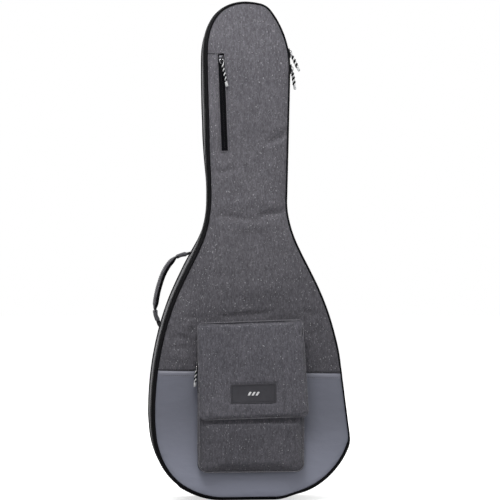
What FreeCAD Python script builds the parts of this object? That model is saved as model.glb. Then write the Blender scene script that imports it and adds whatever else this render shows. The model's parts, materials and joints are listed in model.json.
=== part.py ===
import FreeCAD, Part

# Padded gig bag for a dreadnought-size acoustic guitar.
# Row frame: +X to the right seen from the front, +Y from the front panel to the
# back panel, +Z up. Origin: middle of the rubber base bumper's resting face.
# Lengths in millimetres, angles in degrees.
#
# The bag is a rear shell (back panel and deep gusset), a padded front lid that
# opens like a book about the spine on its right side, a zip that runs round the
# rest of the edge, a flap pocket and a neck pocket on the lid, a side handle, a
# rear grab handle, two shoulder straps that clip to D-rings, and a neck cradle,
# neck strap and tail block inside.

import math
import os

from FreeCAD import Placement, Rotation, Vector

doc = FreeCAD.newDocument("gig_bag")
sheet = doc.addObject("Spreadsheet::Sheet", "Sheet")

# ---------------------------------------------------------------- dimensions
# Seam outline of the front panel: G1 chain of arcs and lines, clockwise from
# the top. Each station is x, z and the direction of travel in degrees.
STATIONS = [
    (-8.1, 1114.6, -2.1), (42.2, 1096.8, -52.5), (85.7, 963.5, -91.4),
    (78.5, 672.3, -91.4), (88.9, 605.6, -72.7), (118.6, 537.6, -62.6),
    (161.4, 448.7, -68.0), (184.3, 380.8, -74.8), (198.9, 313.9, -82.7),
    (220.9, 143.7, -82.7), (212.5, 110.4, -113.6), (177.4, 59.9, -134.6),
    (108.7, 18.0, -162.2), (55.0, 5.0, 180.0), (-62.0, 5.0, 180.0),
    (-150.1, 31.1, 148.4), (-199.2, 87.6, 115.1), (-218.6, 202.1, 89.1),
    (-208.5, 314.0, 80.5), (-180.0, 426.3, 70.8), (-129.8, 537.5, 63.1),
    (-102.0, 605.6, 74.7), (-92.6, 672.4, 88.8), (-96.5, 806.7, 91.0),
    (-100.7, 974.9, 91.1), (-92.3, 1057.7, 70.6), (-61.4, 1100.4, 34.2),
]
# Stations at the ends of the two straight stretches of the right side
NECK_TOP, NECK_LOW = 2, 3
SPINE_TOP, SPINE_LOW = 8, 9

# Alias and value. "_out" and "_in" are outward offsets from the seam outline;
# "_y_a" and "_y_b" are the two faces of a layer.
CELLS = [
    # how far the seam outline is lifted so that the bumper rests at z = 0
    ("base_lift", 4.0),
    # clearance under pieces sewn to the outside
    ("sewn_gap", 0.5),
    # back panel and gusset
    ("wall_out", 5.0), ("wall_in", 3.5),
    ("back_outer_y", 78.0), ("back_fabric_y", 76.5),
    ("gusset_back_y", 76.0), ("gusset_front_y", -46.0),
    ("pad_out", 3.0), ("pad_in", -9.0), ("pad_front_y", -41.0), ("pad_back_y", 61.5),
    ("back_foam_in_y", 62.0), ("back_foam_out_y", 76.0),
    ("lining_out", -9.5), ("lining_in", -10.5),
    ("back_lining_out", -11.0), ("back_lining_in_y", 60.0), ("back_lining_out_y", 61.5),
    ("piping_back_out", 8.5), ("piping_back_in", 5.5),
    ("piping_back_y_a", 78.5), ("piping_back_y_b", 74.5),
    # main zip
    ("tape_out", 3.0), ("tape_in", 2.0),
    ("tape_rear_y_a", -42.0), ("tape_rear_y_b", -57.0),
    ("tape_front_y_a", -63.0), ("tape_front_y_b", -75.0),
    ("coil_out", 4.2), ("coil_in", 0.8),
    ("coil_rear_y_a", -57.4), ("coil_rear_y_b", -59.7),
    ("coil_front_y_a", -60.3), ("coil_front_y_b", -62.6),
    ("zip_plane_y", -60.0),
    # lid
    ("lid_fabric_out", -2.5), ("lid_fabric_y_a", -76.5), ("lid_fabric_y_b", -78.0),
    ("lid_foam_out", -3.0), ("lid_foam_y_a", -62.5), ("lid_foam_y_b", -76.0),
    ("lid_lining_y_a", -60.8), ("lid_lining_y_b", -62.0),
    ("piping_front_out", 2.0), ("piping_front_in", -2.0),
    ("piping_front_y_a", -75.5), ("piping_front_y_b", -79.5),
    # seam between the heather panel and the coated lower panel
    ("seam_left_x", -210.0), ("seam_left_z", 295.5),
    ("seam_right_x", 200.0), ("seam_right_z", 286.5), ("seam_gap", 0.5),
    # guard patch on the inner face of the lid
    ("guard_left_x", -85.0), ("guard_right_x", 80.0), ("guard_low_z", 200.0),
    ("guard_top_z", 330.0), ("guard_r", 16.0), ("guard_y", -59.3), ("guard_thick", 1.0),
    # spine strip, where the lid hinges and the zip is missing
    ("spine_y_a", -46.5), ("spine_y_b", -59.4), ("spine_trim", 4.0),
    ("zip_cut_in", -6.0), ("zip_cut_out", 12.0), ("zip_cut_trim", 3.0),
    # base bumper
    ("bumper_out", 9.0), ("bumper_in", 5.5), ("bumper_y_a", 73.5),
    ("bumper_y_b", -44.0), ("bumper_top_z", 38.0),
    # neck cradle
    ("neck_mid_x", -7.0),
    ("cradle_wide", 108.0), ("cradle_y_a", 59.5), ("cradle_y_b", -22.0),
    ("cradle_low_z", 640.0), ("cradle_tall", 80.0), ("cradle_notch_r", 30.0),
    ("cradle_notch_y", -25.0), ("cradle_notch_over", 10.0), ("cradle_chamfer", 4.0),
    # neck strap; its front run is wider and its corners deeper on the outside
    ("strap_band_wide", 35.0), ("strap_band_thick", 2.5), ("strap_band_low_z", 662.0),
    ("strap_band_gap", 0.6), ("strap_band_end_y", 10.0), ("strap_band_front_y", -56.5),
    ("strap_band_outer_half", 38.0), ("strap_band_outer_y", -40.0),
    ("strap_band_inner_half", 37.0), ("strap_band_inner_y", -39.0),
    # tail block
    ("tail_mid_x", -3.5), ("tail_wide", 104.0), ("tail_y_a", -30.0), ("tail_deep", 80.0),
    ("tail_low_z", 24.2), ("tail_tall", 18.0), ("tail_round", 5.0),
    # flap pocket
    ("pocket_left_x", -121.0), ("pocket_right_x", 115.0),
    ("pocket_low_z", 72.0), ("pocket_top_z", 389.0),
    ("pocket_low_r", 18.0), ("pocket_top_r", 14.0), ("pocket_wall", 2.0),
    ("pocket_gusset_y_a", -79.0), ("pocket_gusset_y_b", -103.5),
    ("pocket_face_y_a", -104.0), ("pocket_face_y_b", -106.5),
    ("pocket_zip_y_a", -91.0), ("pocket_zip_y_b", -101.0), ("pocket_zip_low_z", 244.0),
    ("pocket_zip_mid_y", -96.0), ("pocket_tape_gap", 0.5),
    ("pocket_coil_wide", 3.0), ("pocket_coil_rise", 6.0),
    # flap
    ("flap_tl_x", -125.3), ("flap_tl_z", 401.6), ("flap_tr_x", 109.1), ("flap_tr_z", 409.4),
    ("flap_br_x", 122.1), ("flap_br_z", 195.9), ("flap_bl_x", -120.8), ("flap_bl_z", 189.7),
    ("flap_top_r", 9.0), ("flap_low_r", 15.0), ("flap_y_a", -109.5), ("flap_thick", 7.0),
    ("flap_root_y", -81.0), ("flap_root_thick", 5.0),
    ("flap_root_inset", 10.0), ("flap_root_overlap", 3.0),
    ("badge_wide", 101.7), ("badge_tall", 43.3), ("badge_thick", 1.2), ("badge_gap", 0.5),
    ("badge_mid_x", -0.5), ("badge_mid_z", 244.8), ("badge_tilt", 1.2),
    # hook-and-loop strips: one on the pocket face, one behind the flap
    ("loop_mid_x", -3.0), ("loop_wide", 80.0), ("loop_tall", 25.0), ("loop_low_z", 205.0),
    ("loop_thick", 0.9), ("loop_gap", 0.3), ("hook_strip_thick", 0.6), ("hook_strip_gap", 0.4),
    # neck pocket zip and liner
    ("neck_zip_top_x", -69.4), ("neck_zip_top_z", 1003.3),
    ("neck_zip_low_x", -60.8), ("neck_zip_low_z", 786.1),
    ("neck_zip_wide", 14.0), ("neck_zip_thick", 0.8), ("neck_zip_y", -78.5),
    ("neck_coil_wide", 3.2), ("neck_coil_thick", 1.0),
    ("liner_wide", 66.0), ("liner_tall", 226.0), ("liner_thick", 1.2), ("liner_r", 5.0),
    ("liner_left_x", -84.0), ("liner_low_z", 780.0), ("liner_inset_y", 1.7),
    ("recess_margin", 1.0), ("recess_deep", 2.5), ("recess_over", 5.0),
    # main zip sliders
    ("slider_long", 22.0), ("slider_half_y", 7.5), ("slider_front_y", 5.5),
    ("slider_plate", 1.7), ("slider_gap", 2.1), ("slider_lip", 0.9), ("slider_coil_half", 3.1),
    ("back_plate_gap", 0.2), ("back_plate_trim_y", 0.5), ("back_plate_trim", 1.0),
    # bridges over the sliders
    ("bridge_wide", 3.2), ("bridge_high", 4.4), ("bridge_long", 13.0), ("bridge_thick", 1.3),
    ("bridge_foot", 2.4), ("bridge_sink", 0.4), ("bridge_lean_out", 2.0), ("bridge_lean_in", 1.2),
    ("bail_rise", 1.5),
    # neck and pocket sliders
    ("small_half_y", 6.0), ("small_plate", 1.5), ("small_bridge_long", 12.0),
    ("small_bridge_high", 4.2), ("small_bridge_foot", 2.2), ("small_bail_rise", 1.35),
    ("neck_slider_long", 18.0), ("neck_slider_gap", 1.2), ("neck_slider_lip", 0.4),
    ("neck_slider_coil_half", 2.4), ("neck_slider_lift", 2.6), ("neck_slider_drop", 13.0),
    ("pocket_slider_long", 16.0), ("pocket_slider_gap", 1.1), ("pocket_slider_lip", 0.0),
    ("pocket_slider_coil_half", 2.3), ("pocket_slider_lift", 0.7), ("pocket_slider_z", 306.0),
    # cord pulls
    ("bail_r", 5.0), ("bail_wire_r", 0.72), ("cord_r", 2.8), ("cord_long", 26.0),
    ("neck_cord_long", 42.0), ("cord_gap", 0.2), ("tip_r", 3.7), ("tip_long", 11.0),
    ("tip_gap", 0.1),
    # circle the upper slider sits on, and the main sliders' places
    ("arc_x", -124.7), ("arc_z", 968.7), ("arc_r", 210.43),
    ("upper_slider_deg", 9.4), ("lower_slider_z", 972.0),
    # side handle and its webbing, also used for the other straps
    ("handle_mid_y", 15.0), ("handle_wide", 30.0), ("handle_thick", 13.0),
    ("handle_web_thick", 3.6), ("handle_slot_gap", 0.3), ("handle_slot_extra", 1.0),
    ("webbing_wide", 25.0), ("webbing_thick", 2.0), ("folded_half", 6.0), ("plan_margin", 1.0),
    ("stub_high", 9.0), ("stub_thick", 4.0), ("stub_beyond", 3.0),
    # rear grab handle and hanging loop
    ("grab_low_z", 742.0), ("grab_top_z", 872.0), ("grab_thick", 5.0),
    ("hang_r", 11.0), ("hang_thick", 2.5), ("hang_wide", 25.0),
    ("hang_y", 93.5), ("hang_z", 1075.0),
    ("hang_foot_thick", 2.6), ("hang_foot_tall", 44.0), ("hang_foot_drop", 30.0),
    # shoulder straps
    ("yoke_wide", 140.0), ("yoke_low_z", 592.0), ("yoke_tall", 78.0), ("yoke_taper", 14.0),
    ("yoke_r", 10.0), ("yoke_y", 78.5), ("yoke_thick", 2.0),
    ("strap_pin_y", 83.4), ("strap_pin_z", 634.0), ("strap_end_y", 104.0),
    ("lock_wide", 36.0), ("lock_tall", 26.0), ("lock_thick", 5.0), ("lock_end_gap", 3.0),
    ("web_end_wide", 27.0), ("web_end_deep", 9.4), ("web_end_tall", 13.0),
    ("web_end_start", 12.5), ("web_overlap", 12.0), ("web_gap", 0.2),
    ("bore_start", 10.4), ("bore_long", 14.0),
    ("tongue_long", 24.0), ("tongue_start", 11.4),
    # D-rings and their tabs
    ("ring_mid_x", 146.0), ("ring_bar_y", 84.0), ("ring_bar_z", 145.0),
    ("ring_bar_r", 2.0), ("ring_bar_long", 26.0), ("ring_hole_r", 2.08),
    ("ring_wide", 36.0), ("ring_tall", 22.0), ("ring_taper", 3.0), ("ring_tilt", 28.0),
    ("ring_trim_deep", 6.0), ("ring_trim_tall", 5.0), ("ring_trim_low", -3.0),
    ("tab_wide", 24.0), ("tab_tall", 34.0), ("tab_thick", 2.2), ("tab_loop_wall", 1.4),
    ("tab_link_thick", 3.0), ("tab_link_drop", 3.4), ("hole_over", 2.0),
    # snap hooks
    ("hook_eye_r", 6.0), ("hook_out_r", 10.0), ("hook_wide", 5.0), ("hook_open_half", 35.0),
    ("hook_aim_rise", 16.0), ("shank_r", 2.5), ("shank_hole_r", 2.56), ("shank_long", 15.0),
    ("shank_sink", 1.2), ("collar_r", 4.4), ("collar_long", 3.0),
]
for number, station in enumerate(STATIONS, start=1):
    for column, entry in zip(("x", "z", "dir"), station):
        CELLS.append((f"outline_{column}_{number:02d}_", entry))

for row_number, (alias, entry) in enumerate(CELLS, start=1):
    sheet.set(f"A{row_number}", alias)
    sheet.set(f"B{row_number}", repr(float(entry)))
    sheet.setAlias(f"B{row_number}", alias)
doc.recompute()


def value(alias):
    return float(sheet.get(alias))


def cell(alias):
    return f"Sheet.{alias}"


def centred(mid, wide):
    # Expression for the low edge of a width about a middle.
    return f"{cell(mid)} - {cell(wide)} / 2"


# ---------------------------------------------------------------- outline
# Outline points are flat vectors: x is row x, y is row z.
def unit(degrees):
    return Vector(math.cos(math.radians(degrees)), math.sin(math.radians(degrees)), 0)


def normalised(vector):
    return vector * (1 / vector.Length)


def left_of(direction):
    # Outward, for clockwise travel.
    return Vector(-direction.y, direction.x, 0)


def row(flat, y=0):
    # Flat outline vector as a vector in the row frame.
    return Vector(flat.x, y, flat.y)


def cross_size(first, second):
    return first.x * second.y - first.y * second.x


def read_stations():
    found = []
    for n in range(1, len(STATIONS) + 1):
        z = value(f"outline_z_{n:02d}_") + value("base_lift")
        point = Vector(value(f"outline_x_{n:02d}_"), z, 0)
        found.append((point, unit(value(f"outline_dir_{n:02d}_"))))
    return found


seam = read_stations()


def biarc(start, start_dir, end, end_dir):
    # The two tangent arcs from start to end, as (point, direction) pairs.
    span, dir_sum = end - start, start_dir + end_dir
    denominator = 2 * (1 - start_dir.dot(end_dir))
    along, span_squared = span.dot(dir_sum), span.dot(span)
    if abs(denominator) < 1e-9:
        reach = span_squared / (4 * span.dot(end_dir))
    else:
        reach = (-along + math.sqrt(along * along + denominator * span_squared)) / denominator
    joint = (start + end + (start_dir - end_dir) * reach) * 0.5
    # direction at the joint: the start direction mirrored in the first chord
    chord = normalised(joint - start)
    joint_dir = chord * (2 * start_dir.dot(chord)) - start_dir
    return [(start, start_dir, joint, joint_dir), (joint, joint_dir, end, end_dir)]


def arc_or_line(start, direction, end):
    chord = end - start
    sine = cross_size(direction, normalised(chord))
    if abs(sine) < 2e-4:
        return Part.LineSegment(start, end)
    half_angle = math.asin(max(-1.0, min(1.0, sine)))
    radius = chord.Length / (2 * math.sin(half_angle))
    centre = start + left_of(direction) * radius
    bulge = (start + end) * 0.5 - centre
    return Part.Arc(start, centre + bulge * (abs(radius) / bulge.Length), end)


def outline(offset):
    # Closed list of curves, clockwise, at this outward offset from the seam.
    pieces = []
    for i, (start, start_dir) in enumerate(seam):
        end, end_dir = seam[(i + 1) % len(seam)]
        chord = normalised(end - start)
        if all(abs(cross_size(d, chord)) < 2e-3 for d in (start_dir, end_dir)):
            pieces.append((start, start_dir, end, end_dir))
        else:
            pieces += biarc(start, start_dir, end, end_dir)
    return [arc_or_line(p + left_of(p_dir) * offset, p_dir, q + left_of(q_dir) * offset)
            for p, p_dir, q, q_dir in pieces]


def outlines(*aliases):
    # One outline for a sheet, outer and inner outlines for a ring.
    return [curve for alias in aliases for curve in outline(value(alias))]


# ---------------------------------------------------------------- flat profiles
def rounded(points, radii):
    # Closed polygon with rounded corners, as lines and arcs.
    points = [Vector(x, y, 0) for x, y in points]
    corners = []
    for i, corner in enumerate(points):
        to_last = normalised(points[i - 1] - corner)
        to_next = normalised(points[(i + 1) % len(points)] - corner)
        angle = math.acos(max(-1.0, min(1.0, to_last.dot(to_next))))
        cut_back = radii[i] / math.tan(angle / 2)
        bisector = normalised(to_last + to_next)
        centre = corner + bisector * (radii[i] / math.sin(angle / 2))
        corners.append((corner + to_last * cut_back, centre - bisector * radii[i],
                        corner + to_next * cut_back))
    curves = []
    for i, (start, middle, end) in enumerate(corners):
        curves.append(Part.Arc(start, middle, end))
        curves.append(Part.LineSegment(end, corners[(i + 1) % len(corners)][0]))
    return curves


def rounded_box(left, low, right, top, radii):
    return rounded([(left, low), (right, low), (right, top), (left, top)], radii)


def trapezoid(low_half, top_half, low, top, radii, mid=0.0):
    points = [(mid - low_half, low), (mid + low_half, low),
              (mid + top_half, top), (mid - top_half, top)]
    return rounded(points, radii)


def polygon(points):
    corners = [Vector(x, y, 0) for x, y in points]
    return [Part.LineSegment(a, b) for a, b in zip(corners, corners[1:] + corners[:1])]


def mirrored(half_points, mid):
    # Points given as (distance from mid, y), then their mirror images.
    return ([(mid + x, y) for x, y in half_points]
            + [(mid - x, y) for x, y in reversed(half_points)])


def beyond(left_z, right_z, far_z):
    # Everything from a line across the bag up or down to far_z.
    return polygon([(-400, left_z), (400, right_z), (400, far_z), (-400, far_z)])


FAR_BELOW, FAR_ABOVE = -200, 1400


def spline(points):
    curve = Part.BSplineCurve()
    curve.interpolate(points)
    return curve


def band(path, halves):
    # Curves of a strip about a centre line, with a half thickness per point.
    points = [Vector(x, y, 0) for x, y in path]
    outer, inner = [], []
    for i, (point, half) in enumerate(zip(points, halves)):
        before, after = points[max(i - 1, 0)], points[min(i + 1, len(points) - 1)]
        normal = left_of(normalised(after - before))
        outer.append(point + normal * half)
        inner.append(point - normal * half)
    return [spline(outer), Part.LineSegment(outer[-1], inner[-1]),
            spline(inner[::-1]), Part.LineSegment(inner[0], outer[0])]


# ---------------------------------------------------------------- solids
def body(label):
    made = doc.addObject("PartDesign::Body", "Body_" + label)
    made.Label = label
    return made


def add_sketch(owner, role, curves, shift=None):
    # shift: expression, along the plane's normal (-Y for XZ, +X for YZ, +Z for XY)
    made = owner.newObject("Sketcher::SketchObject", "Sketch_" + owner.Label)
    plane = next(f for f in owner.Origin.OriginFeatures if f.Role == role)
    made.AttachmentSupport = [(plane, "")]
    made.MapMode = "FlatFace"
    if shift is not None:
        made.setExpression("AttachmentOffset.Base.z", shift)
    made.addGeometry(curves, False)
    return made


def add_pad(owner, role, curves, length, shift=None, midplane=False):
    pad = owner.newObject("PartDesign::Pad", "Pad_" + owner.Label)
    pad.Profile = add_sketch(owner, role, curves, shift)
    if midplane:
        # the property's name depends on the FreeCAD version
        if "SideType" in pad.PropertiesList:
            pad.SideType = "Symmetric"
        else:
            pad.Midplane = True
    pad.setExpression("Length", length)
    owner.Tip = pad


def extruded(label, role, curves, length, shift=None, midplane=False):
    made = body(label)
    add_pad(made, role, curves, length, shift, midplane)
    return made


def layer(label, curves, back, front):
    # XZ profile that fills y from the back alias to the front alias.
    return extruded(label, "XZ_Plane", curves, f"{cell(back)} - {cell(front)}", "-" + cell(back))


def cut(owner, role, curves, shift="700", depth=1400.0):
    # Pocket against the plane's normal; by default through the whole body.
    doc.recompute()
    before = owner.Shape.Volume
    profile = add_sketch(owner, role, curves, shift)
    pocket = owner.newObject("PartDesign::Pocket", "Pocket_" + owner.Label)
    pocket.Profile = profile
    pocket.Length = depth
    owner.Tip = pocket
    doc.recompute()
    if not owner.Shape.Volume < before - 1:
        raise RuntimeError(f"the cut in {owner.Label} removed nothing")


def box(label, size, corner=None, turn=None):
    # size and corner: three expressions each
    made = doc.addObject("Part::Box", "Box_" + label)
    made.Label = label
    if turn is not None:
        made.Placement = Placement(Vector(), turn)
    for prop, expression in zip(("Length", "Width", "Height"), size):
        made.setExpression(prop, expression)
    if corner is not None:
        for axis, expression in zip("xyz", corner):
            made.setExpression(f"Placement.Base.{axis}", expression)
    return made


def cylinder(label, radius, height, placement):
    made = doc.addObject("Part::Cylinder", "Cyl_" + label)
    made.Label = label
    made.Placement = placement
    made.setExpression("Radius", radius)
    made.setExpression("Height", height)
    return made


def combine(kind, label, base, tool):
    made = doc.addObject("Part::" + kind, f"{kind}_{label}")
    made.Base, made.Tool = base, tool
    made.Label = label
    return made


def group(label, members):
    made = doc.addObject("Part::Compound", "Group_" + label)
    made.Links = members
    made.Label = label


ROW_X, ROW_Y, ROW_Z = Vector(1, 0, 0), Vector(0, 1, 0), Vector(0, 0, 1)
ALONG_X = Rotation(ROW_Y, 90)


def placed(x, y, z, turn=None):
    return Placement(Vector(x, y, z), turn or Rotation())


def frame_of(origin, x_axis, z_axis):
    # Placement whose local +X and +Z point along these row directions.
    z_dir = normalised(z_axis)
    y_dir = normalised(z_dir.cross(x_axis))
    return Placement(origin, Rotation(y_dir.cross(z_dir), y_dir, z_dir, "ZXY"))


# ---------------------------------------------------------------- rear shell
# Label, outlines, back y and front y
REAR_LAYERS = [
    ("back_panel_fabric", ["wall_out"], "back_outer_y", "back_fabric_y"),
    ("back_panel_foam", ["pad_out"], "back_foam_out_y", "back_foam_in_y"),
    ("back_panel_lining", ["back_lining_out"], "back_lining_out_y", "back_lining_in_y"),
    ("gusset_fabric", ["wall_out", "wall_in"], "gusset_back_y", "gusset_front_y"),
    ("gusset_foam", ["pad_out", "pad_in"], "pad_back_y", "pad_front_y"),
    ("gusset_lining", ["lining_out", "lining_in"], "pad_back_y", "pad_front_y"),
    ("back_piping", ["piping_back_out", "piping_back_in"], "piping_back_y_a", "piping_back_y_b"),
]
for label, offsets, back, front in REAR_LAYERS:
    layer(label, outlines(*offsets), back, front)


def spine_quad(inward, outward, trim):
    # Strip along the straight stretch of the right side, shortened at both ends.
    top, low = seam[SPINE_TOP][0], seam[SPINE_LOW][0]
    up = normalised(top - low)
    out = Vector(up.y, -up.x, 0)
    low, top = low + up * trim, top - up * trim
    corners = [low + out * inward, low + out * outward, top + out * outward, top + out * inward]
    return polygon([(p.x, p.y) for p in corners])


def zip_half(side):
    # Tape and coil of one side of the main zip, left out along the spine.
    for part in ("tape", "coil"):
        made = layer(f"{side}_zip_{part}", outlines(f"{part}_out", f"{part}_in"),
                     f"{part}_{side}_y_a", f"{part}_{side}_y_b")
        gap = spine_quad(value("zip_cut_in"), value("zip_cut_out"), value("zip_cut_trim"))
        cut(made, "XZ_Plane", gap)


zip_half("rear")

layer("spine_strip", spine_quad(value("wall_in"), value("wall_out"), value("spine_trim")),
      "spine_y_a", "spine_y_b")

base_bumper = layer("base_bumper", outlines("bumper_out", "bumper_in"), "bumper_y_a", "bumper_y_b")
bumper_top = value("bumper_top_z")
cut(base_bumper, "XZ_Plane", beyond(bumper_top, bumper_top, FAR_ABOVE))


# ---------------------------------------------------------------- inside pieces
def make_neck_cradle():
    # Foam block with a round notch for the neck, open to the front.
    block = box("cradle_block",
                (cell("cradle_wide"), f"{cell('cradle_y_a')} - {cell('cradle_y_b')}",
                 cell("cradle_tall")),
                (centred("neck_mid_x", "cradle_wide"), cell("cradle_y_b"), cell("cradle_low_z")))
    notch = cylinder("cradle_notch", cell("cradle_notch_r"),
                     f"{cell('cradle_tall')} + 2 * {cell('cradle_notch_over')}",
                     placed(value("neck_mid_x"), value("cradle_notch_y"),
                            value("cradle_low_z") - value("cradle_notch_over")))
    notched = combine("Cut", "cradle_cut", block, notch)
    doc.recompute()
    # the level edges of the front face
    size = value("cradle_chamfer")
    edges = []
    for i, edge in enumerate(notched.Shape.Edges, start=1):
        bound = edge.BoundBox
        on_front = bound.YLength < 0.1 and abs(bound.YMin - value("cradle_y_b")) < 0.1
        if on_front and bound.XLength > 3 and bound.ZLength < 0.1:
            edges.append((i, size, size))
    cradle = doc.addObject("Part::Chamfer", "Chamfer_neck_cradle")
    cradle.Base = notched
    cradle.Edges = edges
    cradle.Label = "neck_cradle"


def make_neck_strap():
    # Band over the neck with two legs down the cradle's sides.
    thick = value("strap_band_thick")
    leg_in = value("cradle_wide") / 2 + value("strap_band_gap")
    leg_out = leg_in + thick
    end_y, front_y = value("strap_band_end_y"), value("strap_band_front_y")
    half = [(value("strap_band_outer_half"), front_y), (leg_out, value("strap_band_outer_y")),
            (leg_out, end_y), (leg_in, end_y), (leg_in, value("strap_band_inner_y")),
            (value("strap_band_inner_half"), front_y + thick)]
    extruded("neck_strap", "XY_Plane", polygon(mirrored(half, value("neck_mid_x"))),
             cell("strap_band_wide"), cell("strap_band_low_z"))


def make_tail_block():
    # Block with every edge rounded except those of its underside.
    plain = box("tail_plain", (cell("tail_wide"), cell("tail_deep"), cell("tail_tall")),
                (centred("tail_mid_x", "tail_wide"), cell("tail_y_a"), cell("tail_low_z")))
    doc.recompute()
    radius, underside = value("tail_round"), value("tail_low_z")
    # only the top edges lie wholly clear of the underside
    top_edges = [(i, radius, radius) for i, edge in enumerate(plain.Shape.Edges, start=1)
                 if edge.BoundBox.ZMin > underside + 1]
    block = doc.addObject("Part::Fillet", "Fillet_tail_block")
    block.Base = plain
    block.Edges = top_edges
    block.Label = "tail_block"


make_neck_cradle()
make_neck_strap()
make_tail_block()


# ---------------------------------------------------------------- lid
def seam_at(x):
    # z of the slanted seam across the lid
    left_x, left_z = value("seam_left_x"), value("seam_left_z")
    rise = value("seam_right_z") - left_z
    return left_z + rise * (x - left_x) / (value("seam_right_x") - left_x)


front_panel = layer("front_panel_fabric", outlines("lid_fabric_out"),
                    "lid_fabric_y_a", "lid_fabric_y_b")
cut(front_panel, "XZ_Plane", beyond(seam_at(-400), seam_at(400), FAR_BELOW))
lower_panel = layer("front_lower_panel", outlines("lid_fabric_out"),
                    "lid_fabric_y_a", "lid_fabric_y_b")
seam_gap = value("seam_gap")
cut(lower_panel, "XZ_Plane",
    beyond(seam_at(-400) - seam_gap, seam_at(400) - seam_gap, FAR_ABOVE))


def liner_loop(margin, radius):
    left, low = value("liner_left_x"), value("liner_low_z")
    return rounded_box(left - margin, low - margin, left + value("liner_wide") + margin,
                       low + value("liner_tall") + margin, [radius] * 4)


# Foam with a shallow recess in its front face for the neck pocket's liner
front_foam = layer("front_foam", outlines("lid_foam_out"), "lid_foam_y_a", "lid_foam_y_b")
recess_margin = value("recess_margin")
cut(front_foam, "XZ_Plane", liner_loop(recess_margin, value("liner_r") + recess_margin),
    f"-({cell('lid_foam_y_b')}) + {cell('recess_over')}",
    value("recess_over") + value("recess_deep"))

layer("front_lining", outlines("lid_foam_out"), "lid_lining_y_a", "lid_lining_y_b")
layer("front_piping", outlines("piping_front_out", "piping_front_in"),
      "piping_front_y_a", "piping_front_y_b")
zip_half("front")

guard_loop = rounded_box(value("guard_left_x"), value("guard_low_z"), value("guard_right_x"),
                         value("guard_top_z"), [value("guard_r")] * 4)
extruded("bridge_guard_patch", "XZ_Plane", guard_loop, cell("guard_thick"), "-" + cell("guard_y"))

extruded("neck_pocket_liner", "XZ_Plane", liner_loop(0, value("liner_r")), cell("liner_thick"),
         f"-({cell('lid_foam_y_b')}) - {cell('liner_inset_y')}")

# Neck pocket zip: a slanted strip, followed from its top end down.
neck_zip_top = Vector(value("neck_zip_top_x"), value("neck_zip_top_z"), 0)
neck_zip_low = Vector(value("neck_zip_low_x"), value("neck_zip_low_z"), 0)
neck_zip_down = normalised(neck_zip_low - neck_zip_top)


def neck_slab(label, wide, thick, stand_off, trim):
    # stand_off: from the zip plane forward to the slab's rear face
    half = value(wide) / 2
    side = left_of(neck_zip_down) * half
    top, low = neck_zip_top + neck_zip_down * trim, neck_zip_low - neck_zip_down * trim
    corners = [(p.x, p.y) for p in (top - side, top + side, low + side, low - side)]
    extruded(label, "XZ_Plane", rounded(corners, [min(2.0, half * 0.9)] * 4), cell(thick),
             f"-{cell('neck_zip_y')} + {stand_off}")


neck_slab("neck_zip_tape", "neck_zip_wide", "neck_zip_thick", stand_off=0, trim=0)
neck_slab("neck_zip_coil", "neck_coil_wide", "neck_coil_thick", stand_off=1.3, trim=3)


# ---------------------------------------------------------------- flap pocket
def pocket_loop(inset):
    low_r = max(value("pocket_low_r") - inset, 1)
    top_r = max(value("pocket_top_r") - inset, 1)
    return rounded_box(value("pocket_left_x") + inset, value("pocket_low_z") + inset,
                       value("pocket_right_x") - inset, value("pocket_top_z") - inset,
                       [low_r, low_r, top_r, top_r])


# Gusset with a slot for the zip over the top and part of the sides
pocket_gusset = layer("pocket_gusset", pocket_loop(0) + pocket_loop(value("pocket_wall")),
                      "pocket_gusset_y_a", "pocket_gusset_y_b")
slot_back, slot_front = value("pocket_zip_y_a"), value("pocket_zip_y_b")
slot_low, above_pocket = value("pocket_zip_low_z"), 420
cut(pocket_gusset, "YZ_Plane", polygon([
    (slot_back, slot_low), (slot_back, above_pocket),
    (slot_front, above_pocket), (slot_front, slot_low)]))

layer("pocket_face", pocket_loop(0), "pocket_face_y_a", "pocket_face_y_b")

tape_gap = cell("pocket_tape_gap")
pocket_tape = extruded(
    "pocket_zip_tape", "XZ_Plane", pocket_loop(0.4) + pocket_loop(1.4),
    f"{cell('pocket_zip_y_a')} - {cell('pocket_zip_y_b')} - 2 * {tape_gap}",
    f"-{cell('pocket_zip_y_a')} + {tape_gap}")
tape_low = slot_low + value("pocket_tape_gap")
cut(pocket_tape, "XZ_Plane", beyond(tape_low, tape_low, FAR_BELOW))

# the coil stands proud of the pocket's wall
pocket_coil = extruded("pocket_zip_coil", "XZ_Plane", pocket_loop(-1.3) + pocket_loop(-0.1),
                       cell("pocket_coil_wide"),
                       f"-{cell('pocket_zip_mid_y')} - {cell('pocket_coil_wide')} / 2")
coil_low = slot_low + value("pocket_coil_rise")
cut(pocket_coil, "XZ_Plane", beyond(coil_low, coil_low, FAR_BELOW))

box("pocket_loop_strip", (cell("loop_wide"), cell("loop_thick"), cell("loop_tall")),
    (centred("loop_mid_x", "loop_wide"),
     f"{cell('pocket_face_y_b')} - {cell('loop_gap')} - {cell('loop_thick')}",
     cell("loop_low_z")))


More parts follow.
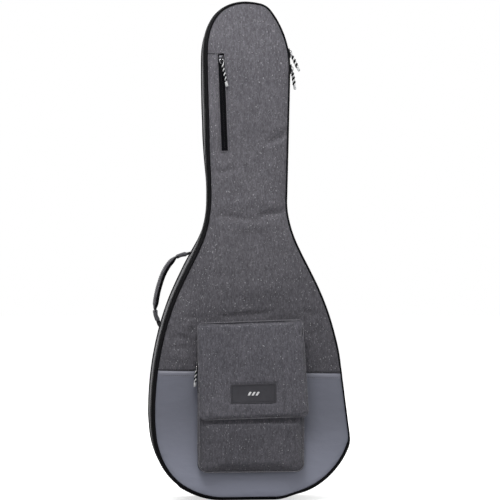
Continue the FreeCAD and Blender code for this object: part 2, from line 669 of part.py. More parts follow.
# ---------------------------------------------------------------- flap
def make_flap_panel():
    # Slightly skewed panel, and a root along its top edge that runs back to the lid.
    corners = [(value(f"flap_{name}_x"), value(f"flap_{name}_z"))
               for name in ("tl", "tr", "br", "bl")]
    top_r, low_r = value("flap_top_r"), value("flap_low_r")
    panel = extruded("flap_panel", "XZ_Plane", rounded(corners, [top_r, top_r, low_r, low_r]),
                     cell("flap_thick"), "-" + cell("flap_y_a"))
    top_left, top_right = (Vector(x, z, 0) for x, z in corners[:2])
    across = normalised(top_right - top_left)
    drop = Vector(across.y, -across.x, 0) * value("flap_root_thick")
    start = top_left + across * value("flap_root_inset")
    end = top_right - across * value("flap_root_inset")
    root = polygon([(p.x, p.y) for p in (start, end, end + drop, start + drop)])
    add_pad(panel, "XZ_Plane", root,
            f"{cell('flap_root_y')} - {cell('flap_y_a')} + {cell('flap_root_overlap')}",
            "-" + cell("flap_root_y"))


make_flap_panel()

flap_front = f"{cell('flap_y_a')} - {cell('flap_thick')}"
box("flap_badge", (cell("badge_wide"), cell("badge_thick"), cell("badge_tall")),
    (centred("badge_mid_x", "badge_wide"),
     f"{flap_front} - {cell('badge_gap')} - {cell('badge_thick')}",
     centred("badge_mid_z", "badge_tall")),
    Rotation(Vector(0, -1, 0), value("badge_tilt")))
box("flap_hook_strip", (cell("loop_wide"), cell("hook_strip_thick"), cell("loop_tall")),
    (centred("loop_mid_x", "loop_wide"), f"{cell('flap_y_a')} + {cell('hook_strip_gap')}",
     cell("loop_low_z")))


# ---------------------------------------------------------------- zip sliders
# Local frame: +Z along the track (the way the pull hangs), +X outward from the
# wall, Y across the chain. Profile points are (outward, across).
def add_bridge(shell, top, long, high, foot):
    # Arch that holds the bail: a leg at each end and a bar over them.
    half = value(long) / 2
    outer_top = half - value("bridge_lean_out")
    inner = half - value(foot)
    inner_top = inner - value("bridge_lean_in")
    base, roof = top - value("bridge_sink"), top + value(high)
    ceiling = roof - value("bridge_thick")
    arch = [(base, -half), (roof, -outer_top), (roof, outer_top), (base, half),
            (base, inner), (ceiling, inner_top), (ceiling, -inner_top), (base, -inner)]
    add_pad(shell, "XZ_Plane", polygon(arch), cell("bridge_wide"), midplane=True)


def main_slider(label, place):
    # The shell rides over the coils. Its lip is on the -Y side, over the rear
    # tape that stays; a flat plate runs behind the tapes.
    long = cell("slider_long")
    half_y, front_y = value("slider_half_y"), value("slider_front_y")
    gap, plate, lip = value("slider_gap"), value("slider_plate"), value("slider_lip")
    side, top = value("slider_coil_half"), gap + plate
    shell = extruded(label + "_shell", "XY_Plane", polygon([
        (top, front_y), (top, -half_y), (lip, -half_y), (lip, -side), (gap, -side),
        (gap, front_y)]), long, f"-{long} / 2")
    add_bridge(shell, top, "bridge_long", "bridge_high", "bridge_foot")
    plate_out = -gap - value("back_plate_gap")
    plate_in, edge = plate_out - plate, value("back_plate_trim_y") - half_y
    trim = cell("back_plate_trim")
    back = extruded(label + "_plate", "XY_Plane", polygon([
        (plate_in, edge), (plate_out, edge), (plate_out, front_y), (plate_in, front_y)]),
        f"{long} - 2 * {trim}", f"-{long} / 2 + {trim}")
    shell.Placement = place
    back.Placement = place
    group(label, [shell, back])


def small_slider(label, place):
    # Only a shell over the coil. Returns the height of its top face.
    long = cell(label + "_long")
    gap, lip, side = (value(f"{label}_{part}") for part in ("gap", "lip", "coil_half"))
    half, top = value("small_half_y"), gap + value("small_plate")
    shell = extruded(label, "XY_Plane", polygon([
        (top, -half), (top, half), (lip, half), (lip, side), (gap, side), (gap, -side),
        (lip, -side), (lip, -half)]), long, f"-{long} / 2")
    add_bridge(shell, top, "small_bridge_long", "small_bridge_high", "small_bridge_foot")
    shell.Placement = place
    return top


def pull(label, place, pivot_out, lean, cross=0.0, long="cord_long"):
    # Bail ring across the slider, hooked under the bridge, then the cord and
    # its tip along +Z, turned outward by lean and sideways by cross.
    ring_r, wire_r = value("bail_r"), value("bail_wire_r")
    turn = Rotation(ROW_Y, lean) * Rotation(ROW_X, cross)
    hang = turn.multVec(ROW_Z)
    centre = Vector(pivot_out, 0, 0) + hang * ring_r
    bail = doc.addObject("Part::Torus", "Bail_" + label)
    bail.Label = label + "_bail"
    bail.setExpression("Radius1", cell("bail_r"))
    bail.setExpression("Radius2", cell("bail_wire_r"))
    bail.Placement = place.multiply(Placement(centre, turn * ALONG_X))
    start = centre + hang * (ring_r + wire_r + value("cord_gap"))
    cord = cylinder(label + "_cord", cell("cord_r"), cell(long),
                    place.multiply(Placement(start, turn)))
    tip_start = start + hang * (value(long) + value("tip_gap"))
    tip = cylinder(label + "_tip", cell("tip_r"), cell("tip_long"),
                   place.multiply(Placement(tip_start, turn)))
    group(label, [bail, cord, tip])


coil_mid = (value("coil_out") + value("coil_in")) / 2
main_pivot = value("slider_gap") + value("slider_plate") + value("bail_rise")


def main_place(seam_point, outward, along):
    # Frame on the middle of the main coils, beside a point of the seam outline.
    origin = row(seam_point + outward * coil_mid, value("zip_plane_y"))
    return frame_of(origin, row(outward), row(along))


# Lower slider, on the straight right side of the neck
neck_start = seam[NECK_TOP][0]
neck_down = normalised(seam[NECK_LOW][0] - neck_start)
neck_run = (neck_start.y - value("lower_slider_z")) / -neck_down.y
lower_place = main_place(neck_start + neck_down * neck_run, left_of(neck_down), neck_down)
main_slider("main_slider_lower", lower_place)
pull("main_pull_lower", lower_place, main_pivot, lean=10.0)

# Upper slider, on the arc at the right of the head
head_centre = Vector(value("arc_x"), value("arc_z") + value("base_lift"), 0)
head_out = unit(value("upper_slider_deg"))
upper_place = main_place(head_centre + head_out * value("arc_r"), head_out,
                         Vector(head_out.y, -head_out.x, 0))
main_slider("main_slider_upper", upper_place)
pull("main_pull_upper", upper_place, main_pivot, lean=14.0, cross=-13.0)

# Neck pocket slider: outward is -Y
small_rise = value("small_bail_rise")
neck_place = frame_of(row(neck_zip_top + neck_zip_down * value("neck_slider_drop"),
                          value("neck_zip_y") - value("neck_slider_lift")),
                      Vector(0, -1, 0), row(neck_zip_down))
neck_pivot = small_slider("neck_slider", neck_place) + small_rise
pull("neck_pull", neck_place, neck_pivot, lean=4.0, cross=9.0, long="neck_cord_long")

# Pocket slider on the pocket's left wall: outward is -X
pocket_place = frame_of(Vector(value("pocket_left_x") - value("pocket_slider_lift"),
                               value("pocket_zip_mid_y"), value("pocket_slider_z")),
                        Vector(-1, 0, 0), Vector(0, 0, -1))
pocket_pivot = small_slider("pocket_slider", pocket_place) + small_rise
pull("pocket_pull", pocket_place, pocket_pivot, lean=6.0, cross=6.0)

# ---------------------------------------------------------------- side handle
# Row x, z of the webbing's centre line, from its top end down; it stands off
# the left gusset.
HANDLE_PATH = [
    (-137.5, 555.0), (-152.0, 553.5), (-171.0, 547.5), (-187.0, 531.0), (-197.5, 513.0),
    (-205.0, 489.0), (-210.0, 462.0), (-212.5, 436.0), (-210.5, 418.0), (-204.0, 404.0),
]
# the grip covers the middle of it
GRIP_PATH = [(-173.0, 546.0)] + HANDLE_PATH[3:8]
# z where the webbing's plan starts, begins and ends widening, and the reverse
HANDLE_PLAN_Z = [395, 411, 424, 546.5, 551.5, 570]


def folded_plan(mid, heights):
    # Plan of a webbing band whose two ends are folded narrow.
    narrow, wide = value("folded_half"), value("webbing_wide") / 2 + value("plan_margin")
    halves = [narrow, narrow, wide, wide, narrow, narrow]
    return polygon(mirrored(list(zip(halves, heights)), mid))


def handle_strip(label, path, half, wide):
    return extruded(label, "XZ_Plane", band(path, [half] * len(path)), wide,
                    "-" + cell("handle_mid_y"), midplane=True)


web_half = value("handle_web_thick") / 2
handle_band = handle_strip("handle_band", HANDLE_PATH, web_half, cell("webbing_wide"))
handle_plan = extruded("handle_plan", "YZ_Plane",
                       folded_plan(value("handle_mid_y"), HANDLE_PLAN_Z), "150", "-250")
combine("Common", "side_handle_webbing", handle_band, handle_plan)

grip_outer = handle_strip("grip_outer", GRIP_PATH, value("handle_thick") / 2, cell("handle_wide"))
grip_slot = handle_strip("grip_slot", HANDLE_PATH, web_half + value("handle_slot_gap"),
                         f"{cell('webbing_wide')} + {cell('handle_slot_extra')}")
combine("Cut", "side_handle_grip", grip_outer, grip_slot)


def stub(label, foot, outward, width_dir):
    # Short piece of webbing that stands on a wall at one end of a handle.
    made = box(label, (cell("webbing_wide"), cell("stub_thick"), cell("stub_high")))
    to_corner = placed(-value("webbing_wide") / 2, -value("stub_thick") / 2, 0)
    made.Placement = frame_of(foot, width_dir, outward).multiply(to_corner)
    return made


def side_stub(label, station, fraction):
    # Stub on the left gusset, this fraction of the way to the next station.
    first, second = biarc(*seam[station], *seam[station + 1])
    if fraction < 0.5:
        start, direction, end, _ = first
        along = fraction * 2
    else:
        start, direction, end, _ = second
        along = fraction * 2 - 1
    curve = arc_or_line(start, direction, end)
    low, high = curve.FirstParameter, curve.LastParameter
    parameter = low + (high - low) * along
    point, tangent = curve.value(parameter), curve.tangent(parameter)[0]
    if tangent.y < 0:
        tangent = tangent * -1
    normal = left_of(tangent)
    foot = point + normal * (value("wall_out") + value("sewn_gap"))
    return stub(label, row(foot, value("handle_mid_y")), row(normal), ROW_Y)


group("side_handle_tabs", [side_stub("side_tab_top", 20, 0.30),
                           side_stub("side_tab_low", 18, 0.52)])

# ---------------------------------------------------------------- rear grab handle
# Stand-off from the back panel and distance from the nearer end
GRAB_RISE = [(9, 3), (17, 9), (27, 30)]
GRAB_MID_RISE = 31

neck_mid, back_y = value("neck_mid_x"), value("back_outer_y")
grab_low, grab_top = value("grab_low_z"), value("grab_top_z")
grab_path = ([(back_y + rise, grab_low + run) for rise, run in GRAB_RISE]
             + [(back_y + GRAB_MID_RISE, (grab_low + grab_top) / 2)]
             + [(back_y + rise, grab_top - run) for rise, run in reversed(GRAB_RISE)])
grab_band = extruded("grab_band", "YZ_Plane",
                     band(grab_path, [value("grab_thick") / 2] * len(grab_path)),
                     cell("webbing_wide"), cell("neck_mid_x"), midplane=True)
grab_plan = extruded("grab_plan", "XZ_Plane", folded_plan(neck_mid, [
    grab_low - 5, grab_low + 9, grab_low + 24, grab_top - 24, grab_top - 9, grab_top + 5]),
    "60", "-130")
combine("Common", "rear_grab_handle", grab_band, grab_plan)

sewn_y, stub_beyond = back_y + value("sewn_gap"), value("stub_beyond")
group("rear_handle_tabs", [
    stub("rear_tab_low", Vector(neck_mid, sewn_y, grab_low - stub_beyond), ROW_Y, ROW_X),
    stub("rear_tab_top", Vector(neck_mid, sewn_y, grab_top + stub_beyond), ROW_Y, ROW_X)])

# ---------------------------------------------------------------- hanging loop
back_face = f"{cell('back_outer_y')} + {cell('sewn_gap')}"
hang_y, hang_z = value("hang_y"), value("hang_z")
hang_left = neck_mid - value("hang_wide") / 2
hang_out = cylinder("hang_out", f"{cell('hang_r')} + {cell('hang_thick')}", cell("hang_wide"),
                    placed(hang_left, hang_y, hang_z, ALONG_X))
hang_in = cylinder("hang_in", cell("hang_r"), f"{cell('hang_wide')} + 4",
                   placed(hang_left - 2, hang_y, hang_z, ALONG_X))
hang_foot = box("hang_foot", (cell("hang_wide"), cell("hang_foot_thick"), cell("hang_foot_tall")),
                (centred("neck_mid_x", "hang_wide"), back_face,
                 f"{cell('hang_z')} - {cell('hang_foot_drop')}"))
hang_solid = combine("Fuse", "hang_solid", hang_out, hang_foot)
combine("Cut", "hang_loop", hang_solid, hang_in)

# ---------------------------------------------------------------- shoulder straps
yoke_half, yoke_low = value("yoke_wide") / 2, value("yoke_low_z")
extruded("strap_yoke", "XZ_Plane",
         trapezoid(yoke_half, yoke_half - value("yoke_taper"), yoke_low,
                   yoke_low + value("yoke_tall"), [value("yoke_r")] * 4, neck_mid),
         cell("yoke_thick"), f"-{cell('yoke_y')} - {cell('yoke_thick')}")

# Padded straps seen along Y: z, x of the left strap, x of the right, half width
STRAP_FRONT = [
    (650.0, -40.0, 26.0, 27.0), (575.0, -45.0, 31.0, 32.0), (500.0, -62.0, 48.0, 34.0),
    (430.0, -84.0, 72.0, 34.0), (365.0, -104.0, 95.0, 32.0), (312.0, -116.0, 108.0, 24.0),
]
# The same seen along X: y, z, half thickness
STRAP_SIDE = [
    (value("strap_pin_y"), value("strap_pin_z"), 2.4), (91.5, 600.0, 4.4),
    (102.0, 540.0, 5.8), (109.0, 458.0, 6.0), (110.0, 380.0, 6.0),
    (value("strap_end_y"), 312.0, 5.0),
]


def make_cushion(side, path):
    front = extruded(f"strap_{side}_front", "XZ_Plane",
                     band(path, [entry[3] for entry in STRAP_FRONT]), "60", "-125")
    profile = extruded(f"strap_{side}_profile", "YZ_Plane",
                       band([(y, z) for y, z, _ in STRAP_SIDE], [half for _, _, half in STRAP_SIDE]),
                       "500", "-250")
    return combine("Common", f"strap_{side}_cushion", front, profile)


def make_ring(side, place):
    # D-ring with a round straight bar at the bottom, built about that bar.
    half, tall, bar = value("ring_wide") / 2, value("ring_tall"), value("ring_bar_r")
    taper, inner_half = value("ring_taper"), half - 2 * bar
    outer = trapezoid(half, half - taper, -bar, tall + bar, [3.5, 3.5, 9, 9])
    inner = trapezoid(inner_half, inner_half - taper, bar, tall - bar, [1.5, 1.5, 5, 5])
    blank = extruded(f"ring_blank_{side}", "XZ_Plane", outer + inner,
                     f"2 * {cell('ring_bar_r')}", midplane=True)
    long = cell("ring_bar_long")
    round_bar = cylinder(f"ring_bar_{side}", cell("ring_bar_r"), long,
                         placed(-value("ring_bar_long") / 2, 0, 0, ALONG_X))
    deep = cell("ring_trim_deep")
    trim = box(f"ring_trim_{side}", (long, deep, cell("ring_trim_tall")),
               (f"-{long} / 2", f"-{deep} / 2", cell("ring_trim_low")))
    open_ring = combine("Cut", f"ring_cut_{side}", blank, trim)
    ring = combine("Fuse", f"d_ring_{side}", open_ring, round_bar)
    ring.Placement = place


def make_hook(side, frame):
    # Eye round the ring's top bar, open towards the bag, with a shank and collar.
    outer_r, inner_r = value("hook_out_r"), value("hook_eye_r")
    first, last = 180 + value("hook_open_half"), 540 - value("hook_open_half")
    start, middle, end = unit(first), unit((first + last) / 2), unit(last)
    eye = [Part.Arc(start * outer_r, middle * outer_r, end * outer_r),
           Part.LineSegment(end * outer_r, end * inner_r),
           Part.Arc(end * inner_r, middle * inner_r, start * inner_r),
           Part.LineSegment(start * inner_r, start * outer_r)]
    blank = extruded(f"hook_blank_{side}", "YZ_Plane", eye, cell("hook_wide"), midplane=True)
    root = outer_r - value("shank_sink")
    shank = cylinder(f"shank_{side}", cell("shank_r"), cell("shank_long"), placed(0, 0, root))
    collar = cylinder(f"collar_{side}", cell("collar_r"), cell("collar_long"), placed(0, 0, root))
    with_shank = combine("Fuse", f"hook_part_{side}", blank, shank)
    hook = combine("Fuse", f"snap_hook_{side}", with_shank, collar)
    hook.Placement = frame


def make_webbing(side, frame, lock_at):
    # Strip with a thick folded end that the shank turns in.
    end_wide, end_deep, end_start = (cell("web_end_" + n) for n in ("wide", "deep", "start"))
    end_block = box(f"web_end_{side}", (end_wide, end_deep, cell("web_end_tall")),
                    (f"-{end_wide} / 2", f"-{end_deep} / 2", end_start))
    strip_start = value("web_end_start") + value("web_end_tall") - 0.5
    strip_long = lock_at + value("web_overlap") - strip_start
    wide, thick = cell("webbing_wide"), cell("webbing_thick")
    strip = box(f"web_strip_{side}", (wide, thick, f"{strip_long:.3f}"),
                (f"-{wide} / 2", f"-{cell('lock_thick')} / 2 - {cell('web_gap')} - {thick}",
                 str(strip_start)))
    joined = combine("Fuse", f"web_joined_{side}", end_block, strip)
    bore = cylinder(f"web_bore_{side}", cell("shank_hole_r"), cell("bore_long"),
                    placed(0, 0, value("bore_start")))
    web = combine("Cut", f"strap_{side}_webbing", joined, bore)
    web.Placement = frame


def make_lock(side, frame, lock_at):
    # Ladder lock between the padded strap and the webbing: a frame with two slots.
    half, tall = value("lock_wide") / 2, value("lock_tall")
    curves = (trapezoid(half, half - 2, 0, tall, [3] * 4)
              + trapezoid(half - 4, half - 4, 3.2, 9.6, [1.2] * 4)
              + trapezoid(half - 4, half - 5, 13.4, 21.6, [1.2] * 4))
    lock = extruded(f"ladder_lock_{side}", "XZ_Plane", curves, cell("lock_thick"), midplane=True)
    lock.Placement = frame.multiply(placed(0, 0, lock_at))


def add_tongue(side, cushion, frame, lock_at):
    # Webbing tongue from the padded strap's end through the lock.
    tongue = box(f"tongue_{side}",
                 (cell("webbing_wide"), cell("webbing_thick"), cell("tongue_long")))
    tongue.Placement = frame.multiply(placed(
        -value("webbing_wide") / 2, value("lock_thick") / 2 + value("web_gap"),
        lock_at + value("tongue_start")))
    combine("Fuse", f"strap_{side}_pad", cushion, tongue)


def make_tab(side, sign):
    # Tab sewn to the back, with a round loop for the ring's bar.
    wide = cell("tab_wide")
    left = f"{sign} * {cell('ring_mid_x')} - {wide} / 2"
    left_x = sign * value("ring_mid_x") - value("tab_wide") / 2
    bar_y, bar_z, over = value("ring_bar_y"), value("ring_bar_z"), value("hole_over")
    foot = box(f"tab_foot_{side}", (wide, cell("tab_thick"), cell("tab_tall")),
               (left, back_face, f"{cell('ring_bar_z')} - {cell('tab_tall')}"))
    loop = cylinder(f"tab_loop_{side}", f"{cell('ring_hole_r')} + {cell('tab_loop_wall')}", wide,
                    placed(left_x, bar_y, bar_z, ALONG_X))
    link = box(f"tab_link_{side}",
               (wide, f"{cell('ring_bar_y')} - ({back_face})", cell("tab_link_thick")),
               (left, back_face, f"{cell('ring_bar_z')} - {cell('tab_link_drop')}"))
    hole = cylinder(f"tab_hole_{side}", cell("ring_hole_r"), f"{wide} + 2 * {cell('hole_over')}",
                    placed(left_x - over, bar_y, bar_z, ALONG_X))
    with_link = combine("Fuse", f"tab_a_{side}", foot, link)
    with_loop = combine("Fuse", f"tab_b_{side}", with_link, loop)
    return combine("Cut", f"tab_{side}", with_loop, hole)


def make_strap(side, column, sign):
    path = [(entry[column], entry[0]) for entry in STRAP_FRONT]
    cushion = make_cushion(side, path)
    # the ring's top leans away from the back panel
    tilt = value("ring_tilt")
    bar = Vector(sign * value("ring_mid_x"), value("ring_bar_y"), value("ring_bar_z"))
    make_ring(side, Placement(bar, Rotation(ROW_X, -tilt)))
    lean = Vector(0, math.sin(math.radians(tilt)), math.cos(math.radians(tilt)))
    eye = bar + lean * value("ring_tall")
    # the hook, webbing and lock share a frame at the ring's top bar whose +Z
    # runs up towards the padded strap's lower end
    strap_end = Vector(path[-1][0], value("strap_end_y"), path[-1][1])
    run = normalised(strap_end - (eye + Vector(0, 0, value("hook_aim_rise"))))
    frame = frame_of(eye, ROW_X, run)
    lock_at = (strap_end - eye).dot(run) - value("lock_end_gap") - value("lock_tall")
    make_hook(side, frame)
    make_webbing(side, frame, lock_at)
    make_lock(side, frame, lock_at)
    add_tongue(side, cushion, frame, lock_at)


make_strap("left", 1, -1)
make_strap("right", 2, 1)
group("strap_base_tabs", [make_tab("left", -1), make_tab("right", 1)])

doc.recompute()

# ---------------------------------------------------------------- export
NODES = [
    "back_panel_fabric", "back_panel_foam", "back_panel_lining", "gusset_fabric",
    "gusset_foam", "gusset_lining", "back_piping", "rear_zip_tape", "rear_zip_coil",
    "spine_strip", "base_bumper", "neck_cradle", "neck_strap", "tail_block", "strap_yoke",
    "strap_base_tabs", "side_handle_tabs", "rear_handle_tabs", "hang_loop",
    "front_panel_fabric", "front_lower_panel", "front_foam", "front_lining", "front_piping",
    "front_zip_tape", "front_zip_coil", "bridge_guard_patch", "neck_pocket_liner",
    "neck_zip_tape", "neck_zip_coil", "pocket_gusset", "pocket_face", "pocket_zip_tape",
    "pocket_zip_coil", "pocket_loop_strip", "flap_panel", "flap_badge", "flap_hook_strip",
    "main_slider_lower", "main_pull_lower", "main_slider_upper", "main_pull_upper",
    "neck_slider", "neck_pull", "pocket_slider", "pocket_pull",
    "side_handle_grip", "side_handle_webbing", "rear_grab_handle",
]
for side in ("left", "right"):
    NODES += [f"strap_{side}_pad", f"strap_{side}_webbing", f"ladder_lock_{side}",
              f"snap_hook_{side}", f"d_ring_{side}"]

for item in doc.Objects:
    if any(word in item.State for word in ("Invalid", "Error")):
        raise RuntimeError(f"{item.Label} did not compute: {item.State}")
by_label = {item.Label: item for item in doc.Objects}
for name in NODES:
    shape = by_label[name].Shape
    if shape.isNull() or not shape.isValid() or not shape.Solids:
        raise RuntimeError(f"{name} has no valid solid")

os.makedirs("parts", exist_ok=True)
for name in NODES:
    solids = by_label[name].Shape.Solids
    piece = solids[0] if len(solids) == 1 else Part.makeCompound(solids)
    piece.exportStep(f"parts/{name}.step")
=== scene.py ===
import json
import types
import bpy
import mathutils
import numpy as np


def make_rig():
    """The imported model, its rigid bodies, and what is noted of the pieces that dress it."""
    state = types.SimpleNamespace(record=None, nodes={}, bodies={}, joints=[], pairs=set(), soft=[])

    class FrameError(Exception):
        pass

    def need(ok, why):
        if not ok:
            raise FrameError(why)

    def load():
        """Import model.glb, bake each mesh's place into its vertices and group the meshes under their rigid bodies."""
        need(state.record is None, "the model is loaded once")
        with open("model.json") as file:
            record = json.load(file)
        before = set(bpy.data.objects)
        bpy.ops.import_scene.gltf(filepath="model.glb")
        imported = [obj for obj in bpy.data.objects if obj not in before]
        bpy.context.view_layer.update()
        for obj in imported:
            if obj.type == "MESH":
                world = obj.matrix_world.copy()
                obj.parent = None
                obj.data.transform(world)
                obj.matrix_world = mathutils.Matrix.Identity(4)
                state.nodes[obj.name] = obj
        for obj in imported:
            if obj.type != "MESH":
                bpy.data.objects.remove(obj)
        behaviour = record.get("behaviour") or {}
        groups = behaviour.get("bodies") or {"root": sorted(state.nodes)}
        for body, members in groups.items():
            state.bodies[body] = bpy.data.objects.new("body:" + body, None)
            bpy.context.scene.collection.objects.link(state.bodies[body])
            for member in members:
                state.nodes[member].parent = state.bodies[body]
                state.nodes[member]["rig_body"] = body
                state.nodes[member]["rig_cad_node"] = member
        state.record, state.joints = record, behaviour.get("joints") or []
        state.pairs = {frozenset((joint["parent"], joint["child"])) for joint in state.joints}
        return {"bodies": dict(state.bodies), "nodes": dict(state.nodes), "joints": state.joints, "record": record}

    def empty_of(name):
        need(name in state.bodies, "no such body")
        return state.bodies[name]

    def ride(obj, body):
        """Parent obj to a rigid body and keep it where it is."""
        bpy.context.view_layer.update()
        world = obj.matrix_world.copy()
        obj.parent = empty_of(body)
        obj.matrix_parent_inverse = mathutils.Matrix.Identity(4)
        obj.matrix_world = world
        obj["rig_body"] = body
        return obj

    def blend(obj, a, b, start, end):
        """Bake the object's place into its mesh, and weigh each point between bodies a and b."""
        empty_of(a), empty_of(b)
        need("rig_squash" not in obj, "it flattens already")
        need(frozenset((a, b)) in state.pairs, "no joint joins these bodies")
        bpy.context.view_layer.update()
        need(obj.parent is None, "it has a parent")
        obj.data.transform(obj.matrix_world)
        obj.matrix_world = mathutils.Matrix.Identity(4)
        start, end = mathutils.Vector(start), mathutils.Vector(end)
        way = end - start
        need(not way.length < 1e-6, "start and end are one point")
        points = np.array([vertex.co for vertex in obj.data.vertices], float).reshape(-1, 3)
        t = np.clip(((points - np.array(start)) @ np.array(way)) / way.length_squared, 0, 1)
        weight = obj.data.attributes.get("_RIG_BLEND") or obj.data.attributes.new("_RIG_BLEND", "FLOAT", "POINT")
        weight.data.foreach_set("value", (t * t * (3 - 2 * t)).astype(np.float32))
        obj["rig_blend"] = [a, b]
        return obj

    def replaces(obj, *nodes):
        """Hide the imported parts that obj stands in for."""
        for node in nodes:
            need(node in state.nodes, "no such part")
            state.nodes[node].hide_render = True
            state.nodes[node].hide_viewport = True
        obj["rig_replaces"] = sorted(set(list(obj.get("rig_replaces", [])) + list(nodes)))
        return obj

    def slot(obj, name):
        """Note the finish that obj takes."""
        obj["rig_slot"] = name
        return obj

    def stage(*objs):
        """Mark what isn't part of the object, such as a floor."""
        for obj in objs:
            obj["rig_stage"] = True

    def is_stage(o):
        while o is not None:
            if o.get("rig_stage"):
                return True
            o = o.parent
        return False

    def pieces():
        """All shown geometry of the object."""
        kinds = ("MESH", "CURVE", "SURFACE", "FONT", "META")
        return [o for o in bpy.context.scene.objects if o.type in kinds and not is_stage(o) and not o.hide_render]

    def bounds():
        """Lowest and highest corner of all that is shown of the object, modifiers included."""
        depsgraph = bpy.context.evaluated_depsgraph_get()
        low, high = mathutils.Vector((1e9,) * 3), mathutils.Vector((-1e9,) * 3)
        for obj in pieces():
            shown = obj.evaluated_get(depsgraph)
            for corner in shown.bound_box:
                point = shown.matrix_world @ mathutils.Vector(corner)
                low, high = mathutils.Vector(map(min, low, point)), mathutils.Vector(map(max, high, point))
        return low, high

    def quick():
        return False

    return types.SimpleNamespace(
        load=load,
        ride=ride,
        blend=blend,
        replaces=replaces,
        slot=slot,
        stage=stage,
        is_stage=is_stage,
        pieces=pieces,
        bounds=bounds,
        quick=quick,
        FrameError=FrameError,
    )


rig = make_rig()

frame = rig.load()

import json
import math
import random

import bmesh
import bpy
import numpy as np
from mathutils import Matrix, Vector, kdtree, noise

CAD_BOX = [list(v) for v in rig.bounds()]
MM = 0.001
random.seed(7)
rng = np.random.default_rng(7)
COL = bpy.context.scene.collection


# ================================================================ outline
STATIONS = [
    (-8.1, 1114.6, -2.1), (42.2, 1096.8, -52.5), (85.7, 963.5, -91.4),
    (78.5, 672.3, -91.4), (88.9, 605.6, -72.7), (118.6, 537.6, -62.6),
    (161.4, 448.7, -68.0), (184.3, 380.8, -74.8), (198.9, 313.9, -82.7),
    (220.9, 143.7, -82.7), (212.5, 110.4, -113.6), (177.4, 59.9, -134.6),
    (108.7, 18.0, -162.2), (55.0, 5.0, 180.0), (-62.0, 5.0, 180.0),
    (-150.1, 31.1, 148.4), (-199.2, 87.6, 115.1), (-218.6, 202.1, 89.1),
    (-208.5, 314.0, 80.5), (-180.0, 426.3, 70.8), (-129.8, 537.5, 63.1),
    (-102.0, 605.6, 74.7), (-92.6, 672.4, 88.8), (-96.5, 806.7, 91.0),
    (-100.7, 974.9, 91.1), (-92.3, 1057.7, 70.6), (-61.4, 1100.4, 34.2),
]
LIFT = 4.0


def unit(deg):
    return np.array([math.cos(math.radians(deg)), math.sin(math.radians(deg))])


def fine_outline(step=0.5):
    st = [(np.array([x, z + LIFT]), unit(a)) for x, z, a in STATIONS]
    pts, tans = [], []
    for i, (p0, t0) in enumerate(st):
        p1, t1 = st[(i + 1) % len(st)]
        v = p1 - p0
        c = v / np.linalg.norm(v)
        if abs(t0[0] * c[1] - t0[1] * c[0]) < 2e-3 and abs(t1[0] * c[1] - t1[1] * c[0]) < 2e-3:
            raw = [(p0, t0, p1)]
        else:
            t = t0 + t1
            dd = 2 * (1 - t0 @ t1)
            if abs(dd) < 1e-9:
                d = (v @ v) / (4 * (v @ t1))
            else:
                d = (-(v @ t) + math.sqrt((v @ t) ** 2 + dd * (v @ v))) / dd
            pm = (p0 + p1 + (t0 - t1) * d) / 2
            ch = (pm - p0) / np.linalg.norm(pm - p0)
            tm = 2 * (t0 @ ch) * ch - t0
            raw = [(p0, t0, pm), (pm, tm, p1)]
        for a, ta, b in raw:
            w = b - a
            cl = np.linalg.norm(w)
            ch = w / cl
            cross = ta[0] * ch[1] - ta[1] * ch[0]
            half = math.asin(max(-1, min(1, cross)))
            length = cl if abs(half) < 1e-6 else cl * half / math.sin(half)
            n = max(2, int(abs(length) / step))
            for k in range(n):
                f = k / n
                ang = 2 * half * f
                if abs(half) < 1e-6:
                    p = a + w * f
                    tt = ta
                else:
                    r = cl / (2 * math.sin(half))
                    nrm = np.array([-ta[1], ta[0]])
                    p = a + ta * (r * math.sin(ang)) + nrm * (r * (1 - math.cos(ang)))
                    tt = np.array([ta[0] * math.cos(ang) - ta[1] * math.sin(ang), ta[0] * math.sin(ang) + ta[1] * math.cos(ang)])
                pts.append(p)
                tans.append(tt)
    return np.array(pts), np.array(tans)


FP, FT = fine_outline()
FN = np.stack([-FT[:, 1], FT[:, 0]], 1)  # outward (the chain runs clockwise)
_seg = np.linalg.norm(np.roll(FP, -1, 0) - FP, axis=1)
FS = np.concatenate([[0], np.cumsum(_seg)[:-1]])
PERIM = float(_seg.sum())


def at_s(s):
    """Points and outward normals of the seam outline at these arc lengths."""
    s = np.asarray(s, float) % PERIM
    xs = np.append(FS, PERIM)
    px = np.interp(s, xs, np.append(FP[:, 0], FP[0, 0]))
    pz = np.interp(s, xs, np.append(FP[:, 1], FP[0, 1]))
    nx = np.interp(s, xs, np.append(FN[:, 0], FN[0, 0]))
    nz = np.interp(s, xs, np.append(FN[:, 1], FN[0, 1]))
    n = np.stack([nx, nz], 1)
    n /= np.linalg.norm(n, axis=1)[:, None]
    return np.stack([px, pz], 1), n


def s_near(x, z):
    return float(FS[np.argmin((FP[:, 0] - x) ** 2 + (FP[:, 1] - z) ** 2)])


S_SPINE0 = s_near(198.9, 317.9)   # top of the spine, going clockwise
S_SPINE1 = s_near(220.9, 147.7)   # foot of the spine
S_ZIP0 = S_SPINE1 - 3.0           # the zip runs clockwise from the foot of the spine
S_ZIP1 = S_SPINE0 + 3.0 + PERIM   # round to its top


def bump01(x):
    x = np.clip(x, 0, 1)
    return x * x * (3 - 2 * x)


def bulge(s):
    """How far the zip band stands out from its nominal offset, in mm."""
    p, _ = at_s(s)
    x, z = p[:, 0], p[:, 1]
    right_low = bump01((x - 70) / 70) * bump01((150 - z) / 30)
    left_side = bump01((-60 - x) / 60)
    return 4.2 * right_low + 1.6 * left_side


# ================================================================ mesh helpers
MADE = []


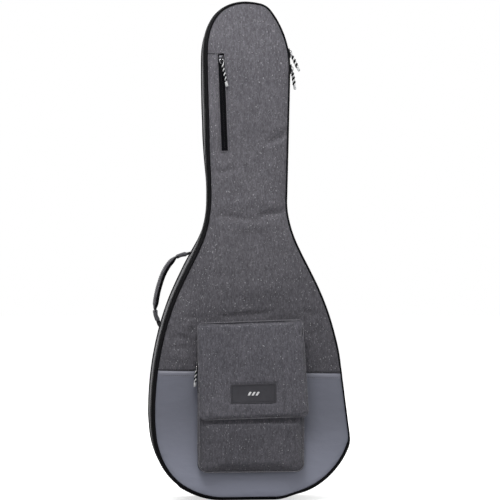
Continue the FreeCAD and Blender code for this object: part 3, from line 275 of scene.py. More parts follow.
def new_obj(name, verts, faces, mat=None, smooth=True):
    me = bpy.data.meshes.new(name)
    me.from_pydata([tuple(v) for v in verts], [], [tuple(f) for f in faces])
    me.validate()
    me.update()
    if smooth:
        me.polygons.foreach_set("use_smooth", [True] * len(me.polygons))
    o = bpy.data.objects.new(name, me)
    COL.objects.link(o)
    MADE.append(o)
    if mat is not None:
        me.materials.append(mat)
    return o


def join_parts(parts):
    """[(verts, faces), ...] as one vertex and face list."""
    vs, fs, n = [], [], 0
    for v, f in parts:
        vs.extend(v)
        fs.extend([tuple(i + n for i in q) for q in f])
        n += len(v)
    return vs, fs


def tube_grid(rings, closed_path, closed_ring=True, caps=True):
    """rings: (n, m, 3) in metres."""
    rings = np.asarray(rings, float)
    n, m, _ = rings.shape
    v = rings.reshape(-1, 3)
    f = []
    nn = n if closed_path else n - 1
    mm = m if closed_ring else m - 1
    for i in range(nn):
        a, b = i * m, ((i + 1) % n) * m
        for j in range(mm):
            k = (j + 1) % m
            f.append((a + j, a + k, b + k, b + j))
    if caps and not closed_path and closed_ring:
        f.append(tuple(range(m - 1, -1, -1)))
        f.append(tuple((n - 1) * m + j for j in range(m)))
    return v, f


def ring_loft(s_list, prof, closed):
    """Sweeps a closed profile round the outline. prof(i, s) gives (m, 2): outward offset and y, in mm."""
    p, n = at_s(s_list)
    rings = []
    for i, s in enumerate(s_list):
        q = np.asarray(prof(i, s), float)
        x = p[i, 0] + n[i, 0] * q[:, 0]
        z = p[i, 1] + n[i, 1] * q[:, 0]
        rings.append(np.stack([x, q[:, 1], z], 1) * MM)
    # the chain runs clockwise, so the faces are turned to point outward
    v, f = tube_grid(rings, closed)
    return v, f


def fix_normals(o):
    bm = bmesh.new()
    bm.from_mesh(o.data)
    bmesh.ops.recalc_face_normals(bm, faces=bm.faces)
    bm.to_mesh(o.data)
    bm.free()
    o.data.update()
    return o


def path_frames(pts, up):
    """Tangent, side and up vectors along a polyline (metres)."""
    pts = np.asarray(pts, float)
    t = np.gradient(pts, axis=0)
    t /= np.linalg.norm(t, axis=1)[:, None]
    up = np.asarray(up, float)
    if up.ndim == 1:
        up = np.tile(up, (len(pts), 1))
    side = np.cross(t, up)
    side /= np.linalg.norm(side, axis=1)[:, None]
    upv = np.cross(side, t)
    return t, side, upv


def sweep(pts, up, prof, closed_path=False, scale=None):
    """prof (m,2) in metres along (side, up)."""
    pts = np.asarray(pts, float)
    t, side, upv = path_frames(pts, up)
    prof = np.asarray(prof, float)
    rings = []
    for i in range(len(pts)):
        q = prof if prof.ndim == 2 else prof[i]
        k = 1.0 if scale is None else scale[i]
        rings.append(pts[i] + side[i] * q[:, :1] * k + upv[i] * q[:, 1:] * k)
    return tube_grid(rings, closed_path)


def circle(r, m=10, rx=None):
    a = np.linspace(0, 2 * math.pi, m, endpoint=False)
    return np.stack([(rx or r) * np.cos(a), r * np.sin(a)], 1)


def superellipse(a, b, m=24, p=3.0):
    t = np.linspace(0, 2 * math.pi, m, endpoint=False)
    c, s = np.cos(t), np.sin(t)
    return np.stack([a * np.sign(c) * np.abs(c) ** (2 / p), b * np.sign(s) * np.abs(s) ** (2 / p)], 1)


def resample(pts, step=None, n=None):
    pts = np.asarray(pts, float)
    d = np.concatenate([[0], np.cumsum(np.linalg.norm(np.diff(pts, axis=0), axis=1))])
    if n is None:
        n = max(2, int(round(d[-1] / step)) + 1)
    u = np.linspace(0, d[-1], n)
    return np.stack([np.interp(u, d, pts[:, k]) for k in range(pts.shape[1])], 1)


def smooth_path(ctrl, n=60):
    """Catmull-Rom through control points."""
    c = np.asarray(ctrl, float)
    c = np.vstack([2 * c[0] - c[1], c, 2 * c[-1] - c[-2]])
    out = []
    per = max(2, n // (len(c) - 3))
    for i in range(1, len(c) - 2):
        for k in range(per):
            t = k / per
            p0, p1, p2, p3 = c[i - 1], c[i], c[i + 1], c[i + 2]
            out.append(0.5 * ((2 * p1) + (-p0 + p2) * t + (2 * p0 - 5 * p1 + 4 * p2 - p3) * t * t + (-p0 + 3 * p1 - 3 * p2 + p3) * t ** 3))
    out.append(c[-2])
    return resample(np.array(out), n=n)


def capsule(a, b, r, seg=6):
    """Low-poly stitch from a to b."""
    a, b = np.asarray(a, float), np.asarray(b, float)
    t = b - a
    ln = np.linalg.norm(t)
    t = t / ln
    h = np.array([0, 0, 1.0]) if abs(t[2]) < 0.9 else np.array([1.0, 0, 0])
    u = np.cross(t, h)
    u /= np.linalg.norm(u)
    w = np.cross(t, u)
    ang = np.linspace(0, 2 * math.pi, seg, endpoint=False)
    c, s = np.cos(ang)[:, None], np.sin(ang)[:, None]
    rings = [a + t * k * ln + (u * c + w * s) * r * q for k, q in ((0, 0.45), (0.12, 0.9), (0.5, 1.0), (0.88, 0.9), (1, 0.45))]
    return tube_grid(rings, False)


def stitches(name, path, normal, body, pitch=4.6, length=3.2, r=0.42, lift=0.15, mat=None, closed=False):
    """A row of thread stitches along a path (mm). normal: (3,) or (n,3) surface normal."""
    path = np.asarray(path, float)
    nrm = np.asarray(normal, float)
    if nrm.ndim == 1:
        nrm = np.tile(nrm, (len(path), 1))
    d = np.concatenate([[0], np.cumsum(np.linalg.norm(np.diff(path, axis=0), axis=1))])
    parts = []
    count = int(d[-1] / pitch)
    for k in range(count):
        s0 = k * pitch + (pitch - length) / 2
        s1 = s0 + length
        a = np.array([np.interp(s0, d, path[:, j]) for j in range(3)])
        b = np.array([np.interp(s1, d, path[:, j]) for j in range(3)])
        m = np.array([np.interp((s0 + s1) / 2, d, nrm[:, j]) for j in range(3)])
        parts.append(capsule((a + m * lift) * MM, (b + m * lift) * MM, r * MM, 5))
    v, f = join_parts(parts)
    o = new_obj(name, v, f, mat or M["thread"])
    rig.ride(o, body)
    return o


def snoise(x, y, z=0.0):
    return noise.noise(Vector((x, y, z)))


def snoise_arr(xyz):
    return np.array([noise.noise(Vector(p)) for p in xyz])


# ================================================================ materials
def mat_new(name):
    m = bpy.data.materials.new(name)
    m.use_nodes = True
    nt = m.node_tree
    b = nt.nodes["Principled BSDF"]
    return m, nt, b


def N(nt, kind, **kw):
    n = nt.nodes.new(kind)
    for k, v in kw.items():
        setattr(n, k, v)
    return n


def coord(nt, scale=(1, 1, 1), rot=(0, 0, 0)):
    tc = N(nt, "ShaderNodeTexCoord")
    mp = N(nt, "ShaderNodeMapping")
    mp.inputs["Scale"].default_value = scale
    mp.inputs["Rotation"].default_value = rot
    nt.links.new(tc.outputs["Object"], mp.inputs["Vector"])
    return mp.outputs["Vector"]


def tex_noise(nt, vec, scale, detail=2.0, rough=0.5, dist=0.0):
    n = N(nt, "ShaderNodeTexNoise")
    n.inputs["Scale"].default_value = scale
    n.inputs["Detail"].default_value = detail
    n.inputs["Roughness"].default_value = rough
    n.inputs["Distortion"].default_value = dist
    nt.links.new(vec, n.inputs["Vector"])
    return n.outputs["Fac"]


def ramp(nt, fac, stops):
    r = N(nt, "ShaderNodeValToRGB")
    e = r.color_ramp.elements
    while len(e) < len(stops):
        e.new(0.5)
    for i, (p, c) in enumerate(stops):
        e[i].position = p
        e[i].color = c if len(c) == 4 else (*c, 1)
    nt.links.new(fac, r.inputs["Fac"])
    return r.outputs["Color"]


def mix(nt, fac, a, b, mode="MIX"):
    m = N(nt, "ShaderNodeMix", data_type="RGBA", blend_type=mode)
    for sock, v in ((m.inputs[0], fac), (m.inputs[6], a), (m.inputs[7], b)):
        if hasattr(v, "is_linked") or isinstance(v, bpy.types.NodeSocket):
            nt.links.new(v, sock)
        elif isinstance(v, (int, float)):
            sock.default_value = v
        else:
            sock.default_value = v if len(v) == 4 else (*v, 1)
    return m.outputs[2]


def math_node(nt, op, a, b=0.0, c=None):
    m = N(nt, "ShaderNodeMath", operation=op)
    for i, v in enumerate((a, b) if c is None else (a, b, c)):
        if isinstance(v, bpy.types.NodeSocket):
            nt.links.new(v, m.inputs[i])
        else:
            m.inputs[i].default_value = v
    return m.outputs[0]


def bump(nt, height, strength, dist, normal=None):
    b = N(nt, "ShaderNodeBump")
    b.inputs["Strength"].default_value = strength
    b.inputs["Distance"].default_value = dist
    nt.links.new(height, b.inputs["Height"])
    if normal is not None:
        nt.links.new(normal, b.inputs["Normal"])
    return b.outputs["Normal"]


def weave_height(nt, vec, pitch_mm):
    """Basket weave from two crossed sine waves, in object space (x and z, and y for side walls)."""
    k = 1000.0 / pitch_mm * math.pi
    sep = N(nt, "ShaderNodeSeparateXYZ")
    nt.links.new(vec, sep.inputs[0])
    wx = math_node(nt, "SINE", math_node(nt, "MULTIPLY", math_node(nt, "ADD", sep.outputs["X"], sep.outputs["Y"]), k))
    wz = math_node(nt, "SINE", math_node(nt, "MULTIPLY", sep.outputs["Z"], k))
    return math_node(nt, "MULTIPLY", wx, wz)


def lerp3(a, k):
    return tuple(min(1.0, x * k) for x in a)


def heather(name, base, speck=1.0, weave=0.9, streak=1.0, fade=False):
    m, nt, b = mat_new(name)
    v = coord(nt)
    vs = coord(nt, (520, 520, 150))
    vf = coord(nt, (1500, 1500, 420))
    slub = tex_noise(nt, vs, 1.0, 3.0, 0.6)
    fine = tex_noise(nt, vf, 1.0, 2.0, 0.6)
    broad = tex_noise(nt, v, 9.0, 3.0, 0.5)
    dark, light = lerp3(base, 1 - 0.42 * streak), lerp3(base, 1 + 0.50 * streak)
    c = ramp(nt, slub, [(0.30, dark), (0.50, base), (0.72, light)])
    c2 = ramp(nt, fine, [(0.32, lerp3(base, 0.62)), (0.52, base), (0.74, lerp3(base, 1.55))])
    c = mix(nt, 0.5, c, c2)
    mid = tex_noise(nt, coord(nt, (230, 230, 105)), 1.0, 4.0, 0.72, 0.5)
    c = mix(nt, 1.0, c, ramp(nt, mid, [(0.28, (0.66,) * 3), (0.50, (1.0,) * 3), (0.74, (1.42,) * 3)]), "MULTIPLY")
    long_ = tex_noise(nt, coord(nt, (300, 300, 42)), 1.0, 3.0, 0.65, 0.3)
    c = mix(nt, 1.0, c, ramp(nt, long_, [(0.30, (0.86,) * 3), (0.50, (1.0,) * 3), (0.72, (1.13,) * 3)]), "MULTIPLY")
    if fade:
        # painted shade: the cloth is darkened towards the base, standing in for the top light falling off down the bag
        sp = N(nt, "ShaderNodeSeparateXYZ")
        nt.links.new(v, sp.inputs[0])
        zr = N(nt, "ShaderNodeMapRange")
        zr.inputs["From Max"].default_value = 1.13
        nt.links.new(sp.outputs["Z"], zr.inputs["Value"])
        c = mix(nt, 1.0, c, ramp(nt, zr.outputs["Result"], [(0.26, (0.80, 0.80, 0.81)), (0.38, (0.86, 0.86, 0.865)), (0.50, (0.95,) * 3), (0.72, (1.02,) * 3), (0.90, (1.10,) * 3)]), "MULTIPLY")
    br = ramp(nt, broad, [(0.3, (0.88, 0.88, 0.88)), (0.7, (1.11, 1.11, 1.10))])
    c = mix(nt, 1.0, c, br, "MULTIPLY")
    # light flecks of unblended fibre
    vo = N(nt, "ShaderNodeTexVoronoi")
    vo.inputs["Scale"].default_value = 1.0
    vo.inputs["Randomness"].default_value = 1.0
    wob = N(nt, "ShaderNodeTexNoise")
    wob.inputs["Scale"].default_value = 1.0
    nt.links.new(coord(nt, (420, 420, 420)), wob.inputs["Vector"])
    vadd = N(nt, "ShaderNodeVectorMath", operation="MULTIPLY_ADD")
    nt.links.new(wob.outputs["Color"], vadd.inputs[0])
    vadd.inputs[1].default_value = (1.3, 1.3, 0.7)
    nt.links.new(coord(nt, (440, 440, 250)), vadd.inputs[2])
    nt.links.new(vadd.outputs[0], vo.inputs["Vector"])
    near = math_node(nt, "LESS_THAN", vo.outputs["Distance"], 0.36)
    sepc = N(nt, "ShaderNodeSeparateColor")
    nt.links.new(vo.outputs["Color"], sepc.inputs[0])
    pick = math_node(nt, "GREATER_THAN", sepc.outputs[0], 1 - 0.17 * speck)
    fleck = math_node(nt, "MULTIPLY", near, pick)
    fleck = math_node(nt, "MULTIPLY", fleck, math_node(nt, "MULTIPLY_ADD", math_node(nt, "MULTIPLY", sepc.outputs[1], sepc.outputs[1]), 0.50, 0.10))
    c = mix(nt, fleck, c, (0.60, 0.60, 0.62))
    nt.links.new(c, b.inputs["Base Color"])
    b.inputs["Roughness"].default_value = 0.92
    b.inputs["Specular IOR Level"].default_value = 0.25
    b.inputs["Sheen Weight"].default_value = 0.25
    b.inputs["Sheen Roughness"].default_value = 0.5
    w = weave_height(nt, v, weave)
    h = math_node(nt, "MULTIPLY_ADD", slub, 1.2, math_node(nt, "MULTIPLY", w, 0.35))
    h = math_node(nt, "ADD", h, math_node(nt, "MULTIPLY", fleck, 0.5))
    nt.links.new(bump(nt, h, 0.55, 0.0006), b.inputs["Normal"])
    return m


def coated(name, base):
    m, nt, b = mat_new(name)
    v = coord(nt)
    broad = tex_noise(nt, v, 7.0, 4.0, 0.55)
    c = ramp(nt, broad, [(0.25, lerp3(base, 0.93)), (0.75, lerp3(base, 1.07))])
    fine = tex_noise(nt, coord(nt, (900, 900, 900)), 1.0, 2.0, 0.5)
    c = mix(nt, 0.10, c, ramp(nt, fine, [(0.3, lerp3(base, 0.6)), (0.7, lerp3(base, 1.4))]))
    # painted reflection: the film is made paler towards the base, standing in for light thrown up by the floor
    sp = N(nt, "ShaderNodeSeparateXYZ")
    nt.links.new(v, sp.inputs[0])
    painted_reflection_low = N(nt, "ShaderNodeMapRange", interpolation_type="SMOOTHSTEP")
    painted_reflection_low.inputs["From Min"].default_value = 0.21
    painted_reflection_low.inputs["From Max"].default_value = 0.0
    painted_reflection_low.inputs["To Min"].default_value = 0.0
    painted_reflection_low.inputs["To Max"].default_value = 1.0
    nt.links.new(sp.outputs["Z"], painted_reflection_low.inputs["Value"])
    c = mix(nt, painted_reflection_low.outputs["Result"], c, lerp3(base, 2.0))
    nt.links.new(c, b.inputs["Base Color"])
    r = ramp(nt, tex_noise(nt, v, 24.0, 3.0, 0.6), [(0.2, (0.40,) * 3), (0.8, (0.52,) * 3)])
    nt.links.new(r, b.inputs["Roughness"])
    b.inputs["Specular IOR Level"].default_value = 0.45
    b.inputs["Coat Weight"].default_value = 0.12
    b.inputs["Coat Roughness"].default_value = 0.35
    w = weave_height(nt, v, 0.8)
    pucker = tex_noise(nt, coord(nt, (26, 26, 60)), 1.0, 3.0, 0.55, 0.6)
    n1 = bump(nt, w, 0.10, 0.0003)
    n2 = bump(nt, pucker, 0.22, 0.004, n1)
    nt.links.new(n2, b.inputs["Normal"])
    return m


def woven(name, base, pitch=1.1, rough=0.8, sheen=0.04, contrast=0.35, spec=0.14):
    """Nylon webbing, tape and plain cloth."""
    m, nt, b = mat_new(name)
    v = coord(nt)
    w = weave_height(nt, v, pitch)
    f = math_node(nt, "MULTIPLY_ADD", w, 0.5, 0.5)
    nz = tex_noise(nt, coord(nt, (260, 260, 260)), 1.0, 3.0, 0.6)
    c = ramp(nt, f, [(0.1, lerp3(base, 1 - contrast)), (0.9, lerp3(base, 1 + contrast))])
    c = mix(nt, 0.45, c, ramp(nt, nz, [(0.3, lerp3(base, 0.7)), (0.7, lerp3(base, 1.35))]))
    nt.links.new(c, b.inputs["Base Color"])
    b.inputs["Roughness"].default_value = rough
    b.inputs["Sheen Weight"].default_value = sheen
    b.inputs["Specular IOR Level"].default_value = spec
    h = math_node(nt, "MULTIPLY_ADD", nz, 0.6, f)
    nt.links.new(bump(nt, h, 0.5, 0.0004), b.inputs["Normal"])
    return m


def plush(name, base, rough=0.95):
    m, nt, b = mat_new(name)
    v = coord(nt)
    fine = tex_noise(nt, coord(nt, (1400, 1400, 1400)), 1.0, 3.0, 0.7)
    broad = tex_noise(nt, v, 18.0, 4.0, 0.6)
    c = mix(nt, 0.5, ramp(nt, fine, [(0.25, lerp3(base, 0.65)), (0.75, lerp3(base, 1.4))]),
            ramp(nt, broad, [(0.25, lerp3(base, 0.82)), (0.75, lerp3(base, 1.18))]))
    nt.links.new(c, b.inputs["Base Color"])
    b.inputs["Roughness"].default_value = rough
    b.inputs["Sheen Weight"].default_value = 0.6
    b.inputs["Sheen Roughness"].default_value = 0.4
    b.inputs["Specular IOR Level"].default_value = 0.2
    h = math_node(nt, "MULTIPLY_ADD", broad, 1.5, fine)
    nt.links.new(bump(nt, h, 0.5, 0.0009), b.inputs["Normal"])
    return m


def spacer_mesh(name, base):
    """Knitted air mesh with round holes."""
    m, nt, b = mat_new(name)
    vo = N(nt, "ShaderNodeTexVoronoi")
    vo.inputs["Scale"].default_value = 1.0
    vo.inputs["Randomness"].default_value = 0.12
    nt.links.new(coord(nt, (330, 330, 330)), vo.inputs["Vector"])
    c = ramp(nt, vo.outputs["Distance"], [(0.22, lerp3(base, 0.25)), (0.42, lerp3(base, 1.2)), (0.7, base)])
    nt.links.new(c, b.inputs["Base Color"])
    b.inputs["Roughness"].default_value = 0.85
    b.inputs["Sheen Weight"].default_value = 0.3
    nt.links.new(bump(nt, vo.outputs["Distance"], 0.9, 0.0012), b.inputs["Normal"])
    return m


def polymer(name, base, rough=0.45, spec=0.5, grain=0.15, metallic=0.0, coat=0.0):
    m, nt, b = mat_new(name)
    v = coord(nt)
    g = tex_noise(nt, coord(nt, (700, 700, 700)), 1.0, 3.0, 0.6)
    broad = tex_noise(nt, v, 40.0, 3.0, 0.6)
    c = ramp(nt, broad, [(0.25, lerp3(base, 0.85)), (0.75, lerp3(base, 1.15))])
    nt.links.new(c, b.inputs["Base Color"])
    r = ramp(nt, broad, [(0.2, (rough * 0.8,) * 3), (0.8, (min(1, rough * 1.2),) * 3)])
    nt.links.new(r, b.inputs["Roughness"])
    b.inputs["Metallic"].default_value = metallic
    b.inputs["Specular IOR Level"].default_value = spec
    b.inputs["Coat Weight"].default_value = coat
    nt.links.new(bump(nt, g, grain, 0.0002), b.inputs["Normal"])
    return m


M = {
    "heather": heather("mat_heather", (0.108, 0.104, 0.118), fade=True),
    # painted shade: a darker copy of the heather for the pocket, standing in for the shade under the flap and low on
    # the bag
    "heather_pocket": heather("mat_heather_pocket", (0.090, 0.087, 0.101), speck=0.65),
    "heather_flap": heather("mat_heather_flap", (0.103, 0.100, 0.116), speck=0.75),
    # paler copy of the heather for the pocket and flap edge cords: partly the bound edge's own tone, partly painted
    # highlight along the edges
    "heather_edge": heather("mat_heather_edge", (0.125, 0.122, 0.138), speck=1.2),
    "heather_grip": heather("mat_heather_grip", (0.085, 0.084, 0.094), speck=0.7),
    # painted shade: a darker copy of the heather for the side walls, standing in for the shade they lie in
    "side": heather("mat_side", (0.066, 0.064, 0.071), speck=0.6),
    "heather_back": heather("mat_heather_back", (0.100, 0.097, 0.110), speck=0.8),
    "coated": coated("mat_coated", (0.160, 0.167, 0.206)),
    "hem": coated("mat_hem", (0.192, 0.196, 0.236)),
    "tape": woven("mat_zip_tape", (0.0040, 0.0040, 0.0052), 1.0, 0.8, 0.0, 0.35, 0.06),
    "tape_inner": woven("mat_binding", (0.016, 0.016, 0.019), 1.4, 0.8),
    "coil": polymer("mat_coil", (0.0050, 0.0050, 0.0062), 0.42, 0.16, 0.05),
    "piping": woven("mat_piping", (0.0055, 0.0055, 0.0068), 0.9, 0.7, 0.0, 0.3, 0.08),
    "webbing": woven("mat_webbing", (0.013, 0.013, 0.015), 2.2, 0.7, 0.06, 0.45, 0.2),
    "lining": plush("mat_lining", (0.20, 0.20, 0.215)),
    "lining_dark": plush("mat_lining_dark", (0.055, 0.055, 0.062)),
    "mesh": spacer_mesh("mat_air_mesh", (0.045, 0.045, 0.052)),
    "rubber": polymer("mat_rubber", (0.014, 0.014, 0.016), 0.62, 0.25, 0.5),
    "badge": polymer("mat_badge", (0.058, 0.057, 0.065), 0.62, 0.2, 0.35),
    "mark": polymer("mat_mark", (0.75, 0.75, 0.76), 0.5, 0.4, 0.1),
    "metal": polymer("mat_black_nickel", (0.060, 0.060, 0.066), 0.30, 0.6, 0.05, 0.90),
    "silver": polymer("mat_worn_nickel", (0.70, 0.70, 0.72), 0.25, 0.6, 0.05, 1.0),
    "buckle": polymer("mat_acetal", (0.012, 0.012, 0.014), 0.42, 0.4, 0.3),
    "guard": polymer("mat_guard", (0.024, 0.024, 0.028), 0.5, 0.35, 0.8),
    "thread": woven("mat_thread", (0.105, 0.105, 0.115), 0.7, 0.6, 0.05),
    "thread_dark": woven("mat_thread_dark", (0.008, 0.008, 0.010), 0.7, 0.6, 0.05),
    "cord_black": woven("mat_cord_black", (0.006, 0.006, 0.008), 0.8, 0.6, 0.02),
    "cord_white": woven("mat_cord_white", (0.74, 0.74, 0.74), 0.8, 0.6, 0.1, 0.15),
    "tip": polymer("mat_tip", (0.72, 0.73, 0.74), 0.2, 0.6, 0.05),
    "hook_tape": plush("mat_hook_tape", (0.012, 0.012, 0.015), 0.8),
}
m_tip = M["tip"].node_tree.nodes["Principled BSDF"]
m_tip.inputs["Transmission Weight"].default_value = 0.35


# ================================================================ soft pieces
def remesh(o, voxel_mm, smooth_it=2):
    m = o.modifiers.new("Remesh", "REMESH")
    m.mode = "VOXEL"
    m.voxel_size = voxel_mm * MM
    m.use_smooth_shade = True
    if smooth_it:
        s = o.modifiers.new("Smooth", "SMOOTH")
        s.factor = 0.5
        s.iterations = smooth_it
    bake(o)
    return o


def bake(o):
    dg = bpy.context.evaluated_depsgraph_get()
    dg.update()
    me = bpy.data.meshes.new_from_object(o.evaluated_get(dg))
    mats = list(o.data.materials)
    o.modifiers.clear()
    old = o.data
    o.data = me
    me.materials.clear()
    for k in mats:
        me.materials.append(k)
    me.polygons.foreach_set("use_smooth", [True] * len(me.polygons))
    bpy.data.meshes.remove(old)
    return o


def subdivide(o, levels=1):
    m = o.modifiers.new("Sub", "SUBSURF")
    m.levels = levels
    m.render_levels = levels
    return bake(o)


def get_co(o):
    co = np.zeros(len(o.data.vertices) * 3)
    o.data.vertices.foreach_get("co", co)
    return co.reshape(-1, 3)


def set_co(o, co):
    o.data.vertices.foreach_set("co", np.asarray(co, float).reshape(-1))
    o.data.update()


def puff(o, pressure, cap_mm, pin=None, frames=20, stiff=15.0, shrink=0.0, seed=0):
    """Inflates a closed mesh as cloth and keeps how far each point moved under the cap."""
    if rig.quick():
        return o
    rest = get_co(o)
    # a faint seeded unevenness, so the cloth buckles the way padding does
    jit = np.array([noise.noise_vector(Vector(p * 45 + seed)) for p in rest]) * 0.0004
    set_co(o, rest + jit)
    m = o.modifiers.new("Cloth", "CLOTH")
    s = m.settings
    s.quality = 5
    s.mass = 0.25
    s.use_pressure = True
    s.uniform_pressure_force = pressure
    s.tension_stiffness = stiff
    s.compression_stiffness = stiff
    s.shear_stiffness = 5
    s.bending_stiffness = 0.4
    s.shrink_min = shrink
    s.effector_weights.gravity = 0
    m.collision_settings.use_collision = False
    if pin is not None:
        g = o.vertex_groups.new(name="pin")
        for i in np.nonzero(pin)[0]:
            g.add([int(i)], float(min(1.0, pin[i])), "REPLACE")
        s.vertex_group_mass = "pin"
    m.point_cache.frame_start = 1
    m.point_cache.frame_end = frames
    sc = bpy.context.scene
    sc.frame_start, sc.frame_end = 1, frames
    for f in range(1, frames + 1):
        sc.frame_set(f)
    dg = bpy.context.evaluated_depsgraph_get()
    ev = o.evaluated_get(dg)
    co = np.zeros(len(ev.data.vertices) * 3)
    ev.data.vertices.foreach_get("co", co)
    co = co.reshape(-1, 3)
    o.modifiers.clear()
    o.vertex_groups.clear()
    if co.shape != rest.shape or not np.isfinite(co).all():
        set_co(o, rest)
        return o
    d = co - rest
    ln = np.linalg.norm(d, axis=1)
    k = np.where(ln > cap_mm * MM, cap_mm * MM / np.maximum(ln, 1e-12), 1.0)
    set_co(o, rest + d * k[:, None])
    sc.frame_set(1)
    return o


def pillow(name, loop_fn, axis_y, half_t, edge_r, mat, voxel=4.0, tilt=None):
    """Closed slab with rounded edges. loop_fn(inset mm) -> (n, 2) x, z in mm. axis_y: middle y in mm."""
    levels = []
    for a in np.linspace(-90, 90, 9):
        r = math.radians(a)
        levels.append((edge_r * (1 - math.cos(r)), half_t * math.sin(r)))
    rings = []
    for inset, dy in levels:
        lp = np.asarray(loop_fn(inset), float)
        rings.append(np.stack([lp[:, 0], np.full(len(lp), axis_y + dy), lp[:, 1]], 1) * MM)
    v, f = tube_grid(rings, False)
    return v, f


def round_poly(points, radii, step=2.0):
    """Rounded polygon, counter-clockwise or clockwise, as points about `step` mm apart."""
    pts = [np.array(p, float) for p in points]
    n, out = len(pts), []
    for i in range(n):
        a, b, c = pts[i - 1], pts[i], pts[(i + 1) % n]
        u, w = (a - b) / np.linalg.norm(a - b), (c - b) / np.linalg.norm(c - b)
        ang = math.acos(max(-1, min(1, float(u @ w))))
        r = max(radii[i], 0.3)
        cut = r / math.tan(ang / 2)
        bis = (u + w) / np.linalg.norm(u + w)
        cen = b + bis * (r / math.sin(ang / 2))
        s, e = b + u * cut, b + w * cut
        a0 = math.atan2(*(s - cen)[::-1])
        a1 = math.atan2(*(e - cen)[::-1])
        d = (a1 - a0 + math.pi) % (2 * math.pi) - math.pi
        k = max(3, int(abs(d) * r / step) + 1)
        for j in range(k + 1):
            t = a0 + d * j / k
            out.append(cen + r * np.array([math.cos(t), math.sin(t)]))
    out = np.array(out)
    out = np.vstack([out, out[:1]])
    m = int(np.linalg.norm(np.diff(out, axis=0), axis=1).sum() / step)
    return resample(out, n=m + 1)[:-1]


def inset_poly(points, d):
    """Polygon corners moved inward by d (any winding)."""
    pts = [np.array(p, float) for p in points]
    area = sum(a[0] * b[1] - b[0] * a[1] for a, b in zip(pts, pts[1:] + pts[:1]))
    sg = 1 if area > 0 else -1
    out, n = [], len(pts)
    for i in range(n):
        a, b, c = pts[i - 1], pts[i], pts[(i + 1) % n]
        u, w = (b - a) / np.linalg.norm(b - a), (c - b) / np.linalg.norm(c - b)
        n1, n2 = np.array([-u[1], u[0]]) * sg, np.array([-w[1], w[0]]) * sg
        k = (n1 + n2) / (1 + float(n1 @ n2))
        out.append(b + k * d)
    return out


# ================================================================ large panels
def chains(off):
    """x of the left and right edge as functions of z, at this outward offset (mm)."""
    P = FP + FN * off
    top = int(np.argmax(P[:, 1]))
    bl = int(np.argmin((FP[:, 0] + 62.0) ** 2 + (FP[:, 1] - 9.0) ** 2))
    br = int(np.argmin((FP[:, 0] - 55.0) ** 2 + (FP[:, 1] - 9.0) ** 2))
    n = len(P)
    right = P[[(top + k) % n for k in range((br - top) % n + 1)]][::-1]
    left = P[[(bl + k) % n for k in range((top - bl) % n + 1)]]

    def mono(c):
        z = np.maximum.accumulate(c[:, 1])
        z = z + np.arange(len(z)) * 1e-7
        return z, c[:, 0]
    return mono(left), mono(right), left


def panel_rows(off, z_lo=None, z_hi=None, step=5.0, shear=None):
    (lz, lx), (rz, rx), left = chains(off)
    d = np.concatenate([[0], np.cumsum(np.linalg.norm(np.diff(left, axis=0), axis=1))])
    s = np.linspace(0, d[-1], int(d[-1] / step) + 1)
    zs = np.interp(s, d, left[:, 1])
    zs[-1] = lz[-1] - 0.02
    zs[0] = lz[0] + 1e-4
    if z_lo is not None:
        zs = np.concatenate([[z_lo], zs[zs > z_lo + step * 0.4]])
    if z_hi is not None:
        zs = np.concatenate([zs[zs < z_hi - step * 0.4], [z_hi]])
    edge = np.array([0, 0.9, 2.0, 3.6, 6.0, 9.5, 14.0, 20.0, 28.0])
    nmid = 66
    X, Z = [], []
    for z in zs:
        xl = xr = 0.0
        zl = zr = z
        for _ in range(4):
            xl = float(np.interp(zl, lz, lx))
            xr = float(np.interp(zr, rz, rx))
            if shear is not None:
                zl, zr = z + shear(xl, z), z + shear(xr, z)
        w = xr - xl
        k = min(1.0, w * 0.42 / edge[-1])
        us = np.concatenate([xl + edge * k, np.linspace(xl + edge[-1] * k, xr - edge[-1] * k, nmid + 2)[1:-1], (xr - edge * k)[::-1]])
        X.append(us)
        Z.append(np.array([z + (shear(x, z) if shear is not None else 0.0) for x in us]))
    return np.array(X), np.array(Z)


_kd = {}


def edge_distance(x, z, off):
    """Distance in mm from each point to the outline at this offset."""
    if off not in _kd:
        P = FP + FN * off
        kd = kdtree.KDTree(len(P))
        for i, p in enumerate(P):
            kd.insert((p[0], p[1], 0), i)
        kd.balance()
        _kd[off] = kd
    kd = _kd[off]
    return np.array([kd.find((a, b, 0))[2] for a, b in zip(x.ravel(), z.ravel())]).reshape(x.shape)


def grid_solid(name, X, Z, Yf, Yb, mat, body, flip=False):
    """Closed solid from a front grid and a back surface on the same outline. Yb: number or array."""
    R, C = X.shape
    front = np.stack([X, Yf, Z], 2).reshape(-1, 3)
    idx = np.arange(R * C).reshape(R, C)
    loop = list(idx[0, :]) + list(idx[1:, -1]) + list(idx[-1, -2::-1]) + list(idx[-2:0:-1, 0])
    faces = []
    for i in range(R - 1):
        for j in range(C - 1):
            faces.append((idx[i, j], idx[i, j + 1], idx[i + 1, j + 1], idx[i + 1, j]))
    v = [front]
    if np.isscalar(Yb):
        back = front[loop].copy()
        back[:, 1] = Yb
        base = R * C
        v.append(back)
        L = len(loop)
        for k in range(L):
            a, b = loop[k], loop[(k + 1) % L]
            faces.append((b, a, base + k, base + (k + 1) % L))
        faces.append(tuple(base + k for k in range(L)))
    else:
        back = np.stack([X, Yb, Z], 2).reshape(-1, 3)
        base = R * C
        v.append(back)
        for i in range(R - 1):
            for j in range(C - 1):
                faces.append((base + idx[i, j], base + idx[i + 1, j], base + idx[i + 1, j + 1], base + idx[i, j + 1]))
        L = len(loop)
        for k in range(L):
            a, b = loop[k], loop[(k + 1) % L]
            faces.append((b, a, base + a, base + b))
    o = new_obj(name, np.vstack(v) * MM, faces, mat)
    fix_normals(o)
    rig.ride(o, body)
    return o


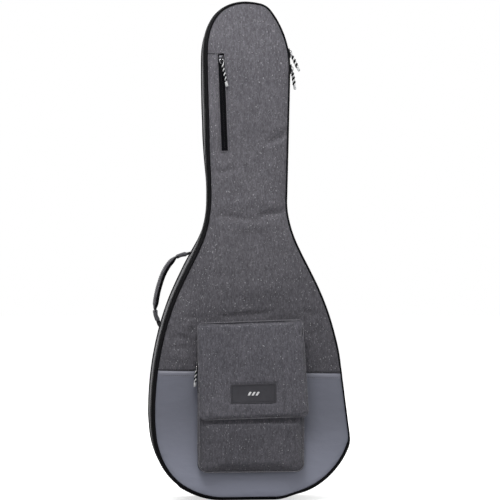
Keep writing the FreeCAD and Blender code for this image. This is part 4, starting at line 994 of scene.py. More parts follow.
# creases: x0, z0, x1, z1 (mm), width mm, depth mm (positive is a valley)
CREASES = [
    (84, 826, 26, 800, 6.5, 2.6), (80, 842, 40, 836, 9.0, -1.6), (60, 808, 10, 790, 9.0, -1.2),
    (-84, 640, 10, 634, 7.0, 2.3), (10, 634, 84, 658, 7.0, 2.9), (-60, 620, 60, 618, 13.0, -1.6),
    (-82, 668, 70, 676, 14.0, -1.3), (-88, 738, -30, 746, 7.0, 1.4), (-82, 754, -48, 752, 10.0, -1.0),
    (-90, 872, -58, 876, 6.0, 1.0), (-152, 417, -96, 409, 6.0, 2.4), (-168, 404, -126, 399, 3.4, 1.5), (-188, 351, -130, 344, 4.2, 1.3), (-96, 409, 60, 428, 6.5, 2.2),
    (-156, 398, -108, 402, 8.0, -1.7), (-186, 372, -132, 362, 7.0, 1.6), (-196, 330, -136, 322, 9.0, -1.3),
    (110, 424, 150, 418, 7.0, 1.5), (122, 372, 168, 384, 8.0, 1.3), (-30, 470, 80, 482, 16.0, -1.3),
    (-100, 512, -40, 500, 12.0, 1.0), (60, 560, 96, 548, 8.0, 1.1),
]


def crease_field(x, z, items):
    out = np.zeros_like(x)
    for x0, z0, x1, z1, w, a in items:
        d = np.array([x1 - x0, z1 - z0])
        ln = np.linalg.norm(d)
        d = d / ln
        t = (x - x0) * d[0] + (z - z0) * d[1]
        wig = 2.0 * np.sin(t / ln * 5.0 + x0)
        n = -(x - x0) * d[1] + (z - z0) * d[0] + wig
        k = np.clip(t / ln, -0.25, 1.25)
        taper = np.exp(-((k - 0.5) / 0.42) ** 4)
        out += a * np.exp(-(n / w) ** 2) * taper
    return out


def undulate(x, z, seed, amp, sx, sz):
    pts = np.stack([x.ravel() / sx, z.ravel() / sz, np.full(x.size, seed)], 1)
    return (snoise_arr(pts) * amp).reshape(x.shape)


SEAM_L, SEAM_R = 295.5, 286.5


def seam_z(x):
    return SEAM_L + (SEAM_R - SEAM_L) * (x + 210.0) / 410.0


SEAM_MID = float(seam_z(-5.0))


def shear(x, z):
    return (seam_z(x) - SEAM_MID) * math.exp(-((z - SEAM_MID) / 70.0) ** 2)


POCKET = dict(x0=-121.0, x1=115.0, z0=72.0, z1=389.0, rl=18.0, rt=14.0)
FLAP = [(-125.3, 401.6), (110.1, 409.4), (124.0, 192.4), (-121.0, 186.4)]
NZ_TOP, NZ_LOW = np.array([-69.4, 1003.3]), np.array([-60.8, 786.1])
NZ_DIR = (NZ_LOW - NZ_TOP) / np.linalg.norm(NZ_LOW - NZ_TOP)
NZ_SIDE = np.array([-NZ_DIR[1], NZ_DIR[0]])
NZ_LEN = float(np.linalg.norm(NZ_LOW - NZ_TOP))


def front_y(x, z, off=-1.2):
    """y of the lid's outer face (mm); smaller is further forward."""
    d = edge_distance(x, z, off)
    rise = 5.6 * (1 - np.exp(-d / 15.0))
    y = -74.6 - rise
    soft = 1 - np.exp(-d / 30.0)
    y -= soft * (undulate(x, z, 3.1, 2.0, 150.0, 120.0) + undulate(x, z, 8.7, 0.9, 55.0, 34.0) + undulate(x, z, 15.2, 0.35, 16.0, 11.0))
    # pull lines along the seam: short tucks square to the edge
    tuck = undulate(x, z, 21.0, 0.8, 18.0, 18.0) * np.exp(-((d - 9.0) / 9.0) ** 2)
    y -= tuck
    y += 2.2 * crease_field(x, z, CREASES) * np.clip(d / 10.0, 0, 1)
    # sewn down round the pocket
    px = np.clip(np.minimum(x - POCKET["x0"], POCKET["x1"] - x), -60, 60)
    pz = np.clip(np.minimum(z - POCKET["z0"], POCKET["z1"] + 14 - z), -60, 60)
    pd = np.minimum(px, pz)
    inside = bump01((pd + 14) / 22.0)
    y = y * (1 - inside) + (-78.2) * inside
    # kept flat just above the flap, where its root lies when it is lifted
    lim = -77.2 - 0.075 * np.clip(z - 403.0, 0, 60)
    root = bump01((np.minimum(x + 140.0, 124.0 - x)) / 12.0) * bump01((462.0 - z) / 20.0) * bump01((z - 376.0) / 8.0)
    y = y + root * (np.maximum(y, lim) - y)
    # welt of the neck pocket
    rx = x - NZ_TOP[0]
    rz = z - NZ_TOP[1]
    along = rx * NZ_DIR[0] + rz * NZ_DIR[1]
    across = rx * NZ_SIDE[0] + rz * NZ_SIDE[1]
    inz = bump01((along + 3) / 5) * bump01((NZ_LEN + 3 - along) / 5)
    flat = bump01((26 - np.abs(across)) / 14) * inz
    y = y * (1 - flat) + (-79.4) * flat
    lips = np.exp(-((np.abs(across) - 8.6) / 1.6) ** 2) * inz
    well = bump01((7.8 - np.abs(across)) / 1.2) * inz
    y = y - 0.9 * lips + 1.2 * well
    return y, d


def build_front():
    X, Z = panel_rows(-1.2, z_lo=SEAM_MID + 0.3, shear=shear)
    Y, d = front_y(X, Z)
    # the heather folds under along the seam, standing a little proud
    k = Z - seam_z(X)
    Y = Y + 1.1 * np.exp(-(k / 2.0) ** 2) - 0.7 * np.exp(-((k - 5.0) / 4.0) ** 2)
    up = grid_solid("lid_front_upper", X, Z, Y, -73.4, M["heather"], "front_lid")
    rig.replaces(up, "front_panel_fabric")
    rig.slot(up, "heather_fabric")
    X, Z = panel_rows(-1.2, z_hi=SEAM_MID - 0.3, step=4.0, shear=shear)
    Y, d = front_y(X, Z)
    k = seam_z(X) - Z
    Y = Y + 1.2 * np.exp(-(k / 2.0) ** 2) - 0.7 * np.exp(-((k - 6.0) / 3.5) ** 2) + 0.5 * np.exp(-((k - 11.0) / 1.2) ** 2)
    # sewn edge: small regular puckers on the coated cloth
    Y = Y - undulate(X, Z, 33.0, 0.9, 9.0, 30.0) * np.exp(-((k - 16.0) / 14.0) ** 2) * 0.6
    lo = grid_solid("lid_front_lower", X, Z, Y, -73.4, M["coated"], "front_lid")
    lo.data.materials.append(M["hem"])
    cen = np.zeros(len(lo.data.polygons) * 3)
    lo.data.polygons.foreach_get("center", cen)
    cen = cen.reshape(-1, 3) / MM
    kk = seam_z(cen[:, 0]) - cen[:, 2]
    lo.data.polygons.foreach_set("material_index", (kk < 11.0).astype(int))
    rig.replaces(lo, "front_lower_panel")
    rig.slot(lo, "coated_fabric")
    xs = np.linspace(-208, 203, 140)
    left, right, _ = chains(-3)
    z = seam_z(xs)
    keep = (xs > np.interp(z, *left)) & (xs < np.interp(z, *right))
    xs = xs[keep]
    z = seam_z(xs) - 10.2
    y, _ = front_y(xs, z)
    stitches("lid_hem_stitch", np.stack([xs, y - 0.3, z], 1), (0, -1, 0), "front_lid", 4.4, 3.0, 0.4)


def lid_inside():
    """Padding and lining of the lid: edge rounded over, face gently uneven."""
    off = -3.0
    X, Z = panel_rows(off, step=7.0)
    d = edge_distance(X, Z, off)
    soft = 1 - np.exp(-d / 26.0)
    Yf = -66.5 + 4.9 * (1 - np.exp(-d / 5.0)) + soft * (undulate(X, Z, 40.0, 0.6, 60.0, 60.0))
    Yf = np.minimum(Yf, -61.0)
    o = grid_solid("lid_padding", X, Z, Yf, -73.2, M["lining"], "front_lid")
    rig.replaces(o, "front_foam", "front_lining", "neck_pocket_liner")
    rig.slot(o, "lining")
    # binding over the raw edge
    s = np.linspace(0, PERIM, 640, endpoint=False)
    prof = [(-1.6, -61.6), (-2.4, -60.9), (-9.0, -61.0), (-10.2, -62.2), (-9.6, -64.5), (-3.0, -68.0), (-1.8, -66.0)]
    v, f = ring_loft(s, lambda i, t: prof, True)
    b = new_obj("lid_binding", v, f, M["tape_inner"])
    fix_normals(b)
    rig.ride(b, "front_lid")
    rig.slot(b, "zip_tape")
    p, n = at_s(np.linspace(0, PERIM, 900))
    q = p - n * 8.2
    stitches("lid_binding_stitch", np.stack([q[:, 0], np.full(len(q), -60.75), q[:, 1]], 1), (0, 1, 0), "front_lid", 5.4, 3.8, 0.4, mat=M["thread_dark"])
    # guard patch under the strings, with a stitched rim
    lp = lambda i: round_poly(inset_poly([(-85, 200), (80, 200), (80, 330), (-85, 330)], i), [16 - min(i, 12)] * 4, 3.0)
    rings = []
    for inset, y in ((0, -60.6), (0, -59.9), (0.8, -59.4), (4, -59.5), (6, -59.9), (8, -59.6), (40, -59.35)):
        L = resample(np.vstack([lp(inset), lp(inset)[:1]]), n=161)[:-1]
        rings.append(np.stack([L[:, 0], np.full(160, y), L[:, 1]], 1) * MM)
    v, f = tube_grid(rings, False)
    g = new_obj("lid_guard_patch", v, f, M["guard"])
    fix_normals(g)
    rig.ride(g, "front_lid")
    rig.replaces(g, "bridge_guard_patch")
    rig.slot(g, "guard")
    L = np.vstack([lp(6), lp(6)[:1]])
    stitches("guard_stitch", np.stack([L[:, 0], np.full(len(L), -59.6), L[:, 1]], 1), (0, 1, 0), "front_lid", 4.6, 3.2, 0.4, mat=M["thread"])


# ================================================================ edge: piping, tapes, coil
def ring_s(n_total):
    return np.linspace(0, PERIM, n_total, endpoint=False)


def zip_s(n_total, trim=0.0):
    return np.linspace(S_ZIP0 + trim, S_ZIP1 - trim, n_total)


def build_edges():
    # front piping, a covered cord with a sewn flange
    s = ring_s(720)
    wob = np.array([snoise(t / 30.0, 4.0) for t in s]) * 0.25

    def pf(i, t):
        a = np.linspace(0, 2 * math.pi, 10, endpoint=False)
        r = 1.75
        return np.stack([0.2 + wob[i] + r * np.cos(a), -76.6 + r * np.sin(a)], 1)
    v, f = ring_loft(s, pf, True)
    o = new_obj("lid_piping", v, f, M["piping"])
    fix_normals(o)
    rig.ride(o, "front_lid")
    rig.replaces(o, "front_piping")
    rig.slot(o, "piping")

    fl_b = floor_part(at_s(s)[0][:, 1])

    def pb(i, t):
        a = np.linspace(0, 2 * math.pi, 10, endpoint=False)
        r = 1.9
        return np.stack([5.6 - 3.3 * (1 - fl_b[i]) + wob[i] + r * np.cos(a), 76.6 + r * np.sin(a)], 1)
    v, f = ring_loft(s, pb, True)
    o = new_obj("shell_piping", v, f, M["piping"])
    fix_normals(o)
    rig.ride(o, "rear_shell")
    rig.replaces(o, "back_piping")
    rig.slot(o, "piping")

    # zip tapes: sloping from the lid's piping out to the gusset
    s = zip_s(700)
    b = bulge(s)
    w1 = np.array([snoise(t / 24.0, 9.0) for t in s])
    w2 = np.array([snoise(t / 17.0, 19.0) for t in s])

    def tf(i, t):
        k = b[i]
        top = [(-1.2, -75.4), (0.9 + 0.30 * k + 0.3 * w1[i], -72.5), (2.0 + 0.62 * k + 0.5 * w1[i], -68.0), (2.7 + 0.85 * k, -64.4), (2.9 + 0.9 * k, -62.9)]
        return top + [(q[0] - 0.9, q[1]) for q in top[::-1]]
    v, f = ring_loft(s, tf, False)
    o = new_obj("lid_zip_tape", v, f, M["tape"])
    fix_normals(o)
    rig.ride(o, "front_lid")
    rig.replaces(o, "front_zip_tape")
    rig.slot(o, "zip_tape")

    def tr(i, t):
        k = b[i]
        top = [(2.9 + 0.95 * k, -57.1), (3.2 + k, -55.4), (3.9 + 1.05 * k + 0.4 * w2[i], -51.0), (4.4 + 1.05 * k + 0.5 * w2[i], -46.5), (3.4 + k, -43.0)]
        return top + [(q[0] - 0.9, q[1]) for q in top[::-1]]
    v, f = ring_loft(s, tr, False)
    o = new_obj("shell_zip_tape", v, f, M["tape"])
    fix_normals(o)
    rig.ride(o, "rear_shell")
    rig.replaces(o, "rear_zip_tape")
    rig.slot(o, "zip_tape")

    # coil: one bent filament per tooth, the two rows meshed
    pitch = 2.3
    n = int((S_ZIP1 - S_ZIP0 - 8) / pitch)
    ss = S_ZIP0 + 4 + pitch * np.arange(n)
    for name, body, node, y0, y1, shift in (("lid_zip_coil", "front_lid", "front_zip_coil", -62.7, -59.0, 0.0),
                                            ("shell_zip_coil", "rear_shell", "rear_zip_coil", -57.3, -61.0, pitch / 2)):
        st = ss + shift
        p, nn = at_s(st)
        bb = bulge(st)
        parts = []
        tan = np.stack([nn[:, 1], -nn[:, 0]], 1)
        prof = circle(0.62, 5)
        for i in range(len(st)):
            base = 2.35 + 0.9 * bb[i]
            pts = []
            for oo, yy, tt in ((0.9, y0, -0.35), (1.55, (y0 + y1) / 2, -0.1), (1.25, y1, 0.0), (-0.1, y1, 0.0), (-0.45, (y0 + y1) / 2, 0.1), (0.1, y0, 0.35)):
                x = p[i, 0] + nn[i, 0] * (base + oo) + tan[i, 0] * tt
                z = p[i, 1] + nn[i, 1] * (base + oo) + tan[i, 1] * tt
                pts.append((x * MM, yy * MM, z * MM))
            up = np.array([tan[i, 0], 0.0, tan[i, 1]])
            parts.append(sweep(pts, up, prof * MM))
        v, f = join_parts(parts)
        o = new_obj(name, v, f, M["coil"])
        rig.ride(o, body)
        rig.replaces(o, node)
        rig.slot(o, "zip_coil")


def draw_in(y, floor=0.0):
    """The wall leans in towards the back seam, except where the bag stands on its base."""
    return 3.3 * np.clip((np.asarray(y, float) + 45.8) / 121.4, 0, 1) * (1 - floor)


def floor_part(z):
    return np.clip((12.0 - z) / 6.0, 0, 1)


def build_gusset():
    s = ring_s(800)
    b = bulge(s)
    # folds across the wall, strongest where the outline turns
    w1 = np.array([[snoise(t / 26.0, y / 60.0, 2.0) for y in np.linspace(-46, 76, 26)] for t in s])
    w2 = np.array([[snoise(t / 9.0, y / 40.0, 6.0) for y in np.linspace(-46, 76, 26)] for t in s])
    ys = np.linspace(-45.8, 75.6, 26)
    u = (ys + 45.8) / 121.4
    crown = 1.1 * np.sin(math.pi * u) ** 0.7
    p, _ = at_s(s)
    floor = floor_part(p[:, 1])

    def pg(i, t):
        amp = np.sin(math.pi * u) ** 0.5
        out = 4.6 + 0.95 * b[i] * (1 - u) ** 1.3 + crown + amp * (1.2 * w1[i] + 0.45 * w2[i])
        out = out * (1 - floor[i]) + 4.6 * floor[i] - draw_in(ys, floor[i])
        outer = [(o_, y_) for o_, y_ in zip(out, ys)]
        inner = [(3.4 - float(draw_in(y_, floor[i])), y_) for y_ in (75.6, 40.0, 0.0, -45.8)]
        return outer + inner
    v, f = ring_loft(s, pg, True)
    o = new_obj("shell_gusset", v, f, M["side"])
    fix_normals(o)
    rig.ride(o, "rear_shell")
    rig.replaces(o, "gusset_fabric")
    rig.slot(o, "side_fabric")
    # top-stitch beside both seams
    for nm, yy in (("shell_gusset_stitch_front", -41.0), ("shell_gusset_stitch_back", 71.0)):
        t = np.linspace(0, PERIM, 1500)
        p, n = at_s(t)
        uu = (yy + 45.8) / 121.4
        fl = floor_part(p[:, 1])
        up_ = 0.95 * bulge(t) * (1 - uu) ** 1.3 + 1.1 * math.sin(math.pi * uu) ** 0.7
        k = 4.75 + up_ * (1 - fl) - 3.3 * uu * (1 - fl)
        q = p + n * k[:, None]
        stitches(nm, np.stack([q[:, 0], np.full(len(q), yy), q[:, 1]], 1), np.stack([n[:, 0], 0 * n[:, 0], n[:, 1]], 1), "rear_shell", 5.0, 3.5, 0.42)

    # padded lining of the wall, with a bound front edge
    s = ring_s(620)
    yy = np.linspace(-37.0, 61.0, 12)
    wq = np.array([[snoise(t / 60.0, y / 50.0, 12.0) for y in yy] for t in s])
    fl = floor_part(at_s(s)[0][:, 1])

    def pl(i, t):
        inner = [(-10.3 + 0.9 * wq[i][k] - 0.5 * math.sin(math.pi * k / 11), yy[k]) for k in range(12)]
        d1, d0 = float(draw_in(61.2, fl[i])), float(draw_in(0.0, fl[i]))
        return [(2.8 - d1, 61.2), (2.8 - d0, 0.0), (2.8, -39.0), (1.8, -41.0), (-6.8, -41.2), (-9.2, -40.0)] + inner
    v, f = ring_loft(s, pl, True)
    o = new_obj("shell_wall_padding", v, f, M["lining"])
    fix_normals(o)
    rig.ride(o, "rear_shell")
    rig.replaces(o, "gusset_foam", "gusset_lining")
    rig.slot(o, "lining")
    prof = [(3.3, -45.6), (3.2, -42.6), (-1.0, -42.6), (-8.0, -42.4), (-9.9, -41.4), (-10.6, -38.6), (-11.2, -30.4), (-12.0, -30.4), (-11.6, -39.2), (-10.4, -43.0), (-7.6, -44.4), (-1.0, -45.0)]
    v, f = ring_loft(s, lambda i, t: prof, True)
    o = new_obj("shell_binding", v, f, M["tape_inner"])
    fix_normals(o)
    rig.ride(o, "rear_shell")
    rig.slot(o, "zip_tape")
    t = np.linspace(0, PERIM, 900)
    p, n = at_s(t)
    q = p - n * 8.4
    stitches("shell_binding_stitch", np.stack([q[:, 0], np.full(len(q), -44.2), q[:, 1]], 1), (0, -1, 0), "rear_shell", 5.4, 3.8, 0.4, mat=M["thread"])


def build_back():
    X, Z = panel_rows(1.9)
    d = edge_distance(X, Z, 1.9)
    soft = 1 - np.exp(-d / 30.0)
    rise = 3.4 * (1 - np.exp(-d / 13.0))
    Y = 75.4 + rise + soft * (undulate(X, Z, 60.0, 0.7, 140, 120) + undulate(X, Z, 61.0, 0.35, 40, 30))
    # straps, yoke and handle are sewn down here
    Y = np.minimum(Y, 79.2)
    for x0, x1, z0, z1 in ((-80, 66, 585, 680), (-22, 10, 728, 884), (-22, 10, 1040, 1095), (-162, -130, 105, 152), (130, 162, 105, 152)):
        inside = bump01((np.minimum(np.minimum(X - x0, x1 - X), np.minimum(Z - z0, z1 - Z)) + 12) / 14.0)
        Y = Y * (1 - inside) + 78.1 * inside
    o = grid_solid("shell_back", X, Z, Y, 74.0, M["heather_back"], "rear_shell")
    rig.replaces(o, "back_panel_fabric")
    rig.slot(o, "side_fabric")
    # quilted lining on the inside of the back
    X, Z = panel_rows(-10.8, step=6.0)
    d = edge_distance(X, Z, -10.8)
    a = (X + Z) / 62.0 * math.pi
    bq = (X - Z) / 62.0 * math.pi
    quilt = np.minimum(np.abs(np.sin(a)), np.abs(np.sin(bq)))
    Y = 61.9 - 1.7 * np.sqrt(np.clip(quilt, 0, 1)) * (1 - np.exp(-d / 10.0))
    o = grid_solid("shell_back_lining", X, Z, Y, 73.8, M["lining"], "rear_shell")
    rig.replaces(o, "back_panel_foam", "back_panel_lining")
    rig.slot(o, "lining")


def build_spine():
    """Cloth that folds where the lid turns; it joins the wall to the lid."""
    s = np.linspace(S_SPINE0 - 1.0, S_SPINE1 + 1.0, 60)
    prof = [(4.4, -44.5), (4.9, -48.0), (5.0, -52.0), (4.7, -56.0), (4.5, -60.0), (4.0, -64.0), (3.0, -68.0), (1.7, -72.0), (0.2, -75.0)]
    w = np.array([[snoise(t / 14.0, y / 20.0, 31.0) for _, y in prof] for t in s])

    def ps(i, t):
        edge = [(prof[k][0] + 0.5 * w[i][k], prof[k][1]) for k in range(len(prof))]
        return edge + [(q[0] - 1.3, q[1]) for q in edge[::-1]]
    v, f = ring_loft(s, ps, False)
    o = new_obj("spine_cloth", v, f, M["piping"])
    fix_normals(o)
    o = subdivide(o, 1)
    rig.replaces(o, "spine_strip")
    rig.slot(o, "side_fabric")
    p, n = at_s([(S_SPINE0 + S_SPINE1) / 2])
    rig.blend(o, "rear_shell", "front_lid", start=((p[0, 0] + 5) * MM, -0.049, p[0, 1] * MM), end=((p[0, 0] + 5) * MM, -0.072, p[0, 1] * MM))


# ================================================================ surface lookups
from mathutils.bvhtree import BVHTree


def bvh(o):
    co = [v.co.copy() for v in o.data.vertices]
    return BVHTree.FromPolygons(co, [tuple(p.vertices) for p in o.data.polygons])


def drop(tree, pts, direction, far=0.25, default=None):
    """Moves points (mm) along direction from far outside until they meet the surface. Returns points and normals."""
    d = Vector(direction).normalized()
    out, nrm = [], []
    for p in pts:
        o = Vector(np.asarray(p, float) * MM) - d * far
        loc, n, _, _ = tree.ray_cast(o, d)
        if loc is None:
            out.append(np.asarray(p, float) if default is None else default)
            nrm.append(-np.array(d))
        else:
            out.append(np.array(loc) / MM)
            n = np.array(n)
            nrm.append(n if n @ np.array(d) < 0 else -n)
    return np.array(out), np.array(nrm)


def tube_on(name, path_mm, r, mat, body, up=(0, 1, 0), closed=False, m=8, slot=None):
    v, f = sweep(np.asarray(path_mm, float) * MM, up, circle(r * MM, m), closed_path=closed)
    o = new_obj(name, v, f, mat)
    fix_normals(o)
    if body:
        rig.ride(o, body)
    if slot:
        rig.slot(o, slot)
    return o


def closed_sweep_frames(path, up):
    """Frames for a closed planar path."""
    t = np.roll(path, -1, 0) - np.roll(path, 1, 0)
    t /= np.linalg.norm(t, axis=1)[:, None]
    side = np.cross(t, np.tile(up, (len(path), 1)))
    side /= np.linalg.norm(side, axis=1)[:, None]
    return t, side, np.cross(side, t)


def closed_tube(name, path_mm, prof_mm, mat, body, up=(0, 1, 0), slot=None):
    path = np.asarray(path_mm, float)
    t, side, upv = closed_sweep_frames(path, np.asarray(up, float))
    rings = [(path[i] + side[i] * prof_mm[:, :1] + upv[i] * prof_mm[:, 1:]) * MM for i in range(len(path))]
    v, f = tube_grid(rings, True)
    o = new_obj(name, v, f, mat)
    fix_normals(o)
    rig.ride(o, body)
    if slot:
        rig.slot(o, slot)
    return o


# ================================================================ pocket and flap
def pocket_poly(inset, step=3.0):
    c = inset_poly([(-121, 68.5), (115, 68.5), (115, 389), (-121, 389)], inset)
    r = [max(18 - inset, 2), max(18 - inset, 2), max(14 - inset, 2), max(14 - inset, 2)]
    return round_poly(c, r, step)


def flap_poly(inset, step=3.0):
    c = inset_poly(FLAP, inset)
    r = [max(11 - inset, 2), max(11 - inset, 2), max(15 - inset, 2), max(15 - inset, 2)]
    return round_poly(c, r, step)


def loop_solid(levels, poly):
    n = len(poly(0))
    rings = []
    for inset, y in levels:
        lp = poly(inset)
        lp = resample(np.vstack([lp, lp[:1]]), n=n + 1)[:-1]
        rings.append(np.stack([lp[:, 0], np.full(n, y), lp[:, 1]], 1) * MM)
    return tube_grid(rings, False)


def fit_outline(co, poly, keep, top=None):
    """Stretch a puffed part in x and z so its outline is the sewn one again; above `top` z is left alone."""
    lp = poly(0.0)
    out = co.copy()
    for a, b in ((0, 0), (2, 1)):
        lo, hi = co[keep, a].min(), co[keep, a].max()
        if a == 2 and top is not None:
            out[:, a] = np.where(co[:, a] < top, top - (top - co[:, a]) * (top - lp[:, b].min()) / (top - lo), co[:, a])
            continue
        out[:, a] = lp[:, b].min() + (co[:, a] - lo) * (lp[:, b].max() - lp[:, b].min()) / (hi - lo)
    return out


def build_pocket():
    lv = [(3, -78.8), (1.2, -79.2), (0.3, -81), (-0.6, -88), (-0.8, -94), (-0.3, -100), (0.4, -102.8), (1.8, -104.9), (4.0, -105.9), (8.0, -106.3)]
    v, f = loop_solid(lv, pocket_poly)
    o = new_obj("pocket_body", v, f, M["heather_pocket"])
    fix_normals(o)
    remesh(o, 4.5, 2)
    co = get_co(o)
    pin = np.clip((co[:, 1] / MM + 86.0) / 4.0, 0, 1)
    puff(o, 2.2, 4.0, pin=pin, frames=16, seed=3)
    subdivide(o, 1)
    co = get_co(o) / MM
    co = fit_outline(co, pocket_poly, co[:, 1] < -96)
    x, y, z = co[:, 0], co[:, 1], co[:, 2]
    front = bump01((-y - 100) / 5.0)
    ex = np.minimum(np.minimum(x + 121, 115 - x), np.minimum(z - 72, 389 - z))
    low = bump01((192 - z) / 30.0)
    lump = undulate(x, z, 71.0, 1.0, 60.0, 45.0) + undulate(x, z, 72.0, 0.45, 20.0, 16.0)
    y = y - front * np.clip(ex / 25.0, 0, 1) * (lump * (0.35 + 0.65 * low) + 1.4 * low)
    # held flat by the flap above, sewn seam 5 mm in from the edge
    y = np.where(z > 176, np.maximum(y, -107.6), np.maximum(y, -112.5))
    y = y + front * 0.8 * np.exp(-((ex - 5.5) / 1.8) ** 2)
    set_co(o, np.stack([x, y, z], 1) * MM)
    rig.ride(o, "front_lid")
    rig.replaces(o, "pocket_gusset", "pocket_face")
    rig.slot(o, "heather_fabric")
    tree = bvh(o)
    # seam cord round the front edge and stitching inside it
    lp = pocket_poly(0.9, 2.5)
    path = np.stack([lp[:, 0], np.full(len(lp), -104.2), lp[:, 1]], 1)
    closed_tube("pocket_edge", path, circle(1.15, 8), M["heather_edge"], "front_lid", slot="heather_fabric")
    lp = pocket_poly(0.2, 2.5)
    path = np.stack([lp[:, 0], np.full(len(lp), -79.6), lp[:, 1]], 1)
    closed_tube("pocket_foot_seam", path, circle(1.0, 6), M["piping"], "front_lid", slot="piping")
    lp = pocket_poly(5.5, 2.0)
    pts, nr = drop(tree, np.stack([lp[:, 0], np.full(len(lp), -106.0), lp[:, 1]], 1), (0, 1, 0))
    stitches("pocket_stitch", np.vstack([pts, pts[:1]]), (0, -1, 0), "front_lid", 4.6, 3.2, 0.40)

    # zip round the upper half of the pocket's wall
    lp = pocket_poly(0.0, 2.0)
    k0 = int(np.argmin((lp[:, 0] + 121) ** 2 + (lp[:, 1] - 247) ** 2))
    k1 = int(np.argmin((lp[:, 0] - 115) ** 2 + (lp[:, 1] - 247) ** 2))
    n = len(lp)
    seq = [lp[(k1 + i) % n] for i in range((k0 - k1) % n + 1)]
    path = np.array(seq)
    t = np.gradient(path, axis=0)
    t /= np.linalg.norm(t, axis=1)[:, None]
    out = np.stack([t[:, 1], -t[:, 0]], 1)
    if (out[3] @ np.array([1.0, 0])) < 0:
        out = -out
    rings, rings2 = [], []
    for p, q in zip(path, out):
        rr = [(0.2, -90.0), (1.5, -91.2), (1.7, -94.0), (1.4, -96.0), (1.7, -98.0), (1.5, -100.8), (0.2, -102.0)]
        rings.append([(p[0] + q[0] * a, b, p[1] + q[1] * a) for a, b in rr])
    v, f = tube_grid(np.array(rings) * MM, False)
    o = new_obj("pocket_zip_cloth", v, f, M["tape"])
    fix_normals(o)
    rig.ride(o, "front_lid")
    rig.replaces(o, "pocket_zip_tape")
    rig.slot(o, "zip_tape")
    fine = resample(path, step=1.9)
    t = np.gradient(fine, axis=0)
    t /= np.linalg.norm(t, axis=1)[:, None]
    out = np.stack([t[:, 1], -t[:, 0]], 1)
    if (out[3] @ np.array([1.0, 0])) < 0:
        out = -out
    parts = []
    for i in range(3, len(fine) - 3):
        p, q = fine[i], out[i]
        sgn = 1 if i % 2 else -1
        a = (p[0] + q[0] * 2.0, -96.0 - 1.9 * sgn, p[1] + q[1] * 2.0)
        b = (p[0] + q[0] * 2.3, -96.0 + 0.7 * sgn, p[1] + q[1] * 2.3)
        parts.append(capsule(np.array(a) * MM, np.array(b) * MM, 0.55 * MM, 5))
    v, f = join_parts(parts)
    o = new_obj("pocket_zip_teeth", v, f, M["coil"])
    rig.ride(o, "front_lid")
    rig.replaces(o, "pocket_zip_coil")
    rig.slot(o, "zip_coil")
    # loop tape under the flap, with a fuzzy pile
    strip_pad("pocket_loop_tape", -43, 37, 205.5, 229.5, -107.0, -107.95, "front_lid", "pocket_loop_strip")


def strip_pad(name, x0, x1, z0, z1, y_back, y_front, body, node, sign=-1):
    nx, nz = 56, 18
    X, Z = np.meshgrid(np.linspace(x0, x1, nx), np.linspace(z0, z1, nz))
    e = np.minimum(np.minimum(X - x0, x1 - X), np.minimum(Z - z0, z1 - Z))
    pile = rng.uniform(-0.12, 0.12, X.shape)
    Y = y_back + (y_front - y_back) * np.clip(e / 1.2, 0.25, 1.0) + pile * (e > 0.5)
    o = grid_solid(name, X, Z, Y, y_back, M["hook_tape"], body)
    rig.replaces(o, node)
    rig.slot(o, "hook_loop")
    return o


